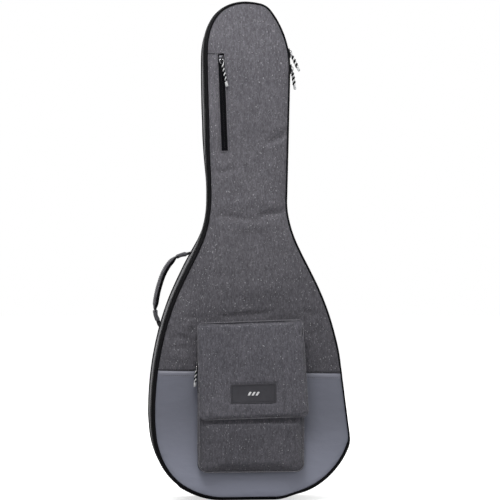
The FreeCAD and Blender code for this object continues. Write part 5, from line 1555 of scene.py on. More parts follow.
def build_flap():
    top = [np.array(FLAP[0]), np.array(FLAP[1])]
    tdir = (top[1] - top[0]) / np.linalg.norm(top[1] - top[0])
    down = np.array([tdir[1], -tdir[0]])
    lv = [(3.0, -109.7), (1.1, -110.2), (0.25, -111.4), (0.0, -113.0), (0.25, -114.6), (1.1, -115.8), (3.0, -116.3), (7.0, -116.5)]
    parts = [loop_solid(lv, flap_poly)]
    qa, qb = top[0] + tdir * 8, top[1] - tdir * 8
    prof = [(-78.6, 1.0), (-90.0, 0.6), (-100.0, 0.3), (-108.0, 0.4), (-113.0, 1.6), (-113.5, 7.0), (-108.0, 8.0), (-103.0, 6.4), (-92.0, 5.6), (-78.6, 5.2)]
    rings = []
    for f_ in np.linspace(0, 1, 40):
        c = qa + (qb - qa) * f_
        rings.append([((c + down * b)[0], a, (c + down * b)[1]) for a, b in prof])
    parts.append(tube_grid(np.array(rings) * MM, False))
    v, f = join_parts(parts)
    o = new_obj("flap_body", v, f, M["heather_flap"])
    fix_normals(o)
    remesh(o, 3.4, 3)
    co = get_co(o) / MM
    pin = np.clip((co[:, 1] + 104.0) / 6.0, 0, 1)
    puff(o, 3.0, 2.6, pin=pin, frames=16, seed=9)
    subdivide(o, 1)
    co = get_co(o) / MM
    co = fit_outline(co, flap_poly, co[:, 1] < -109, top=396.0)
    x, y, z = co[:, 0], co[:, 1], co[:, 2]
    front = bump01((-y - 112.0) / 3.0)
    lp = flap_poly(0.0, 1.5)
    kd = kdtree.KDTree(len(lp))
    for i, p in enumerate(lp):
        kd.insert((p[0], p[1], 0), i)
    kd.balance()
    e = np.array([kd.find((a, b, 0))[2] for a, b in zip(x, z)])
    y = y - front * np.clip(e / 30.0, 0, 1) * (undulate(x, z, 81.0, 1.4, 70.0, 60.0) + undulate(x, z, 82.0, 0.5, 22.0, 18.0))
    y = y + front * 0.9 * np.exp(-((e - 5.6) / 1.7) ** 2)
    # pressed flat where the badge is sewn on
    bx, bz = np.abs(x + 0.5) - 50.85, np.abs(z - 244.8) - 21.65
    inb = bump01((6.0 - np.maximum(bx, bz)) / 7.0) * front
    y = y * (1 - inb) + (-116.9) * inb
    # the back of the flap stays clear of the pocket's loop tape
    back = (y > -113.0) & (y < -104.0) & (z < 385)
    y = np.where(back, np.minimum(y, -109.5), y)
    y = np.maximum(y, -121.0)
    set_co(o, np.stack([x, y, z], 1) * MM)
    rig.ride(o, "pocket_flap")
    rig.replaces(o, "flap_panel")
    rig.slot(o, "heather_fabric")
    tree = bvh(o)
    lp = flap_poly(0.35, 2.0)
    path = np.stack([lp[:, 0], np.full(len(lp), -113.2), lp[:, 1]], 1)
    closed_tube("flap_edge", path, superellipse(1.2, 2.6, 12, 2.2), M["heather_edge"], "pocket_flap", slot="heather_fabric")
    lp = flap_poly(5.6, 2.0)
    pts, nr = drop(tree, np.stack([lp[:, 0], np.full(len(lp), -116.0), lp[:, 1]], 1), (0, 1, 0))
    stitches("flap_stitch", np.vstack([pts, pts[:1]]), (0, -1, 0), "pocket_flap", 4.6, 3.2, 0.42)
    strip_pad("flap_hook_tape", -43, 37, 205.5, 229.5, -109.4, -108.6, "pocket_flap", "flap_hook_strip")

    # badge: moulded rubber plate with a raised rim and three plain bars
    ang = math.radians(1.2)

    def badge_poly(inset):
        c = inset_poly([(-50.85, -21.65), (50.85, -21.65), (50.85, 21.65), (-50.85, 21.65)], inset)
        lp = round_poly(c, [max(2.5 - inset, 0.6)] * 4, 1.4)
        return np.stack([lp[:, 0] * math.cos(ang) - lp[:, 1] * math.sin(ang) - 0.5, lp[:, 0] * math.sin(ang) + lp[:, 1] * math.cos(ang) + 244.8], 1)
    lv = [(0.3, -116.5), (0.0, -116.9), (0.0, -117.9), (0.35, -118.25), (1.5, -118.3), (1.9, -117.95), (2.6, -117.9), (14.0, -117.9)]
    v, f = loop_solid(lv, badge_poly)
    o = new_obj("flap_badge_plate", v, f, M["badge"])
    fix_normals(o)
    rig.ride(o, "pocket_flap")
    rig.replaces(o, "flap_badge")
    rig.slot(o, "badge")
    parts = []
    for k in range(3):
        cx = -0.5 + (k - 1) * 9.0
        lpf = lambda i, cx=cx: round_poly(inset_poly([(cx - 5.0, 240.6), (cx + 0.0, 240.6), (cx + 5.0, 249.0), (cx + 0.0, 249.0)], i), [0.9 if i < 0.3 else 0.5] * 4, 0.7)
        parts.append(loop_solid([(0, -117.7), (0, -118.25), (0.4, -118.5), (1.0, -118.5)], lpf))
    v, f = join_parts(parts)
    o = new_obj("flap_badge_bars", v, f, M["mark"])
    fix_normals(o)
    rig.ride(o, "pocket_flap")
    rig.slot(o, "badge")
    lp = badge_poly(3.6)
    stitches("flap_badge_stitch", np.stack([np.append(lp[:, 0], lp[0, 0]), np.full(len(lp) + 1, -117.95), np.append(lp[:, 1], lp[0, 1])], 1), (0, -1, 0), "pocket_flap", 3.4, 2.3, 0.3, mat=M["thread_dark"])


# ================================================================ neck pocket zip
def nz_point(along, across, y):
    p = NZ_TOP + NZ_DIR * along + NZ_SIDE * across
    return (p[0], y, p[1])


def build_neck_zip():
    # tape in the welt
    us = np.linspace(-6.9, 6.9, 15)
    ts = np.linspace(0.5, NZ_LEN - 0.5, 110)
    rings = []
    for t in ts:
        top = [nz_point(t, u, -79.05 - 0.35 * (1 - (u / 6.9) ** 2)) for u in us]
        bot = [nz_point(t, u, -78.1) for u in us[::-1]]
        rings.append(top + bot)
    v, f = tube_grid(np.array(rings) * MM, False)
    o = new_obj("neck_zip_cloth", v, f, M["tape"])
    fix_normals(o)
    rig.ride(o, "front_lid")
    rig.replaces(o, "neck_zip_tape")
    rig.slot(o, "zip_tape")
    parts = []
    for k in range(int((NZ_LEN - 10) / 1.9)):
        t = 5 + k * 1.9
        sg = 1 if k % 2 else -1
        a = nz_point(t, -2.0 * sg, -79.5)
        b = nz_point(t + 0.2, 0.9 * sg, -80.0)
        parts.append(capsule(np.array(a) * MM, np.array(b) * MM, 0.56 * MM, 5))
    v, f = join_parts(parts)
    o = new_obj("neck_zip_teeth", v, f, M["coil"])
    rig.ride(o, "front_lid")
    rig.replaces(o, "neck_zip_coil")
    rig.slot(o, "zip_coil")
    # folded lips either side, and stitching beyond them
    for sg, nm in ((-1, "left"), (1, "right")):
        path = [nz_point(t, sg * 8.1, -80.1) for t in np.linspace(-1.0, NZ_LEN + 1.0, 90)]
        tube_on(f"neck_welt_{nm}", path, 0.95, M["heather"], "front_lid", slot="heather_fabric")
        path = [nz_point(t, sg * 10.6, -80.3) for t in np.linspace(-2.0, NZ_LEN + 2.0, 120)]
        stitches(f"neck_zip_stitch_{nm}", path, (0, -1, 0), "front_lid", 4.2, 2.9, 0.38)
    for t, nm in ((-1.6, "top"), (NZ_LEN + 1.6, "foot")):
        path = [nz_point(t, u, -80.0) for u in np.linspace(-8.6, 8.6, 14)]
        tube_on(f"neck_bar_{nm}", path, 1.0, M["heather"], "front_lid", slot="heather_fabric")
    # seam from the head's edge to the zip's top
    xs = np.linspace(-100.5, -79.0, 30)
    zz = 1003.2 - (xs + 100.5) * 0.02
    y, _ = front_y(xs, zz)
    path = np.stack([xs, y - 0.15, zz], 1)
    tube_on("neck_seam", path, 0.7, M["piping"], "front_lid", slot="heather_fabric")
    stitches("neck_seam_stitch", np.stack([xs, y - 0.1, zz - 3.0], 1), (0, -1, 0), "front_lid", 4.2, 2.9, 0.38)


# ================================================================ sliders and pulls
def placement(origin, x_axis, z_axis):
    z = Vector(z_axis).normalized()
    y = z.cross(Vector(x_axis)).normalized()
    x = y.cross(z)
    m = Matrix((x, y, z)).transposed().to_4x4()
    m.translation = Vector(origin)
    return m


def to_world(parts, m):
    out = []
    for v, f in parts:
        v = np.asarray(v, float)
        w = np.array([(m @ Vector(p)) for p in v])
        out.append((w * MM, f))
    return join_parts(out)


def plate(outline, x0, x1, bevel=0.5):
    """Slab in the local y-z plane between x0 and x1, with chamfered rims."""
    lp = lambda i: resample(np.vstack([inset_poly(outline, i), inset_poly(outline, i)[:1]]), n=33)[:-1]
    rings = []
    for i, x in ((bevel, x0), (0, x0 + bevel), (0, x1 - bevel), (bevel, x1)):
        q = lp(i)
        rings.append(np.stack([np.full(len(q), x), q[:, 0], q[:, 1]], 1))
    return tube_grid(rings, False)


def slider_mesh(half_y, front_y, length, gap, thick, flange_lo, both=True, arch=(13.0, 4.4)):
    h = length / 2
    body = [(-half_y, -h + 3), (-half_y * 0.72, -h), (front_y * 0.72, -h), (front_y, -h + 3), (front_y, h * 0.2), (front_y * 0.62, h), (-half_y * 0.62, h), (-half_y, h * 0.2)]
    parts = [plate(body, gap, gap + thick, 0.45)]
    fl = [(-half_y, -h + 3), (-half_y + 1.5, -h + 3), (-half_y + 1.5, h * 0.2), (-half_y, h * 0.2)]
    parts.append(plate(fl, flange_lo, gap + 0.3, 0.2))
    if both:
        parts.append(plate([(-b, c) for b, c in fl[::-1]], flange_lo, gap + 0.3, 0.2))
    # bridge
    L, H = arch
    path = smooth_path([(gap + thick - 0.6, 0, -L / 2 + 0.8), (gap + thick + H * 0.62, 0, -L / 2 + 1.6), (gap + thick + H - 0.65, 0, -L / 4), (gap + thick + H - 0.65, 0, L / 4), (gap + thick + H * 0.62, 0, L / 2 - 1.6), (gap + thick - 0.6, 0, L / 2 - 0.8)], 36)
    parts.append(sweep(path, (0, 1, 0), superellipse(0.62, 1.6, 12, 3)))
    # ridge along the crown
    path = np.array([(gap + thick + 0.05, 0, t) for t in np.linspace(-h + 2.5, h - 2.0, 12)])
    parts.append(sweep(path, (0, 1, 0), superellipse(0.35, 2.2, 10, 2.4)))
    return parts


def pull_parts(lean, cross, pivot_x, cord_long=26.0, dark=1.62, light=1.28, lay=1.5):
    """Bail, twisted cord in two strands and moulded end, in the slider's local frame."""
    r = 5.0
    th, cr = math.radians(lean), math.radians(cross)
    rot = Matrix.Rotation(th, 4, "Y") @ Matrix.Rotation(cr, 4, "X")
    m = Matrix.Translation((pivot_x, 0, 0)) @ rot

    def tf(v):
        return np.array([(m @ Vector(p)) for p in np.asarray(v, float)])
    # D-shaped wire: straight bar under the bridge
    q = round_poly([(-3.9, 0), (3.9, 0), (4.6, 5.5), (2.6, 10.0), (-2.6, 10.0), (-4.6, 5.5)], [1.6, 1.6, 2.5, 2.5, 2.5, 2.5], 0.6)
    path = np.stack([np.zeros(len(q)), q[:, 0], q[:, 1]], 1)
    t, side, upv = closed_sweep_frames(path, np.array([1.0, 0, 0]))
    prof = circle(0.85, 8)
    rings = [path[i] + side[i] * prof[:, :1] + upv[i] * prof[:, 1:] for i in range(len(path))]
    v, f = tube_grid(rings, True)
    bail = (tf(v), f)
    z0 = 2 * r + 0.2
    strands = []
    for k in range(2):
        ts = np.linspace(0, cord_long + 2.0, 90)
        ph = ts / 10.0 * 2 * math.pi + k * math.pi
        rad = lay * bump01((ts + 1.0) / 3.0)
        path = np.stack([rad * np.cos(ph), rad * np.sin(ph), z0 - 1.4 + ts], 1)
        v, f = sweep(path, (1, 0, 0.02), circle(dark if k == 0 else light, 8))
        strands.append((tf(v), f))
    # thin loop of cord through the bail
    path = smooth_path([(0.9, 0.9, z0 + 1.5), (1.6, 0, z0 - 1.2), (0, 0, z0 - 2.2), (-1.6, 0, z0 - 1.2), (-0.9, -0.9, z0 + 1.5)], 30)
    v, f = sweep(path, (0, 1, 0), circle(1.1, 8))
    loop = (tf(v), f)
    zt = z0 + cord_long - 0.5
    prof = [(0.6, -0.4), (2.2, 0.0), (2.9, 1.0), (3.1, 2.2), (2.7, 2.8), (3.15, 3.4), (3.2, 4.8), (2.8, 5.4), (3.2, 6.0), (3.2, 7.4), (2.8, 8.0), (3.0, 8.8), (2.7, 10.0), (1.6, 10.9), (0.5, 11.1)]
    rings = []
    for rr, zz in prof:
        a = np.linspace(0, 2 * math.pi, 14, endpoint=False)
        rings.append(np.stack([rr * 0.95 * np.cos(a), rr * 1.12 * np.sin(a), np.full(14, zt + zz)], 1))
    v, f = tube_grid(rings, False)
    tip = (tf(v), f)
    return bail, strands, loop, tip


def build_slider(name, m, kind, slider_body, pull_body, slider_node, pull_node, lean, cross, pivot_x, cord_long=26.0):
    if kind == "main":
        parts = slider_mesh(7.4, 5.4, 21.6, 2.1, 1.7, 0.9, both=False)
        parts.append(plate([(-7.0, -9.5), (5.4, -9.5), (5.4, 3), (3.4, 9.5), (-4.5, 9.5), (-7.0, 3)], -4.0, -2.35, 0.35))
    elif kind == "neck":
        parts = slider_mesh(6.0, 6.0, 17.6, 1.2, 1.5, 0.4, arch=(12.0, 4.2))
    else:
        parts = slider_mesh(6.0, 6.0, 15.8, 1.1, 1.5, 0.0, arch=(12.0, 4.2))
    v, f = to_world(parts, m)
    o = new_obj(name + "_slider_shell", v, f, M["metal"])
    fix_normals(o)
    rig.ride(o, slider_body)
    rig.replaces(o, slider_node)
    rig.slot(o, "slider_metal")
    thick = dict(dark=2.15, light=1.75, lay=2.0) if kind == "main" else {}
    bail, strands, loop, tip = pull_parts(lean, cross, pivot_x, cord_long, **thick)
    for nm, parts, mat, rep in (("bail", [bail], M["silver"], True), ("cord_dark", [strands[0]], M["cord_black"], False),
                                ("cord_light", [strands[1]], M["cord_white"], False), ("cord_loop", [loop], M["cord_black"], False), ("tip", [tip], M["tip"], False)):
        v, f = to_world(parts, m)
        o = new_obj(f"{name}_pull_{nm}", v, f, mat)
        fix_normals(o)
        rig.ride(o, pull_body)
        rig.slot(o, "pull_cord")
        if rep:
            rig.replaces(o, pull_node)


def build_sliders():
    k = s_near(85.7, 967.5)
    p3, n3 = FP[int(np.argmin((FP[:, 0] - 85.7) ** 2 + (FP[:, 1] - 967.5) ** 2))], None
    d = np.array([-0.02471772, -0.99969447])
    run = (967.5 - 972.0) / 0.99969447
    at = np.array([85.7, 967.5]) + d * run
    nrm = np.array([-d[1], d[0]])
    at = at + nrm * 2.5
    low = placement((at[0], -60.0, at[1]), (nrm[0], 0, nrm[1]), (d[0], 0, d[1]))
    build_slider("lower", low, "main", "lower_slider", "lower_pull", "main_slider_lower", "main_pull_lower", 10.0, 0.0, 5.30)
    a = math.radians(9.4)
    o = np.array([math.cos(a), math.sin(a)])
    at = np.array([-124.7, 972.7]) + o * (210.43 + 2.5)
    up = placement((at[0], -60.0, at[1]), (o[0], 0, o[1]), (o[1], 0, -o[0]))
    build_slider("upper", up, "main", "upper_slider", "upper_pull", "main_slider_upper", "main_pull_upper", 14.0, -13.0, 5.30)
    n_at = NZ_TOP + NZ_DIR * 13.0
    nz = placement((n_at[0], -78.5 - 2.6, n_at[1]), (0, -1, 0), (NZ_DIR[0], 0, NZ_DIR[1]))
    build_slider("neck", nz, "neck", "neck_zip_slider", "neck_zip_pull", "neck_slider", "neck_pull", 4.0, 9.0, 4.05, 42.0)
    kp = placement((-121.7, -96.0, 306.0), (-1, 0, 0), (0, 0, -1))
    build_slider("pocket", kp, "pocket", "pocket_zip_slider", "pocket_zip_pull", "pocket_slider", "pocket_pull", 6.0, 6.0, 3.95)


# ================================================================ handles, tabs and straps
def box_patch(path_mm, n_mm, size, body, name):
    """Sewn box with a cross inside, in thread. path_mm: centre, n_mm: (u, v) axes, size: (w, h)."""
    c = np.asarray(path_mm, float)
    u, v = [np.asarray(a, float) for a in n_mm]
    w, h = size[0] / 2, size[1] / 2
    q = [(-w, -h), (w, -h), (w, h), (-w, h), (-w, -h), (w, h)]
    q2 = [(-w, h), (w, -h)]
    nrm = np.cross(u, v)
    for i, pts in enumerate((q, q2)):
        p = np.array([c + u * a + v * b for a, b in pts])
        stitches(f"{name}_{i}", p, tuple(nrm), body, 3.6, 2.6, 0.36, mat=M["thread_dark"])


def flat_strap(path_mm, width, thick, up, name, mat, body, widths=None, rip=0.12, slot="webbing", closed=False, n=120):
    """Webbing along a path; width runs across `up`'s side direction."""
    p = resample(np.asarray(path_mm, float), n=n)
    t, side, upv = path_frames(p, np.asarray(up, float))
    rings = []
    for i in range(len(p)):
        w = (widths[min(i * len(widths) // len(p), len(widths) - 1)] if widths is not None and not callable(widths) else (widths(i / (len(p) - 1)) if widths else width)) / 2
        us = np.linspace(-1, 1, 17)
        ridge = 0.10 * np.cos(us * math.pi * 4)
        top = [p[i] + side[i] * w * k + upv[i] * (thick / 2 * (1 - 0.35 * abs(k) ** 8) + r_) for k, r_ in zip(us, ridge)]
        bot = [p[i] + side[i] * w * k - upv[i] * (thick / 2 * (1 - 0.35 * abs(k) ** 8) + r_) for k, r_ in zip(us[::-1], ridge[::-1])]
        rings.append(np.array(top + bot) * MM)
    v, f = tube_grid(np.array(rings), closed)
    o = new_obj(name, v, f, mat)
    fix_normals(o)
    if body:
        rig.ride(o, body)
    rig.slot(o, slot)
    return o


H_PATH = [(-137.5, 555), (-150, 553.2), (-165, 546.6), (-179.5, 530), (-190.5, 511), (-199, 488), (-205.8, 462), (-210.6, 436), (-209.8, 418), (-204, 404)]
G_PATH = [(-165.5, 546), (-179.5, 530), (-190.5, 511), (-199, 488), (-205.8, 462), (-210.5, 432.5)]


def build_side_handle():
    y0 = 15.0
    p = smooth_path([(a, y0, b) for a, b in H_PATH], 140)
    total = len(p)

    def wid(f):
        e = min(f, 1 - f)
        return 12.5 + 12.5 * bump01((e - 0.02) / 0.12)
    # width runs along y: the strap's normal lies in the x-z plane
    ctr = np.array([-120.0, y0, 470.0])
    flat_path(p, wid, 3.5, "handle_webbing", M["webbing"], "side_handle", ctr)
    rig.replaces(bpy.data.objects["handle_webbing"], "side_handle_webbing")
    g = smooth_path([(a, y0, b) for a, b in G_PATH], 90)
    t, side, out = planar_frames(g, ctr)
    yv = np.array([0, 1.0, 0])

    def grip_size(i):
        f = min(max(i, 0), len(g) - 1) / (len(g) - 1)
        pinch = bump01((min(f, 1 - f) + 0.03) / 0.13)
        return 15.0 * (0.68 + 0.32 * pinch), 6.5 * (0.58 + 0.42 * pinch), f

    def half_shell(name, lo, hi, grow, mat, wr_amp):
        """Cloth from lo to hi of the grip's thickness (1 = outer face, -1 = inner face)."""
        rings = []
        for i in range(len(g)):
            w, th, f = grip_size(i)
            w = w - 0.3 + grow
            wr = wr_amp * (math.sin(f * 60) + 0.7 * math.sin(f * 23 + 1))
            q = superellipse(w, th - 0.2 + wr * 0.5, 44, 2.7)
            yy = np.clip(q[:, 1], lo * th, hi * th)
            rings.append([g[i] + yv * a_ + out[i] * b_ for a_, b_ in zip(q[:, 0], yy)])

        def cap_ring(base, i, s_, d):
            base = np.array(base)
            c_ = base.mean(0)
            return list(c_ + (base - c_) * s_ + t[i] * d)
        rings = [cap_ring(rings[0], 0, 0.66, -2.2), cap_ring(rings[0], 0, 0.92, -1.2)] + rings + [cap_ring(rings[-1], -1, 0.92, 1.2), cap_ring(rings[-1], -1, 0.66, 2.2)]
        v, f = tube_grid(np.array(rings) * MM, False)
        o = new_obj(name, v, f, mat)
        fix_normals(o)
        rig.ride(o, "side_handle")
        return o
    o = half_shell("handle_grip_outer", 0.02, 1.0, 0.0, M["heather_grip"], 0.16)
    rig.replaces(o, "side_handle_grip")
    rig.slot(o, "heather_fabric")
    o = half_shell("handle_grip_inner", -1.0, -0.02, 0.0, M["piping"], 0.10)
    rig.slot(o, "heather_fabric")
    for sg, nm in ((-1, "front"), (1, "back")):
        path, path2 = [], []
        for i in range(2, len(g) - 2):
            w, th, f = grip_size(i)
            path.append(g[i] + yv * sg * (w - 0.2))
            path2.append(g[i] + yv * sg * w * 0.80 + out[i] * (th * 0.96 - 0.35))
        tube_on(f"handle_piping_{nm}", path, 1.2, M["piping"], "side_handle", up=(0, 1, 0.01), slot="piping")
        stitches(f"handle_stitch_{nm}", np.array(path2), tuple(out[len(out) // 2]), "side_handle", 4.6, 3.2, 0.42)
    for k, i0 in enumerate((6, len(g) - 7)):
        w, th, f = grip_size(i0)
        path = [g[i0] + yv * a_ + out[i0] * (th - 0.05) for a_ in np.linspace(-w * 0.6, w * 0.6, 12)]
        stitches(f"handle_bar_{k}", np.array(path), tuple(out[i0]), "side_handle", 3.0, 2.2, 0.42)
    # each end of the webbing is wrapped in a folded sleeve
    wraps = ([(-137.6, 555.0), (-146.0, 554.2), (-154.5, 551.6), (-163.0, 547.8)],
             [(-203.6, 403.6), (-206.9, 410.5), (-209.3, 417.6), (-210.3, 429.5)])

    def wrap_thick(k, f):
        return (2.7, 3.1)[k] * bump01((min(f, 1 - f) + 0.04) / 0.17) * (0.90 + 0.10 * math.sin(7 * f + k))
    for k, ctrl in enumerate(wraps):
        q_ = smooth_path([(a_, y0, b_) for a_, b_ in ctrl], 40)
        tt, _, oo = planar_frames(q_, ctr)
        rings = []
        for i in range(len(q_)):
            f = i / (len(q_) - 1)
            end = bump01((min(f, 1 - f) + 0.04) / 0.17)
            sec = superellipse(10.4 + 1.4 * end, 2.4 + wrap_thick(k, f), 30, 2.6)
            rings.append([q_[i] + np.array([0, 1.0, 0]) * a_ + oo[i] * b_ for a_, b_ in sec])
        v, f = tube_grid(np.array(rings) * MM, False)
        o = new_obj(f"handle_wrap_{k}", v, f, M["heather_grip"])
        fix_normals(o)
        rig.ride(o, "side_handle")
        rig.slot(o, "heather_fabric")
        for j, i in enumerate((8, 31) if k == 0 else (31,)):
            th = 2.4 + wrap_thick(k, i / 39)
            row = np.array([q_[i] + np.array([0, 1.0, 0]) * a_ + oo[i] * (th - 0.1) for a_ in np.linspace(-7, 7, 12)])
            stitches(f"handle_wrap_stitch_{k}_{j}", row, tuple(oo[i]), "side_handle", 3.2, 2.3, 0.4)
    # folded tabs that carry the webbing away from the wall
    tabs = (([(-117.0, 558.5), (-124.0, 558.6), (-131.0, 557.4), (-139.0, 555.2)], (-125.16, 563.71)),
            ([(-186.0, 383.5), (-193.0, 386.0), (-199.5, 392.0), (-204.4, 405.5)], (-201.385, 378.37)))
    for k, (ctrl, anchor) in enumerate(tabs):
        p = smooth_path([(a_, y0, b_) for a_, b_ in ctrl], 34)
        tt, _, oo = planar_frames(p, ctr)
        rings = []
        for i in range(len(p)):
            f = i / (len(p) - 1)
            hw = 12.6 - 5.6 * bump01((f - 0.45) / 0.55)
            th = 2.9 - 0.7 * f + (0.9, 2.0)[k] * bump01((f - 0.35) / 0.4)
            q = superellipse(hw, th, 30, 4.0)
            rings.append([p[i] + np.array([0, 1.0, 0]) * a_ + oo[i] * b_ for a_, b_ in q])
        v, f = tube_grid(np.array(rings) * MM, False)
        o = new_obj(f"handle_tab_{k}", v, f, M["webbing"])
        fix_normals(o)
        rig.ride(o, "rear_shell")
        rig.replaces(o, "side_handle_tabs")
        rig.slot(o, "webbing")
        i = 20
        lift = 2.9 - 0.7 * i / 33 + (0.9, 2.0)[k] * bump01((i / 33 - 0.35) / 0.4)
        box = np.array([p[i] + np.array([0, 1.0, 0]) * a_ + oo[i] * (lift - 0.05) for a_ in np.linspace(-7, 7, 12)])
        stitches(f"handle_tab_stitch_{k}", box, tuple(oo[i]), "rear_shell", 3.4, 2.4, 0.38, mat=M["thread"])


def planar_frames(p, centre):
    """For a path in a plane of constant y: tangent, y axis and outward normal."""
    t = np.gradient(p, axis=0)
    t /= np.linalg.norm(t, axis=1)[:, None]
    out = np.stack([t[:, 2], np.zeros(len(t)), -t[:, 0]], 1)
    mid = len(p) // 2
    if (p[mid] - centre) @ out[mid] < 0:
        out = -out
    return t, np.tile([0, 1.0, 0], (len(p), 1)), out


def flat_path(p, wid, thick, name, mat, body, centre, slot="webbing"):
    t, _, out = planar_frames(p, np.asarray(centre, float))
    rings = []
    for i in range(len(p)):
        w = (wid(i / (len(p) - 1)) if callable(wid) else wid) / 2
        us = np.linspace(-1, 1, 17)
        ridge = 0.10 * np.cos(us * math.pi * 4)
        top = [p[i] + np.array([0, w * k, 0]) + out[i] * (thick / 2 * (1 - 0.35 * abs(k) ** 8) + r_) for k, r_ in zip(us, ridge)]
        bot = [p[i] + np.array([0, w * k, 0]) - out[i] * (thick / 2 * (1 - 0.35 * abs(k) ** 8) + r_) for k, r_ in zip(us[::-1], ridge[::-1])]
        rings.append(np.array(top + bot) * MM)
    v, f = tube_grid(np.array(rings), False)
    o = new_obj(name, v, f, mat)
    fix_normals(o)
    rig.ride(o, body)
    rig.slot(o, slot)
    return o


def yz_strap(path, x_mid, wid, thick, name, mat, body, slot="webbing", bulge_=0.0, m=17):
    """Band whose path lies in y-z and whose width runs along x."""
    p = np.asarray(path, float)
    t = np.gradient(p, axis=0)
    t /= np.linalg.norm(t, axis=1)[:, None]
    nrm = np.stack([t[:, 1], -t[:, 0]], 1)
    if nrm[len(nrm) // 2][0] < 0:
        nrm = -nrm
    rings = []
    for i in range(len(p)):
        f = i / (len(p) - 1)
        w = (wid(f) if callable(wid) else wid) / 2
        h = (thick(f) if callable(thick) else thick) / 2
        us = np.linspace(-1, 1, m)
        top = [(x_mid + w * k, *(p[i] + nrm[i] * (h * (1 - abs(k) ** 6 * 0.4) + bulge_ * (1 - k * k)))) for k in us]
        bot = [(x_mid + w * k, *(p[i] - nrm[i] * (h * (1 - abs(k) ** 6 * 0.4)))) for k in us[::-1]]
        rings.append(np.array(top + bot) * MM)
    v, f = tube_grid(np.array(rings), False)
    o = new_obj(name, v, f, mat)
    fix_normals(o)
    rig.ride(o, body)
    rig.slot(o, slot)
    return o


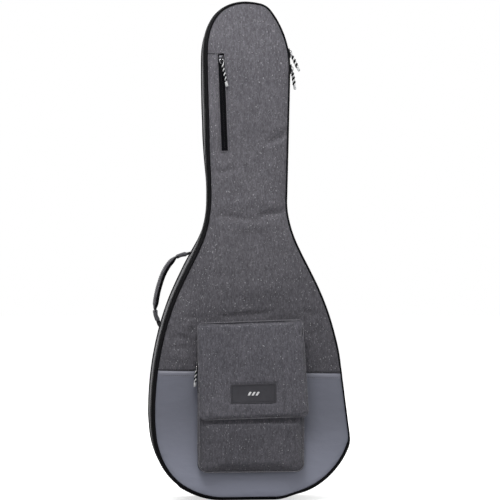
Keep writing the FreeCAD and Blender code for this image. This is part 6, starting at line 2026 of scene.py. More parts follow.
def build_rear_fittings():
    # grab handle
    ctrl = [(0, 86.9, 745), (0, 95, 752), (0, 104.6, 772), (0, 108.6, 807), (0, 104.6, 842), (0, 95, 862), (0, 86.9, 869)]
    p = smooth_path(ctrl, 90)[:, 1:]
    wid = lambda f: 12.0 + 13.0 * bump01((min(f, 1 - f) - 0.03) / 0.13)
    yz_strap(p, -7.0, wid, 4.6, "grab_handle_web", M["webbing"], "rear_handle")
    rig.replaces(bpy.data.objects["grab_handle_web"], "rear_grab_handle")
    # wrap round its middle with two rows of stitching
    k0, k1 = 27, 63
    yz_strap(p[k0:k1], -7.0, 26.0, 6.0, "grab_handle_wrap", M["rubber"], "rear_handle", slot="webbing")
    for sg in (-1, 1):
        t = np.gradient(p, axis=0)
        t /= np.linalg.norm(t, axis=1)[:, None]
        nr = np.stack([t[:, 1], -t[:, 0]], 1)
        if nr[len(nr) // 2][0] < 0:
            nr = -nr
        path = np.array([(-7.0 + sg * 9.8, *(p[i] + nr[i] * 3.05)) for i in range(k0 + 1, k1 - 1)])
        stitches(f"grab_handle_stitch_{'l' if sg < 0 else 'r'}", path, (0, 1, 0), "rear_handle", 4.4, 3.0, 0.4)
    for k, z in enumerate((739.0, 875.0)):
        rings = []
        for q, hw, hh in ((77.6, 12.6, 4.2), (79.2, 12.6, 4.4), (81.5, 12.4, 4.2), (84.5, 10.5, 3.6), (87.2, 7.4, 2.6)):
            prof = superellipse(hw, hh, 28, 3.4)
            s = 1 if k == 0 else -1
            rings.append([(-7.0 + a, q, z + b + (q - 78.0) * 0.22 * s) for a, b in prof])
        v, f = tube_grid(np.array(rings) * MM, False)
        o = new_obj(f"grab_tab_{k}", v, f, M["webbing"])
        fix_normals(o)
        subdivide(o, 1)
        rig.ride(o, "rear_shell")
        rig.replaces(o, "rear_handle_tabs")
        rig.slot(o, "webbing")
        sgn = -1 if k == 0 else 1
        patch_z = z + sgn * 15.0
        X, Z = np.meshgrid(np.linspace(-20.5, 6.5, 26), np.linspace(patch_z - 14, patch_z + 14, 20))
        e = np.minimum(np.minimum(X + 20.5, 6.5 - X), np.minimum(Z - patch_z + 14, patch_z + 14 - Z))
        Y = 78.2 + 1.5 * np.clip(e / 1.4, 0.2, 1) + 0.08 * np.cos(X * 1.1)
        g = grid_solid(f"grab_anchor_{k}", X, Z, Y, 77.6, M["webbing"], "rear_shell")
        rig.slot(g, "webbing")
        box_patch((-7.0, 79.85, patch_z), ((1, 0, 0), (0, 0, -1)), (20, 20), "rear_shell", f"grab_box_{k}")
    # hang loop
    pts = []
    for a in np.linspace(-90, 90, 50):
        pts.append((93.5 + 12.25 * math.cos(math.radians(a)), 1075 + 12.25 * math.sin(math.radians(a))))
    p = np.array([(79.9, 1062.8)] + [(86.0, 1062.75)] + pts + [(86.0, 1087.25), (79.9, 1087.2)])
    p = resample(np.c_[np.zeros(len(p)), p], n=90)[:, 1:]
    yz_strap(p, -7.0, 24.6, 2.3, "hang_loop_web", M["webbing"], "rear_shell")
    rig.replaces(bpy.data.objects["hang_loop_web"], "hang_loop")
    X, Z = np.meshgrid(np.linspace(-20.0, 6.0, 26), np.linspace(1045.5, 1088.5, 30))
    e = np.minimum(np.minimum(X + 20.0, 6.0 - X), np.minimum(Z - 1045.5, 1088.5 - Z))
    Y = 78.2 + 2.2 * np.clip(e / 1.6, 0.2, 1) + 0.08 * np.cos(X * 1.1)
    g = grid_solid("hang_loop_foot", X, Z, Y, 77.6, M["webbing"], "rear_shell")
    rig.slot(g, "webbing")
    box_patch((-7.0, 80.5, 1054.5), ((1, 0, 0), (0, 0, -1)), (20, 13), "rear_shell", "hang_box")
    # yoke: coated panel the pads are sewn to
    poly = lambda i: round_poly(inset_poly([(-61, 670), (47, 670), (61, 592), (-75, 592)], i), [10, 10, 10, 10], 2.0)
    lv = [(2.0, 78.0), (0.0, 78.7), (0.0, 79.9), (1.2, 80.6), (4.0, 80.8), (8.0, 80.9)]
    n = 260
    rings = []
    for inset, y in lv:
        lp = poly(inset)
        lp = resample(np.vstack([lp, lp[:1]]), n=n + 1)[:-1]
        rings.append(np.stack([lp[:, 0], np.full(n, y), lp[:, 1]], 1) * MM)
    v, f = tube_grid(rings, False)
    o = new_obj("yoke_panel", v, f, M["coated"])
    fix_normals(o)
    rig.ride(o, "rear_shell")
    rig.replaces(o, "strap_yoke")
    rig.slot(o, "coated_fabric")
    for inset, nm in ((3.2, "outer"), (7.0, "inner")):
        lp = poly(inset)
        stitches(f"yoke_stitch_{nm}", np.stack([np.append(lp[:, 0], lp[0, 0]), np.full(len(lp) + 1, 80.85), np.append(lp[:, 1], lp[0, 1])], 1), (0, 1, 0), "rear_shell", 4.6, 3.2, 0.4)


# ---------------------------------------------------------------- shoulder straps
S_SIDE = [(83.4, 634), (91.5, 600), (102, 540), (109, 458), (110, 380), (104, 312)]
S_HALF_T = [2.4, 4.4, 5.8, 6, 6, 5]
S_HALF_W = [27, 32, 34, 34, 32, 24]
S_PATH = {"left": [(-40, 650), (-45, 575), (-62, 500), (-84, 430), (-104, 365), (-116, 312)],
          "right": [(26, 650), (31, 575), (48, 500), (72, 430), (95, 365), (108, 312)]}
EYES = {"left": (np.array([-146, 94.328, 164.425]), np.array([0.22173, 0.07148, 0.97248])),
        "right": (np.array([146, 94.328, 164.425]), np.array([-0.27678, 0.07044, 0.95835]))}


def strap_curve(side, n=150):
    pth = np.array(S_PATH[side], float)
    sm = smooth_path([(a, 0, b) for a, b in pth], 300)
    zs = sm[:, 2]
    prof = smooth_path([(0, a, b) for a, b in S_SIDE], 300)
    order = np.argsort(prof[:, 2])
    z_new = np.linspace(633.0, 313.0, n)
    o2 = np.argsort(zs)
    x = np.interp(z_new, zs[o2], sm[o2, 0])
    y = np.interp(z_new, prof[order, 2], prof[order, 1])
    zc = [a[1] for a in pth]
    hw = np.interp(-z_new, [-a for a in zc], S_HALF_W)
    zt = [a[1] for a in S_SIDE]
    ht = np.interp(-z_new, [-a for a in zt], S_HALF_T)
    return np.stack([x, y, z_new], 1), hw, ht


def strap_frames(c):
    t = np.gradient(c, axis=0)
    t /= np.linalg.norm(t, axis=1)[:, None]
    # the band's width runs square to the path, flat to the back
    wdir = np.stack([-t[:, 2], np.zeros(len(t)), t[:, 0]], 1)
    wdir /= np.linalg.norm(wdir, axis=1)[:, None]
    wdir[wdir[:, 0] < 0] *= -1
    out = np.cross(wdir, t)
    out[out[:, 1] < 0] *= -1
    return t, wdir, out


def build_strap(side):
    body = f"strap_{side}"
    c, hw, ht = strap_curve(side, 150)
    # rounded ends
    n = len(c)
    e = np.minimum(np.arange(n), np.arange(n)[::-1]) * (320.0 / n)
    k_top = np.arange(n) * (320.0 / n)
    k_low = (n - 1 - np.arange(n)) * (320.0 / n)
    w = hw * np.sqrt(np.clip(1 - np.clip((10 - k_low) / 10, 0, 1) ** 2, 0.12, 1))
    w = w * np.sqrt(np.clip(1 - np.clip((4 - k_top) / 4, 0, 1) ** 2, 0.6, 1))
    t, wd, out = strap_frames(c)
    rings = []
    for i in range(n):
        prof = superellipse(w[i] - 0.6, ht[i] - 0.9, 44, 4.0)
        rings.append([c[i] + wd[i] * a + out[i] * b for a, b in prof])
    v, f = tube_grid(np.array(rings) * MM, False)
    o = new_obj(f"strap_{side}_cushion", v, f, M["heather"])
    fix_normals(o)
    remesh(o, 5.0, 2)
    co = get_co(o) / MM
    pin = np.clip((co[:, 2] - 625.0) / 5.0, 0, 1)
    puff(o, 2.5, 2.4, pin=pin, frames=14, seed=21 if side == "left" else 22)
    subdivide(o, 1)
    # quilt dimples across the outer face, seam line 5 mm inside the edge
    co = get_co(o) / MM
    ctree = kdtree.KDTree(n)
    for i in range(n):
        ctree.insert(tuple(c[i]), i)
    ctree.balance()
    idx = np.array([ctree.find(tuple(q))[1] for q in co])
    rel = co - c[idx]
    a = np.einsum("ij,ij->i", rel, wd[idx])
    b = np.einsum("ij,ij->i", rel, out[idx])
    edge = w[idx] - np.abs(a)
    face = bump01((np.abs(b) / ht[idx] - 0.45) / 0.3)
    along = c[idx][:, 2]
    inside = np.clip((edge - 5) / 8.0, 0, 1)
    dep = 0.8 * np.exp(-((edge - 5.2) / 1.7) ** 2)
    shift = -np.sign(b) * face * dep
    shift += np.sign(b) * face * inside * 0.35 * np.array([snoise(q[0] / 22, q[2] / 16, 31.0) for q in co])
    lim_out = bump01((b - (ht[idx] + 0.6)) / 1.0)
    co = co + out[idx] * shift[:, None]
    # keeps clear of the bag's back
    co[:, 1] = np.where(co[:, 1] < 79.2, 79.2 + (co[:, 1] - 79.2) * 0.1, co[:, 1])
    set_co(o, co * MM)
    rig.ride(o, body)
    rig.replaces(o, f"strap_{side}_pad")
    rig.slot(o, "heather_fabric")
    tree = bvh(o)
    # edge binding
    left = c + wd * (-(w + 0.2))[:, None]
    right = c + wd * (w + 0.2)[:, None]
    foot = c[-1] + t[-1] * 1.5
    arc = []
    loop = np.vstack([left[2:-2], [foot + wd[-1] * (-w[-1] * 0.8), foot, foot + wd[-1] * (w[-1] * 0.8)], right[2:-2][::-1]])
    lp = smooth_path([tuple(q) for q in loop[::4]], 420)
    vv, ff = sweep(lp * MM, (0, 1, 0.02), superellipse(1.3 * MM, 3.3 * MM, 14, 2.4))
    b_ = new_obj(f"strap_{side}_binding", vv, ff, M["piping"])
    fix_normals(b_)
    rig.ride(b_, body)
    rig.slot(b_, "heather_fabric")
    # stitch lines on the outer face
    for sg, nm in ((-1, "a"), (1, "b")):
        src = c + wd * (sg * (w - 5.2))[:, None]
        pts, nr = drop(tree, src[4:-6], (0, -1, 0))
        stitches(f"strap_{side}_stitch_{nm}", pts, (0, 1, 0), body, 4.8, 3.3, 0.42)
    # webbing sewn down the middle of the outer face
    q0, q1 = 12, n - 3
    src = c[q0:q1]
    pts, nr = drop(tree, src, (0, -1, 0))
    pts[:, 1] = np.convolve(np.pad(pts[:, 1], 6, mode="edge"), np.ones(13) / 13, mode="valid")
    pts[:, 1] += 0.5
    rings = []
    tt = np.gradient(pts, axis=0)
    tt /= np.linalg.norm(tt, axis=1)[:, None]
    for i in range(len(pts)):
        wdir = wd[q0 + i]
        nr_ = np.cross(wdir, tt[i])
        nr_ = nr_ if nr_[1] > 0 else -nr_
        us = np.linspace(-1, 1, 17)
        top = [pts[i] + wdir * 12.4 * k + nr_ * (1.0 - 0.4 * abs(k) ** 8 + 0.1 * math.cos(k * math.pi * 4)) for k in us]
        bot = [pts[i] + wdir * 12.4 * k - nr_ * 1.3 for k in us[::-1]]
        rings.append(np.array(top + bot) * MM)
    v, f = tube_grid(np.array(rings), False)
    o2 = new_obj(f"strap_{side}_sewn_web", v, f, M["webbing"])
    fix_normals(o2)
    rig.ride(o2, body)
    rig.slot(o2, "webbing")
    for k in (0.10, 0.5, 0.94):
        i = int(k * (len(pts) - 1))
        i = min(max(i, 6), len(pts) - 7)
        wdir = wd[q0 + i]
        cc = pts[i] + np.array([0, 1.15, 0])
        box_patch(cc, (tuple(wdir), tuple(tt[i])), (18, 16), body, f"strap_{side}_tack_{int(k * 100)}")
    # air mesh on the side worn against the body (facing the bag)
    for sgn in (1,):
        src = c[8:-8]
        g_n = 21
        Xs, Ys, Zs = [], [], []
        rings = []
        for i in range(8, n - 8):
            row_a, row_b = [], []
            ww = w[i] - 6.5
            for k in np.linspace(-1, 1, g_n):
                q = c[i] + wd[i] * ww * k
                row_a.append(q)
            pa, _ = drop(tree, row_a, (0, 1, 0), default=None)
            ok = pa[:, 1]
            # lies 0.5 mm proud of the pad's inner face
            row = [tuple(q - np.array([0, 0.55, 0])) for q in pa] + [tuple(q + np.array([0, 0.8, 0])) for q in pa[::-1]]
            rings.append(row)
        v, f = tube_grid(np.array(rings) * MM, False)
        o3 = new_obj(f"strap_{side}_mesh", v, f, M["mesh"])
        fix_normals(o3)
        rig.ride(o3, body)
        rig.slot(o3, "mesh")
    # ---- lower webbing, ladder lock and hook, along the straight pull
    eye, run = EYES[side]
    lower_end = np.array([S_PATH[side][-1][0], 104.0, 312.0])
    reach = (lower_end - eye) @ run
    lock_at = reach - 29.0
    xa = np.array([run[2], 0, -run[0]])
    xa /= np.linalg.norm(xa)
    ya = np.cross(run, xa)
    if ya[1] < 0:
        ya = -ya

    def L(s, x=0.0, y=0.0):
        return eye + run * s + xa * x + ya * y
    # adjusting strap: through the hook's bar, up to the lock, tail hanging
    p = np.array([L(s, 0, -3.7) for s in np.linspace(23.0, lock_at + 13, 90)])
    ruler_strap(p, xa, ya, 12.4, 1.9, f"strap_{side}_adjuster", body, f"strap_{side}_webbing")
    p = np.array([L(s, 0, 3.7) for s in np.linspace(lock_at + 10.5, lock_at + 37.5, 40)])
    ruler_strap(p, xa, ya, 12.4, 1.9, f"strap_{side}_tongue", body, None)
    # loose tail with a folded end, hanging from the lock's front bar
    tail = smooth_path([tuple(L(lock_at + 13, 0, -3.7)), tuple(L(lock_at + 19, 0, -4.4)), tuple(L(lock_at + 21.5, 0, -1.0)), tuple(L(lock_at + 19.0, 0, 4.6)), tuple(L(lock_at + 10, 0, 6.3)), tuple(L(lock_at - 16, 0, 7.2)), tuple(L(lock_at - 44, 0, 5.6))], 110)
    ruler_strap(tail, xa, ya, 12.3, 1.7, f"strap_{side}_tail", body, None)
    te = tail[-6:]
    ruler_strap(np.array([tail[-1] + (tail[-8] - tail[-1]) * k for k in np.linspace(-0.02, 1.0, 12)]) + ya * 1.5, xa, ya, 12.4, 1.6, f"strap_{side}_tail_fold", body, None)
    # ladder lock
    build_ladder(side, L, lock_at, xa, ya, run, body)
    build_hook(side, L, xa, ya, run)
    build_ring(side)


def ruler_strap(p, xa, ya, half_w, thick, name, body, node):
    t = np.gradient(p, axis=0)
    t /= np.linalg.norm(t, axis=1)[:, None]
    rings = []
    us = np.linspace(-1, 1, 15)
    for i in range(len(p)):
        nr = np.cross(t[i], xa)
        nr /= np.linalg.norm(nr)
        top = [p[i] + xa * half_w * k + nr * (thick / 2 * (1 - 0.35 * abs(k) ** 8) + 0.08 * math.cos(k * math.pi * 4)) for k in us]
        bot = [p[i] + xa * half_w * k - nr * (thick / 2 * (1 - 0.35 * abs(k) ** 8) + 0.08 * math.cos(k * math.pi * 4)) for k in us[::-1]]
        rings.append(np.array(top + bot) * MM)
    v, f = tube_grid(np.array(rings), False)
    o = new_obj(name, v, f, M["webbing"])
    fix_normals(o)
    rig.ride(o, body)
    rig.slot(o, "webbing")
    if node:
        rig.replaces(o, node)
    return o


def build_ladder(side, L, s0, xa, ya, run, body):
    parts = []

    def bar(sa, sb, y0, y1, x_half=18.0, r=0.9):
        poly = round_poly([(sa, y0), (sb, y0), (sb, y1), (sa, y1)], [r] * 4, 0.5)
        rings = []
        for x, k in ((-x_half, 0.8), (-x_half + 0.8, 1.0), (x_half - 0.8, 1.0), (x_half, 0.8)):
            c = poly.mean(0)
            q = c + (poly - c) * k
            rings.append([L(a, x, b) for a, b in q])
        parts.append(tube_grid(np.array(rings) * MM, False))

    def rail(x0, x1):
        poly = round_poly([(s0, -2.4), (s0 + 26, -2.4), (s0 + 26, 2.4), (s0, 2.4)], [1.8] * 4, 0.6)
        rings = []
        for x, k in ((x0, 0.9), (x0 + 0.7, 1.0), (x1 - 0.7, 1.0), (x1, 0.9)):
            c = poly.mean(0)
            q = np.stack([c[0] + (poly[:, 0] - c[0]) * (1 - (1 - k) * 0.3), c[1] + (poly[:, 1] - c[1]) * k], 1)
            rings.append([L(a, x, b) for a, b in q])
        parts.append(tube_grid(np.array(rings) * MM, False))
    bar(s0 + 0.0, s0 + 3.2, -2.4, 2.4)
    bar(s0 + 9.6, s0 + 13.4, -2.4, 2.0)
    bar(s0 + 21.6, s0 + 26.0, -2.4, 2.4)
    rail(-18.0, -13.6)
    rail(13.6, 18.0)
    # thumb lip on the lower bar
    poly = [(s0 - 3.2, 2.6), (s0 - 3.0, 4.0), (s0 + 0.4, 2.4), (s0 + 2.4, 1.4), (s0 + 0.6, 0.2), (s0 - 1.0, 1.2)]
    rings = []
    for x, k in ((-13.5, 0.85), (-12.5, 1.0), (12.5, 1.0), (13.5, 0.85)):
        q = np.array(poly)
        c = q.mean(0)
        q = c + (q - c) * k
        rings.append([L(a, x, b) for a, b in q])
    parts.append(tube_grid(np.array(rings) * MM, False))
    v, f = join_parts(parts)
    o = new_obj(f"ladder_{side}", v, f, M["buckle"])
    fix_normals(o)
    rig.ride(o, body)
    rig.replaces(o, f"ladder_lock_{side}")
    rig.slot(o, "buckle")


def build_hook(side, L, xa, ya, run):
    parts = []
    body = f"hook_{side}"
    # hook: flat-sided C of 4 x 5 mm round the ring
    rings = []
    angs = np.radians(np.linspace(215, 505, 64))
    for k, a in enumerate(angs):
        c_y, c_s = math.cos(a), math.sin(a)
        f = k / (len(angs) - 1)
        e = min(f, 1 - f)
        sc = 0.72 + 0.28 * bump01(e / 0.05)
        prof = superellipse(2.45 * sc, 1.95 * sc, 20, 3.0)
        rings.append([L((8.0 + b) * c_s, a_, (8.0 + b) * c_y) for a_, b in prof])
    parts.append(tube_grid(np.array(rings) * MM, False))
    # spring gate closing the mouth
    rings = []
    for k, f in enumerate(np.linspace(0, 1, 16)):
        a = math.radians(145 + 70 * f)
        p_y, p_s = 8.0 * math.cos(a), 8.0 * math.sin(a)
        q0 = np.array([8.0 * math.cos(math.radians(143)), 8.0 * math.sin(math.radians(143))])
        q1 = np.array([8.0 * math.cos(math.radians(217)), 8.0 * math.sin(math.radians(217))])
        q = q0 + (q1 - q0) * f
        q[0] -= 0.9 * math.sin(math.pi * f)
        prof = superellipse(1.75, 0.75, 14, 3.0)
        rings.append([L(q[1], a_, q[0] + b) for a_, b in prof])
    parts.append(tube_grid(np.array(rings) * MM, False))
    # thumb button on the gate
    rings = []
    for rr, h in ((1.5, 0.0), (1.5, 1.4), (1.1, 1.9), (0.4, 2.0)):
        a = np.linspace(0, 2 * math.pi, 12, endpoint=False)
        rings.append([L(rr * math.sin(t), rr * math.cos(t), -6.9 - 0.9 - h + 0.4) for t in a])
    parts.append(tube_grid(np.array(rings) * MM, False))
    # neck, collar and swivel shank: turned profile
    prof = [(2.6, 6.6), (3.4, 7.4), (4.3, 8.6), (4.4, 9.2), (4.4, 10.9), (4.2, 11.4), (3.1, 11.8), (2.7, 12.4), (2.6, 14.0)]
    rings = []
    for rr, s in prof:
        a = np.linspace(0, 2 * math.pi, 22, endpoint=False)
        rings.append([L(s, rr * math.cos(t), rr * math.sin(t)) for t in a])
    parts.append(tube_grid(np.array(rings) * MM, False))
    v, f = join_parts(parts)
    o = new_obj(f"hook_{side}_metal", v, f, M["metal"])
    fix_normals(o)
    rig.ride(o, body)
    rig.replaces(o, f"snap_hook_{side}")
    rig.slot(o, "hardware")
    # webbing loop frame (stays with the strap)
    rings = []
    poly = round_poly([(12.7, -4.6), (25.3, -4.6), (25.3, 4.6), (12.7, 4.6)], [2.4] * 4, 0.7)
    for x, k in ((-13.4, 0.86), (-12.8, 1.0), (12.8, 1.0), (13.4, 0.86)):
        c = poly.mean(0)
        q = c + (poly - c) * k
        rings.append([L(a, x, b) for a, b in q])
    v, f = tube_grid(np.array(rings) * MM, False)
    o = new_obj(f"hook_{side}_wrap", v, f, M["webbing"])
    fix_normals(o)
    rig.ride(o, f"strap_{side}")
    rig.slot(o, "webbing")
    path = np.array([L(20.0, x, 4.75) for x in np.linspace(-11, 11, 16)])
    stitches(f"hook_{side}_stitch", path, tuple(ya), f"strap_{side}", 3.2, 2.3, 0.38)


def build_ring(side):
    s = -1 if side == "left" else 1
    c = np.array([146.0 * s, 84.0, 145.0])
    a = math.radians(28)
    zu = np.array([0, math.sin(a), math.cos(a)])
    xu = np.array([1.0, 0, 0])
    q = round_poly([(-16, 0), (16, 0), (16, 9), (9.5, 20), (-9.5, 20), (-16, 9)], [1.6, 1.6, 7, 8, 8, 7], 0.8)
    path = np.array([c + xu * u + zu * v for u, v in q])
    t, sd, upv = closed_sweep_frames(path, np.cross(xu, zu))
    prof = circle(1.95, 12)
    rings = [(path[i] + sd[i] * prof[:, :1] + upv[i] * prof[:, 1:]) * MM for i in range(len(path))]
    v, f = tube_grid(rings, True)
    o = new_obj(f"ring_{side}_wire", v, f, M["silver"])
    fix_normals(o)
    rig.ride(o, f"ring_{side}")
    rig.replaces(o, f"d_ring_{side}")
    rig.slot(o, "hardware")
    # base tab: webbing folded round the bar and sewn flat
    # sleeve
    ctr = [(79.6, 111.5), (79.8, 120), (80.2, 132), (81.2, 140.0)]
    arc = [(84.0 + 3.0 * math.cos(math.radians(b)), 145.0 + 3.0 * math.sin(math.radians(b))) for b in np.linspace(-25, 205, 30)]
    lead = [(84.4, 132.0), (86.3, 138.5)]
    back = [(80.2, 140.5), (79.7, 136.0)]
    line = [(80.9, 111.6), (81.2, 122.0), (83.2, 133.0), (86.2, 140.0)] + arc + back
    p = resample(np.array([(0, a_, b_) for a_, b_ in line]), n=110)
    p = np.stack([p[:, 0], np.convolve(np.pad(p[:, 1], 2, mode="edge"), np.ones(5) / 5, mode="valid"), np.convolve(np.pad(p[:, 2], 2, mode="edge"), np.ones(5) / 5, mode="valid")], 1)[:, 1:]
    yz_strap(p, 146.0 * s, 24.0, 1.5, f"base_tab_{side}", M["webbing"], "rear_shell")
    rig.replaces(bpy.data.objects[f"base_tab_{side}"], "strap_base_tabs")
    X, Z = np.meshgrid(np.linspace(146 * s - 12, 146 * s + 12, 22), np.linspace(111.2, 139.0, 22))
    e = np.minimum(np.minimum(X - 146 * s + 12, 146 * s + 12 - X), np.minimum(Z - 111.2, 139.0 - Z))
    Y = 78.2 + 2.0 * np.clip(e / 1.2, 0.2, 1) + 0.08 * np.cos(X * 1.1)
    g = grid_solid(f"base_tab_foot_{side}", X, Z, Y, 77.6, M["webbing"], "rear_shell")
    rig.slot(g, "webbing")
    box_patch((146.0 * s, 82.0, 119.0), ((1, 0, 0), (0, 0, -1)), (18, 12), "rear_shell", f"base_box_{side}")


# ================================================================ inside fittings and base
def build_inside():
    # moulded base bumper: rounded rail following the outline under the bag
    s_lo = s_near(-164.0, 42.0)
    s_hi = s_near(158.0, 42.0)
    lo, hi = min(s_lo, s_hi), max(s_lo, s_hi)
    span = hi - lo
    if span > PERIM / 2:
        ss = np.linspace(hi, lo + PERIM, 260) % PERIM
    else:
        ss = np.linspace(lo, hi, 260)
    rings = []
    P0, _ = at_s(ss)
    for k, s in enumerate(ss):
        f = k / (len(ss) - 1)
        e = min(f, 1 - f)
        taper = bump01(e / 0.035)
        th = 0.9 + 2.5 * taper
        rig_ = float(floor_part(P0[k][1]))
        prof = [(5.2, -43.6), (5.4 + th * 0.6, -43.9), (5.4 + th * 0.95, -42.0), (5.4 + th, -38.0), (5.4 + th * 0.86, -30), (5.4 + th, -22), (5.4 + th * 0.86, -8), (5.4 + th, 0),
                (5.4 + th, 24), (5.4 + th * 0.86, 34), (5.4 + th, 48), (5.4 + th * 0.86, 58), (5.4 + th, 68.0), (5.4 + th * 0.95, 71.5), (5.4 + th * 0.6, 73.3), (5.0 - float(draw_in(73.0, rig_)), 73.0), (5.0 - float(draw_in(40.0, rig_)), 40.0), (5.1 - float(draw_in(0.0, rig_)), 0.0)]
        rings.append(prof)
    P, Nn = at_s(ss)
    out = []
    for i in range(len(ss)):
        out.append([(P[i][0] + Nn[i][0] * a, b, max(P[i][1] + Nn[i][1] * a, 0.02)) for a, b in rings[i]])
    v, f = tube_grid(np.array(out) * MM, False)
    o = new_obj("bumper_rail", v, f, M["rubber"])
    fix_normals(o)
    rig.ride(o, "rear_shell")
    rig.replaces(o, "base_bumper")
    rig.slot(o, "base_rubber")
    # raised treads under the bag
    parts = []
    for k in range(30, 230, 5):
        p0, n0 = P[k], Nn[k]
        if p0[1] + n0[1] * 9 > 3.0:
            pass
        a = (p0[0] + n0[0] * 8.55, -30.0, max(p0[1] + n0[1] * 8.55, 0.45))
        b = (p0[0] + n0[0] * 8.55, 60.0, max(p0[1] + n0[1] * 8.55, 0.45))
        parts.append(capsule(np.array(a) * MM, np.array(b) * MM, 0.42 * MM, 8))
    v, f = join_parts(parts)
    o = new_obj("bumper_treads", v, f, M["rubber"])
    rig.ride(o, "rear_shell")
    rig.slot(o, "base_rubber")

    # neck cradle: padded block with a rounded notch
    poly = []
    x0, x1, y0, y1 = -61, 47, -22, 59.3
    cx, cy, r = -7.0, -25.0, 30.0
    dx = math.sqrt(r * r - (y0 - cy) ** 2)
    arc = [(cx + r * math.cos(math.radians(a)), cy + r * math.sin(math.radians(a))) for a in np.linspace(math.degrees(math.atan2(y0 - cy, dx)), 180 - math.degrees(math.atan2(y0 - cy, dx)), 30)]
    ring = [(x1, y0), (x1, y1), (x0, y1), (x0, y0)] + [(q[0], q[1]) for q in arc[::-1]]
    base = round_poly(ring, [5] * 4 + [2.5] + [0.0] * 28 + [2.5], 1.6)
    base = resample(np.vstack([base, base[:1]]).astype(float), n=241)[:-1] if base.shape[1] == 2 else base
    c = base.mean(0)
    rings = []
    for z, k in ((640.4, 5.0), (641.6, 2.2), (644.5, 0.6), (649.0, 0.0), (680.0, -0.2), (711.0, 0.0), (715.5, 0.6), (718.4, 2.2), (719.6, 5.0)):
        t_ = np.roll(base, -1, 0) - np.roll(base, 1, 0)
        t_ /= np.linalg.norm(t_, axis=1)[:, None] + 1e-9
        nn = np.stack([t_[:, 1], -t_[:, 0]], 1)
        area = 0.5 * np.sum(base[:, 0] * np.roll(base[:, 1], -1) - np.roll(base[:, 0], -1) * base[:, 1])
        if area < 0:
            nn = -nn
        q = base - nn * k
        rings.append(np.stack([q[:, 0], q[:, 1], np.full(len(q), z)], 1) * MM)
    v, f = tube_grid(rings, False)
    o = new_obj("cradle_cushion", v, f, M["lining"])
    fix_normals(o)
    remesh(o, 3.6, 2)
    puff(o, 1.6, 1.2, pin=None, frames=10, seed=41)
    co = get_co(o) / MM
    co[:, 1] = np.minimum(co[:, 1], 59.6)
    co[:, 0] = np.clip(co[:, 0], -61.4, 47.4)
    set_co(o, co * MM)
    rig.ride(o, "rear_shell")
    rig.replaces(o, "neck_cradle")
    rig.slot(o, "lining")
    for z in (644.0, 716.0):
        q = base
        path = np.stack([q[:, 0], np.minimum(q[:, 1], 59.0), np.full(len(q), z)], 1)
        path = np.stack([path[:, 0], path[:, 1], path[:, 2]], 1)
        closed_tube(f"cradle_seam_{int(z)}", path, circle(0.9, 6), M["lining_dark"], "rear_shell", up=(0, 0, 1), slot="lining")

    # neck strap: hook-and-loop band over the cradle
    band = [(-62.9, 9.0), (-62.9, -25.0), (-62.0, -35.0), (-57.0, -43.5), (-50.0, -50.5), (-44.0, -54.4), (-30.0, -55.2), (-7.0, -55.3), (16.0, -55.2), (30.0, -54.4), (36.0, -50.5), (43.0, -43.5), (48.0, -35.0), (48.9, -25.0), (48.9, 9.0)]
    p = smooth_path([(a, b, 679.5) for a, b in band], 160)
    t = np.gradient(p, axis=0)
    t /= np.linalg.norm(t, axis=1)[:, None]
    zz = np.array([0, 0, 1.0])
    rings = []
    for i in range(len(p)):
        nr = np.cross(t[i], zz)
        f_ = i / (len(p) - 1)
        hw = 17.3
        us = np.linspace(-1, 1, 15)
        top = [p[i] + zz * hw * k + nr * (1.15 * (1 - 0.35 * abs(k) ** 8)) for k in us]
        bot = [p[i] + zz * hw * k - nr * (1.15 * (1 - 0.35 * abs(k) ** 8)) for k in us[::-1]]
        rings.append(np.array(top + bot) * MM)
    v, f = tube_grid(np.array(rings), False)
    o = new_obj("neck_band", v, f, M["tape_inner"])
    fix_normals(o)
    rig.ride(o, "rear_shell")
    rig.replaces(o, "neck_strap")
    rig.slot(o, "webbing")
    for dz in (-15.0, 15.0):
        path = p[4:-4] + zz * dz
        nr = np.cross(t[4:-4], zz)
        sgn = -1 if nr[len(nr) // 2][1] > 0 else 1
        stitches(f"neck_band_stitch_{'lo' if dz < 0 else 'hi'}", path + nr * 1.2 * sgn, (0, -1, 0), "rear_shell", 4.6, 3.2, 0.38)
    pf = [(-20, -56.6), (12, -56.6)]
    X, Z = np.meshgrid(np.linspace(-24, 10, 30), np.linspace(664.5, 694.5, 26))
    e = np.minimum(np.minimum(X + 24, 10 - X), np.minimum(Z - 664.5, 694.5 - Z))
    Y = -56.2 - 0.8 * np.clip(e / 1.2, 0.1, 1) + rng.uniform(-0.1, 0.1, X.shape) * (e > 0.5)
    g = grid_solid("neck_band_fastener", X, Z, Y, -55.6, M["hook_tape"], "rear_shell")
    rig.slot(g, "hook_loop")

    # tail block
    base = round_poly([(-55.5, -30), (48.5, -30), (48.5, 50), (-55.5, 50)], [7] * 4, 2.0)
    c = base.mean(0)
    rings = []
    for z, k in ((24.6, 5.0), (25.6, 2.2), (28.0, 0.5), (31.0, 0.0), (35.5, 0.0), (38.8, 0.5), (41.0, 2.2), (42.0, 5.0)):
        q = round_poly([(-55.5 + k, -30 + k), (48.5 - k, -30 + k), (48.5 - k, 50 - k), (-55.5 + k, 50 - k)], [max(7 - k, 2)] * 4, 2.0)
        q = resample(np.vstack([q, q[:1]]), n=161)[:-1]
        rings.append(np.stack([q[:, 0], q[:, 1], np.full(len(q), z)], 1) * MM)
    v, f = tube_grid(rings, False)
    o = new_obj("tail_cushion", v, f, M["lining"])
    fix_normals(o)
    remesh(o, 3.6, 2)
    puff(o, 1.6, 1.0, pin=None, frames=10, seed=43)
    co = get_co(o) / MM
    co[:, 2] = np.clip(co[:, 2], 24.2, 43.2)
    set_co(o, co * MM)
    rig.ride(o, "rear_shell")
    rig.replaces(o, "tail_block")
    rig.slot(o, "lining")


# ================================================================ build everything
build_front()
lid_inside()
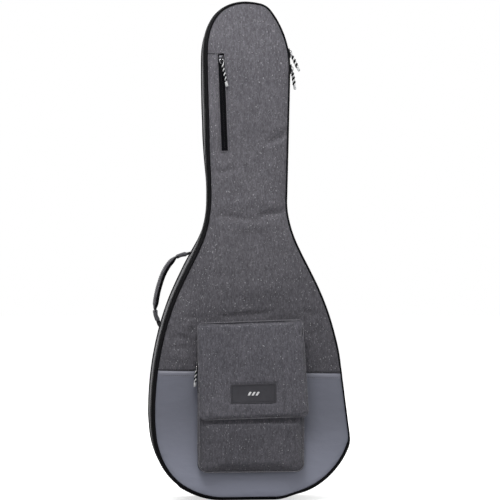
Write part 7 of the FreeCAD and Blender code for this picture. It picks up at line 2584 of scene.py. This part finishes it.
build_edges()
build_gusset()
build_back()
build_spine()
build_pocket()
build_flap()
build_neck_zip()
build_sliders()
build_side_handle()
build_rear_fittings()
for side_ in ("left", "right"):
    build_strap(side_)
build_inside()

# any CAD part still showing gets a procedural material that suits it
FALLBACK = {
    "front_panel_fabric": "heather", "front_lower_panel": "coated", "front_foam": "lining", "front_lining": "lining", "front_piping": "piping",
    "front_zip_tape": "tape", "front_zip_coil": "coil", "bridge_guard_patch": "guard", "neck_pocket_liner": "lining_dark", "neck_zip_tape": "tape",
    "neck_zip_coil": "coil", "pocket_gusset": "heather_pocket", "pocket_face": "heather_pocket", "pocket_zip_tape": "tape", "pocket_zip_coil": "coil",
    "pocket_loop_strip": "hook_tape", "back_panel_fabric": "heather", "back_panel_foam": "lining", "back_panel_lining": "lining", "gusset_fabric": "side",
    "gusset_foam": "lining", "gusset_lining": "lining", "back_piping": "piping", "rear_zip_tape": "tape", "rear_zip_coil": "coil", "spine_strip": "side",
    "base_bumper": "rubber",
}
for node_name, mat_name in FALLBACK.items():
    ob = bpy.data.objects.get(node_name)
    if ob is not None and ob.type == "MESH":
        ob.data.materials.clear()
        ob.data.materials.append(M[mat_name])

# ================================================================ floor, camera and light
def build_stage():
    n = 48
    verts, faces = [], []
    for k, r in enumerate((0.0, 1.2, 3.0, 7.0, 14.0)):
        for i in range(n):
            a = 2 * math.pi * i / n
            verts.append((r * math.cos(a) if r else 0.001 * math.cos(a), r * math.sin(a) if r else 0.001 * math.sin(a), -0.0002))
    for k in range(4):
        for i in range(n):
            j = (i + 1) % n
            faces.append((k * n + i, k * n + j, (k + 1) * n + j, (k + 1) * n + i))
    faces.append(tuple(range(n)))
    me = bpy.data.meshes.new("studio_floor")
    me.from_pydata(verts, [], faces)
    me.update()
    ob = bpy.data.objects.new("studio_floor", me)
    COL.objects.link(ob)
    mt = bpy.data.materials.new("mat_floor")
    mt.use_nodes = True
    b = mt.node_tree.nodes.get("Principled BSDF")
    b.inputs["Base Color"].default_value = (0.90, 0.90, 0.90, 1)
    b.inputs["Roughness"].default_value = 0.95
    b.inputs["Specular IOR Level"].default_value = 0.1
    b.inputs["Emission Color"].default_value = (1, 1, 1, 1)
    nt = mt.node_tree
    lp = nt.nodes.new("ShaderNodeLightPath")
    em = nt.nodes.new("ShaderNodeMapRange")
    em.inputs["To Min"].default_value = 0.0
    em.inputs["To Max"].default_value = 0.62
    nt.links.new(lp.outputs["Is Camera Ray"], em.inputs["Value"])
    nt.links.new(em.outputs["Result"], b.inputs["Emission Strength"])
    cm = nt.nodes.new("ShaderNodeMix")
    cm.data_type = "RGBA"
    nt.links.new(lp.outputs["Is Camera Ray"], cm.inputs[0])
    cm.inputs[6].default_value = (0.40, 0.40, 0.41, 1)
    cm.inputs[7].default_value = (0.88, 0.88, 0.88, 1)
    nt.links.new(cm.outputs[2], b.inputs["Base Color"])
    me.materials.append(mt)
    return ob


LEAN_Z = [0, 120, 330, 470, 540, 566, 600, 640, 720, 770, 815, 900, 990, 1060, 1130]
LEAN_S = [0, 1.2, 1.4, 1.0, 0.2, 1.6, 8.0, 9.4, 9.4, 7.4, 5.0, 4.2, 5.4, 6.0, 6.0]


def lean_back():
    """The soft back half sits a little to one side of the front, most at the neck."""
    zz = np.linspace(0, 1130, 400)
    ss = np.interp(zz, LEAN_Z, LEAN_S)
    k = np.exp(-(np.arange(-30, 31) / 8.0) ** 2)
    ss = np.convolve(np.pad(ss, 30, mode="edge"), k / k.sum(), mode="valid")
    done = set()
    for o in MADE:
        if o.data.name in done or o.name.startswith(("grab_", "hang_")):
            continue
        done.add(o.data.name)
        mw = np.array(o.matrix_world)
        co = get_co(o)
        w = co @ mw[:3, :3].T + mw[:3, 3]
        x = w / MM
        push = np.interp(x[:, 2], zz, ss) * bump01((x[:, 1] + 45.0) / 118.0)
        if np.abs(push).max() < 0.01:
            continue
        w = w + np.stack([push, 0 * push, 0 * push], 1) * MM
        inv = np.linalg.inv(mw)
        set_co(o, w @ inv[:3, :3].T + inv[:3, 3])


lean_back()
floor = build_stage()


def area_light(name, loc, target, size, power, color=(1, 1, 1)):
    ld = bpy.data.lights.new(name, "AREA")
    ld.shape = "RECTANGLE"
    ld.size, ld.size_y = size
    ld.energy = power
    ld.color = color
    ob = bpy.data.objects.new(name, ld)
    COL.objects.link(ob)
    ob.location = loc
    d = Vector(target) - Vector(loc)
    ob.rotation_euler = d.to_track_quat("-Z", "Y").to_euler()
    return ob


key = area_light("key_light", (-0.40, -1.20, 1.92), (0, 0, 0.85), (1.1, 0.9), 27)
fill = area_light("fill_light", (2.4, -3.0, 1.6), (0, 0, 0.5), (2.2, 2.2), 12)
rim = area_light("rim_light", (-1.6, 2.2, 2.4), (0, 0, 0.6), (1.8, 1.8), 34)
top = area_light("top_light", (1.5, 1.8, 2.6), (0, 0, 0.3), (2.0, 2.0), 20)
side = area_light("side_light", (3.2, 0.5, 1.5), (0, 0, 0.6), (2.0, 2.0), 22)
back = area_light("back_light", (-0.6, 3.4, 1.7), (0, 0, 0.6), (2.0, 2.0), 16)

cd = bpy.data.cameras.new("main_camera")
cd.lens = 160.7
cd.sensor_width = 36
cd.clip_end = 40
cam = bpy.data.objects.new("main_camera", cd)
COL.objects.link(cam)
cam.location = (-0.5959, -5.0428, 0.5643)
aim = Vector((-0.00389, -0.078, 0.5643))
cam.rotation_euler = (aim - Vector(cam.location)).to_track_quat("-Z", "Y").to_euler()
bpy.context.scene.camera = cam

world = bpy.data.worlds.new("studio")
world.use_nodes = True
wt = world.node_tree
wbg = wt.nodes["Background"]
w_tc = wt.nodes.new("ShaderNodeTexCoord")
w_sep = wt.nodes.new("ShaderNodeSeparateXYZ")
wt.links.new(w_tc.outputs["Generated"], w_sep.inputs[0])
w_up = wt.nodes.new("ShaderNodeMapRange")
w_up.inputs["From Min"].default_value = -0.15
w_up.inputs["From Max"].default_value = 1.0
w_up.inputs["To Min"].default_value = 0.16
w_up.inputs["To Max"].default_value = 0.62
wt.links.new(w_sep.outputs["Z"], w_up.inputs["Value"])
w_lp = wt.nodes.new("ShaderNodeLightPath")
w_mix = wt.nodes.new("ShaderNodeMix")
w_mix.data_type = "FLOAT"
wt.links.new(w_lp.outputs["Is Camera Ray"], w_mix.inputs[0])
wt.links.new(w_up.outputs["Result"], w_mix.inputs[2])
w_mix.inputs[3].default_value = 1.0
wbg.inputs[0].default_value = (1, 1, 1, 1)
wt.links.new(w_mix.outputs[0], wbg.inputs[1])
bpy.context.scene.world = world
bpy.context.scene.view_settings.view_transform = "Standard"
bpy.context.scene.view_settings.look = "None"

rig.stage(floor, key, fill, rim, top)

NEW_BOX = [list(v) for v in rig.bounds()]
try:
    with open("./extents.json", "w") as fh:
        json.dump({"cad": CAD_BOX, "scene": NEW_BOX}, fh)
except OSError:
    pass
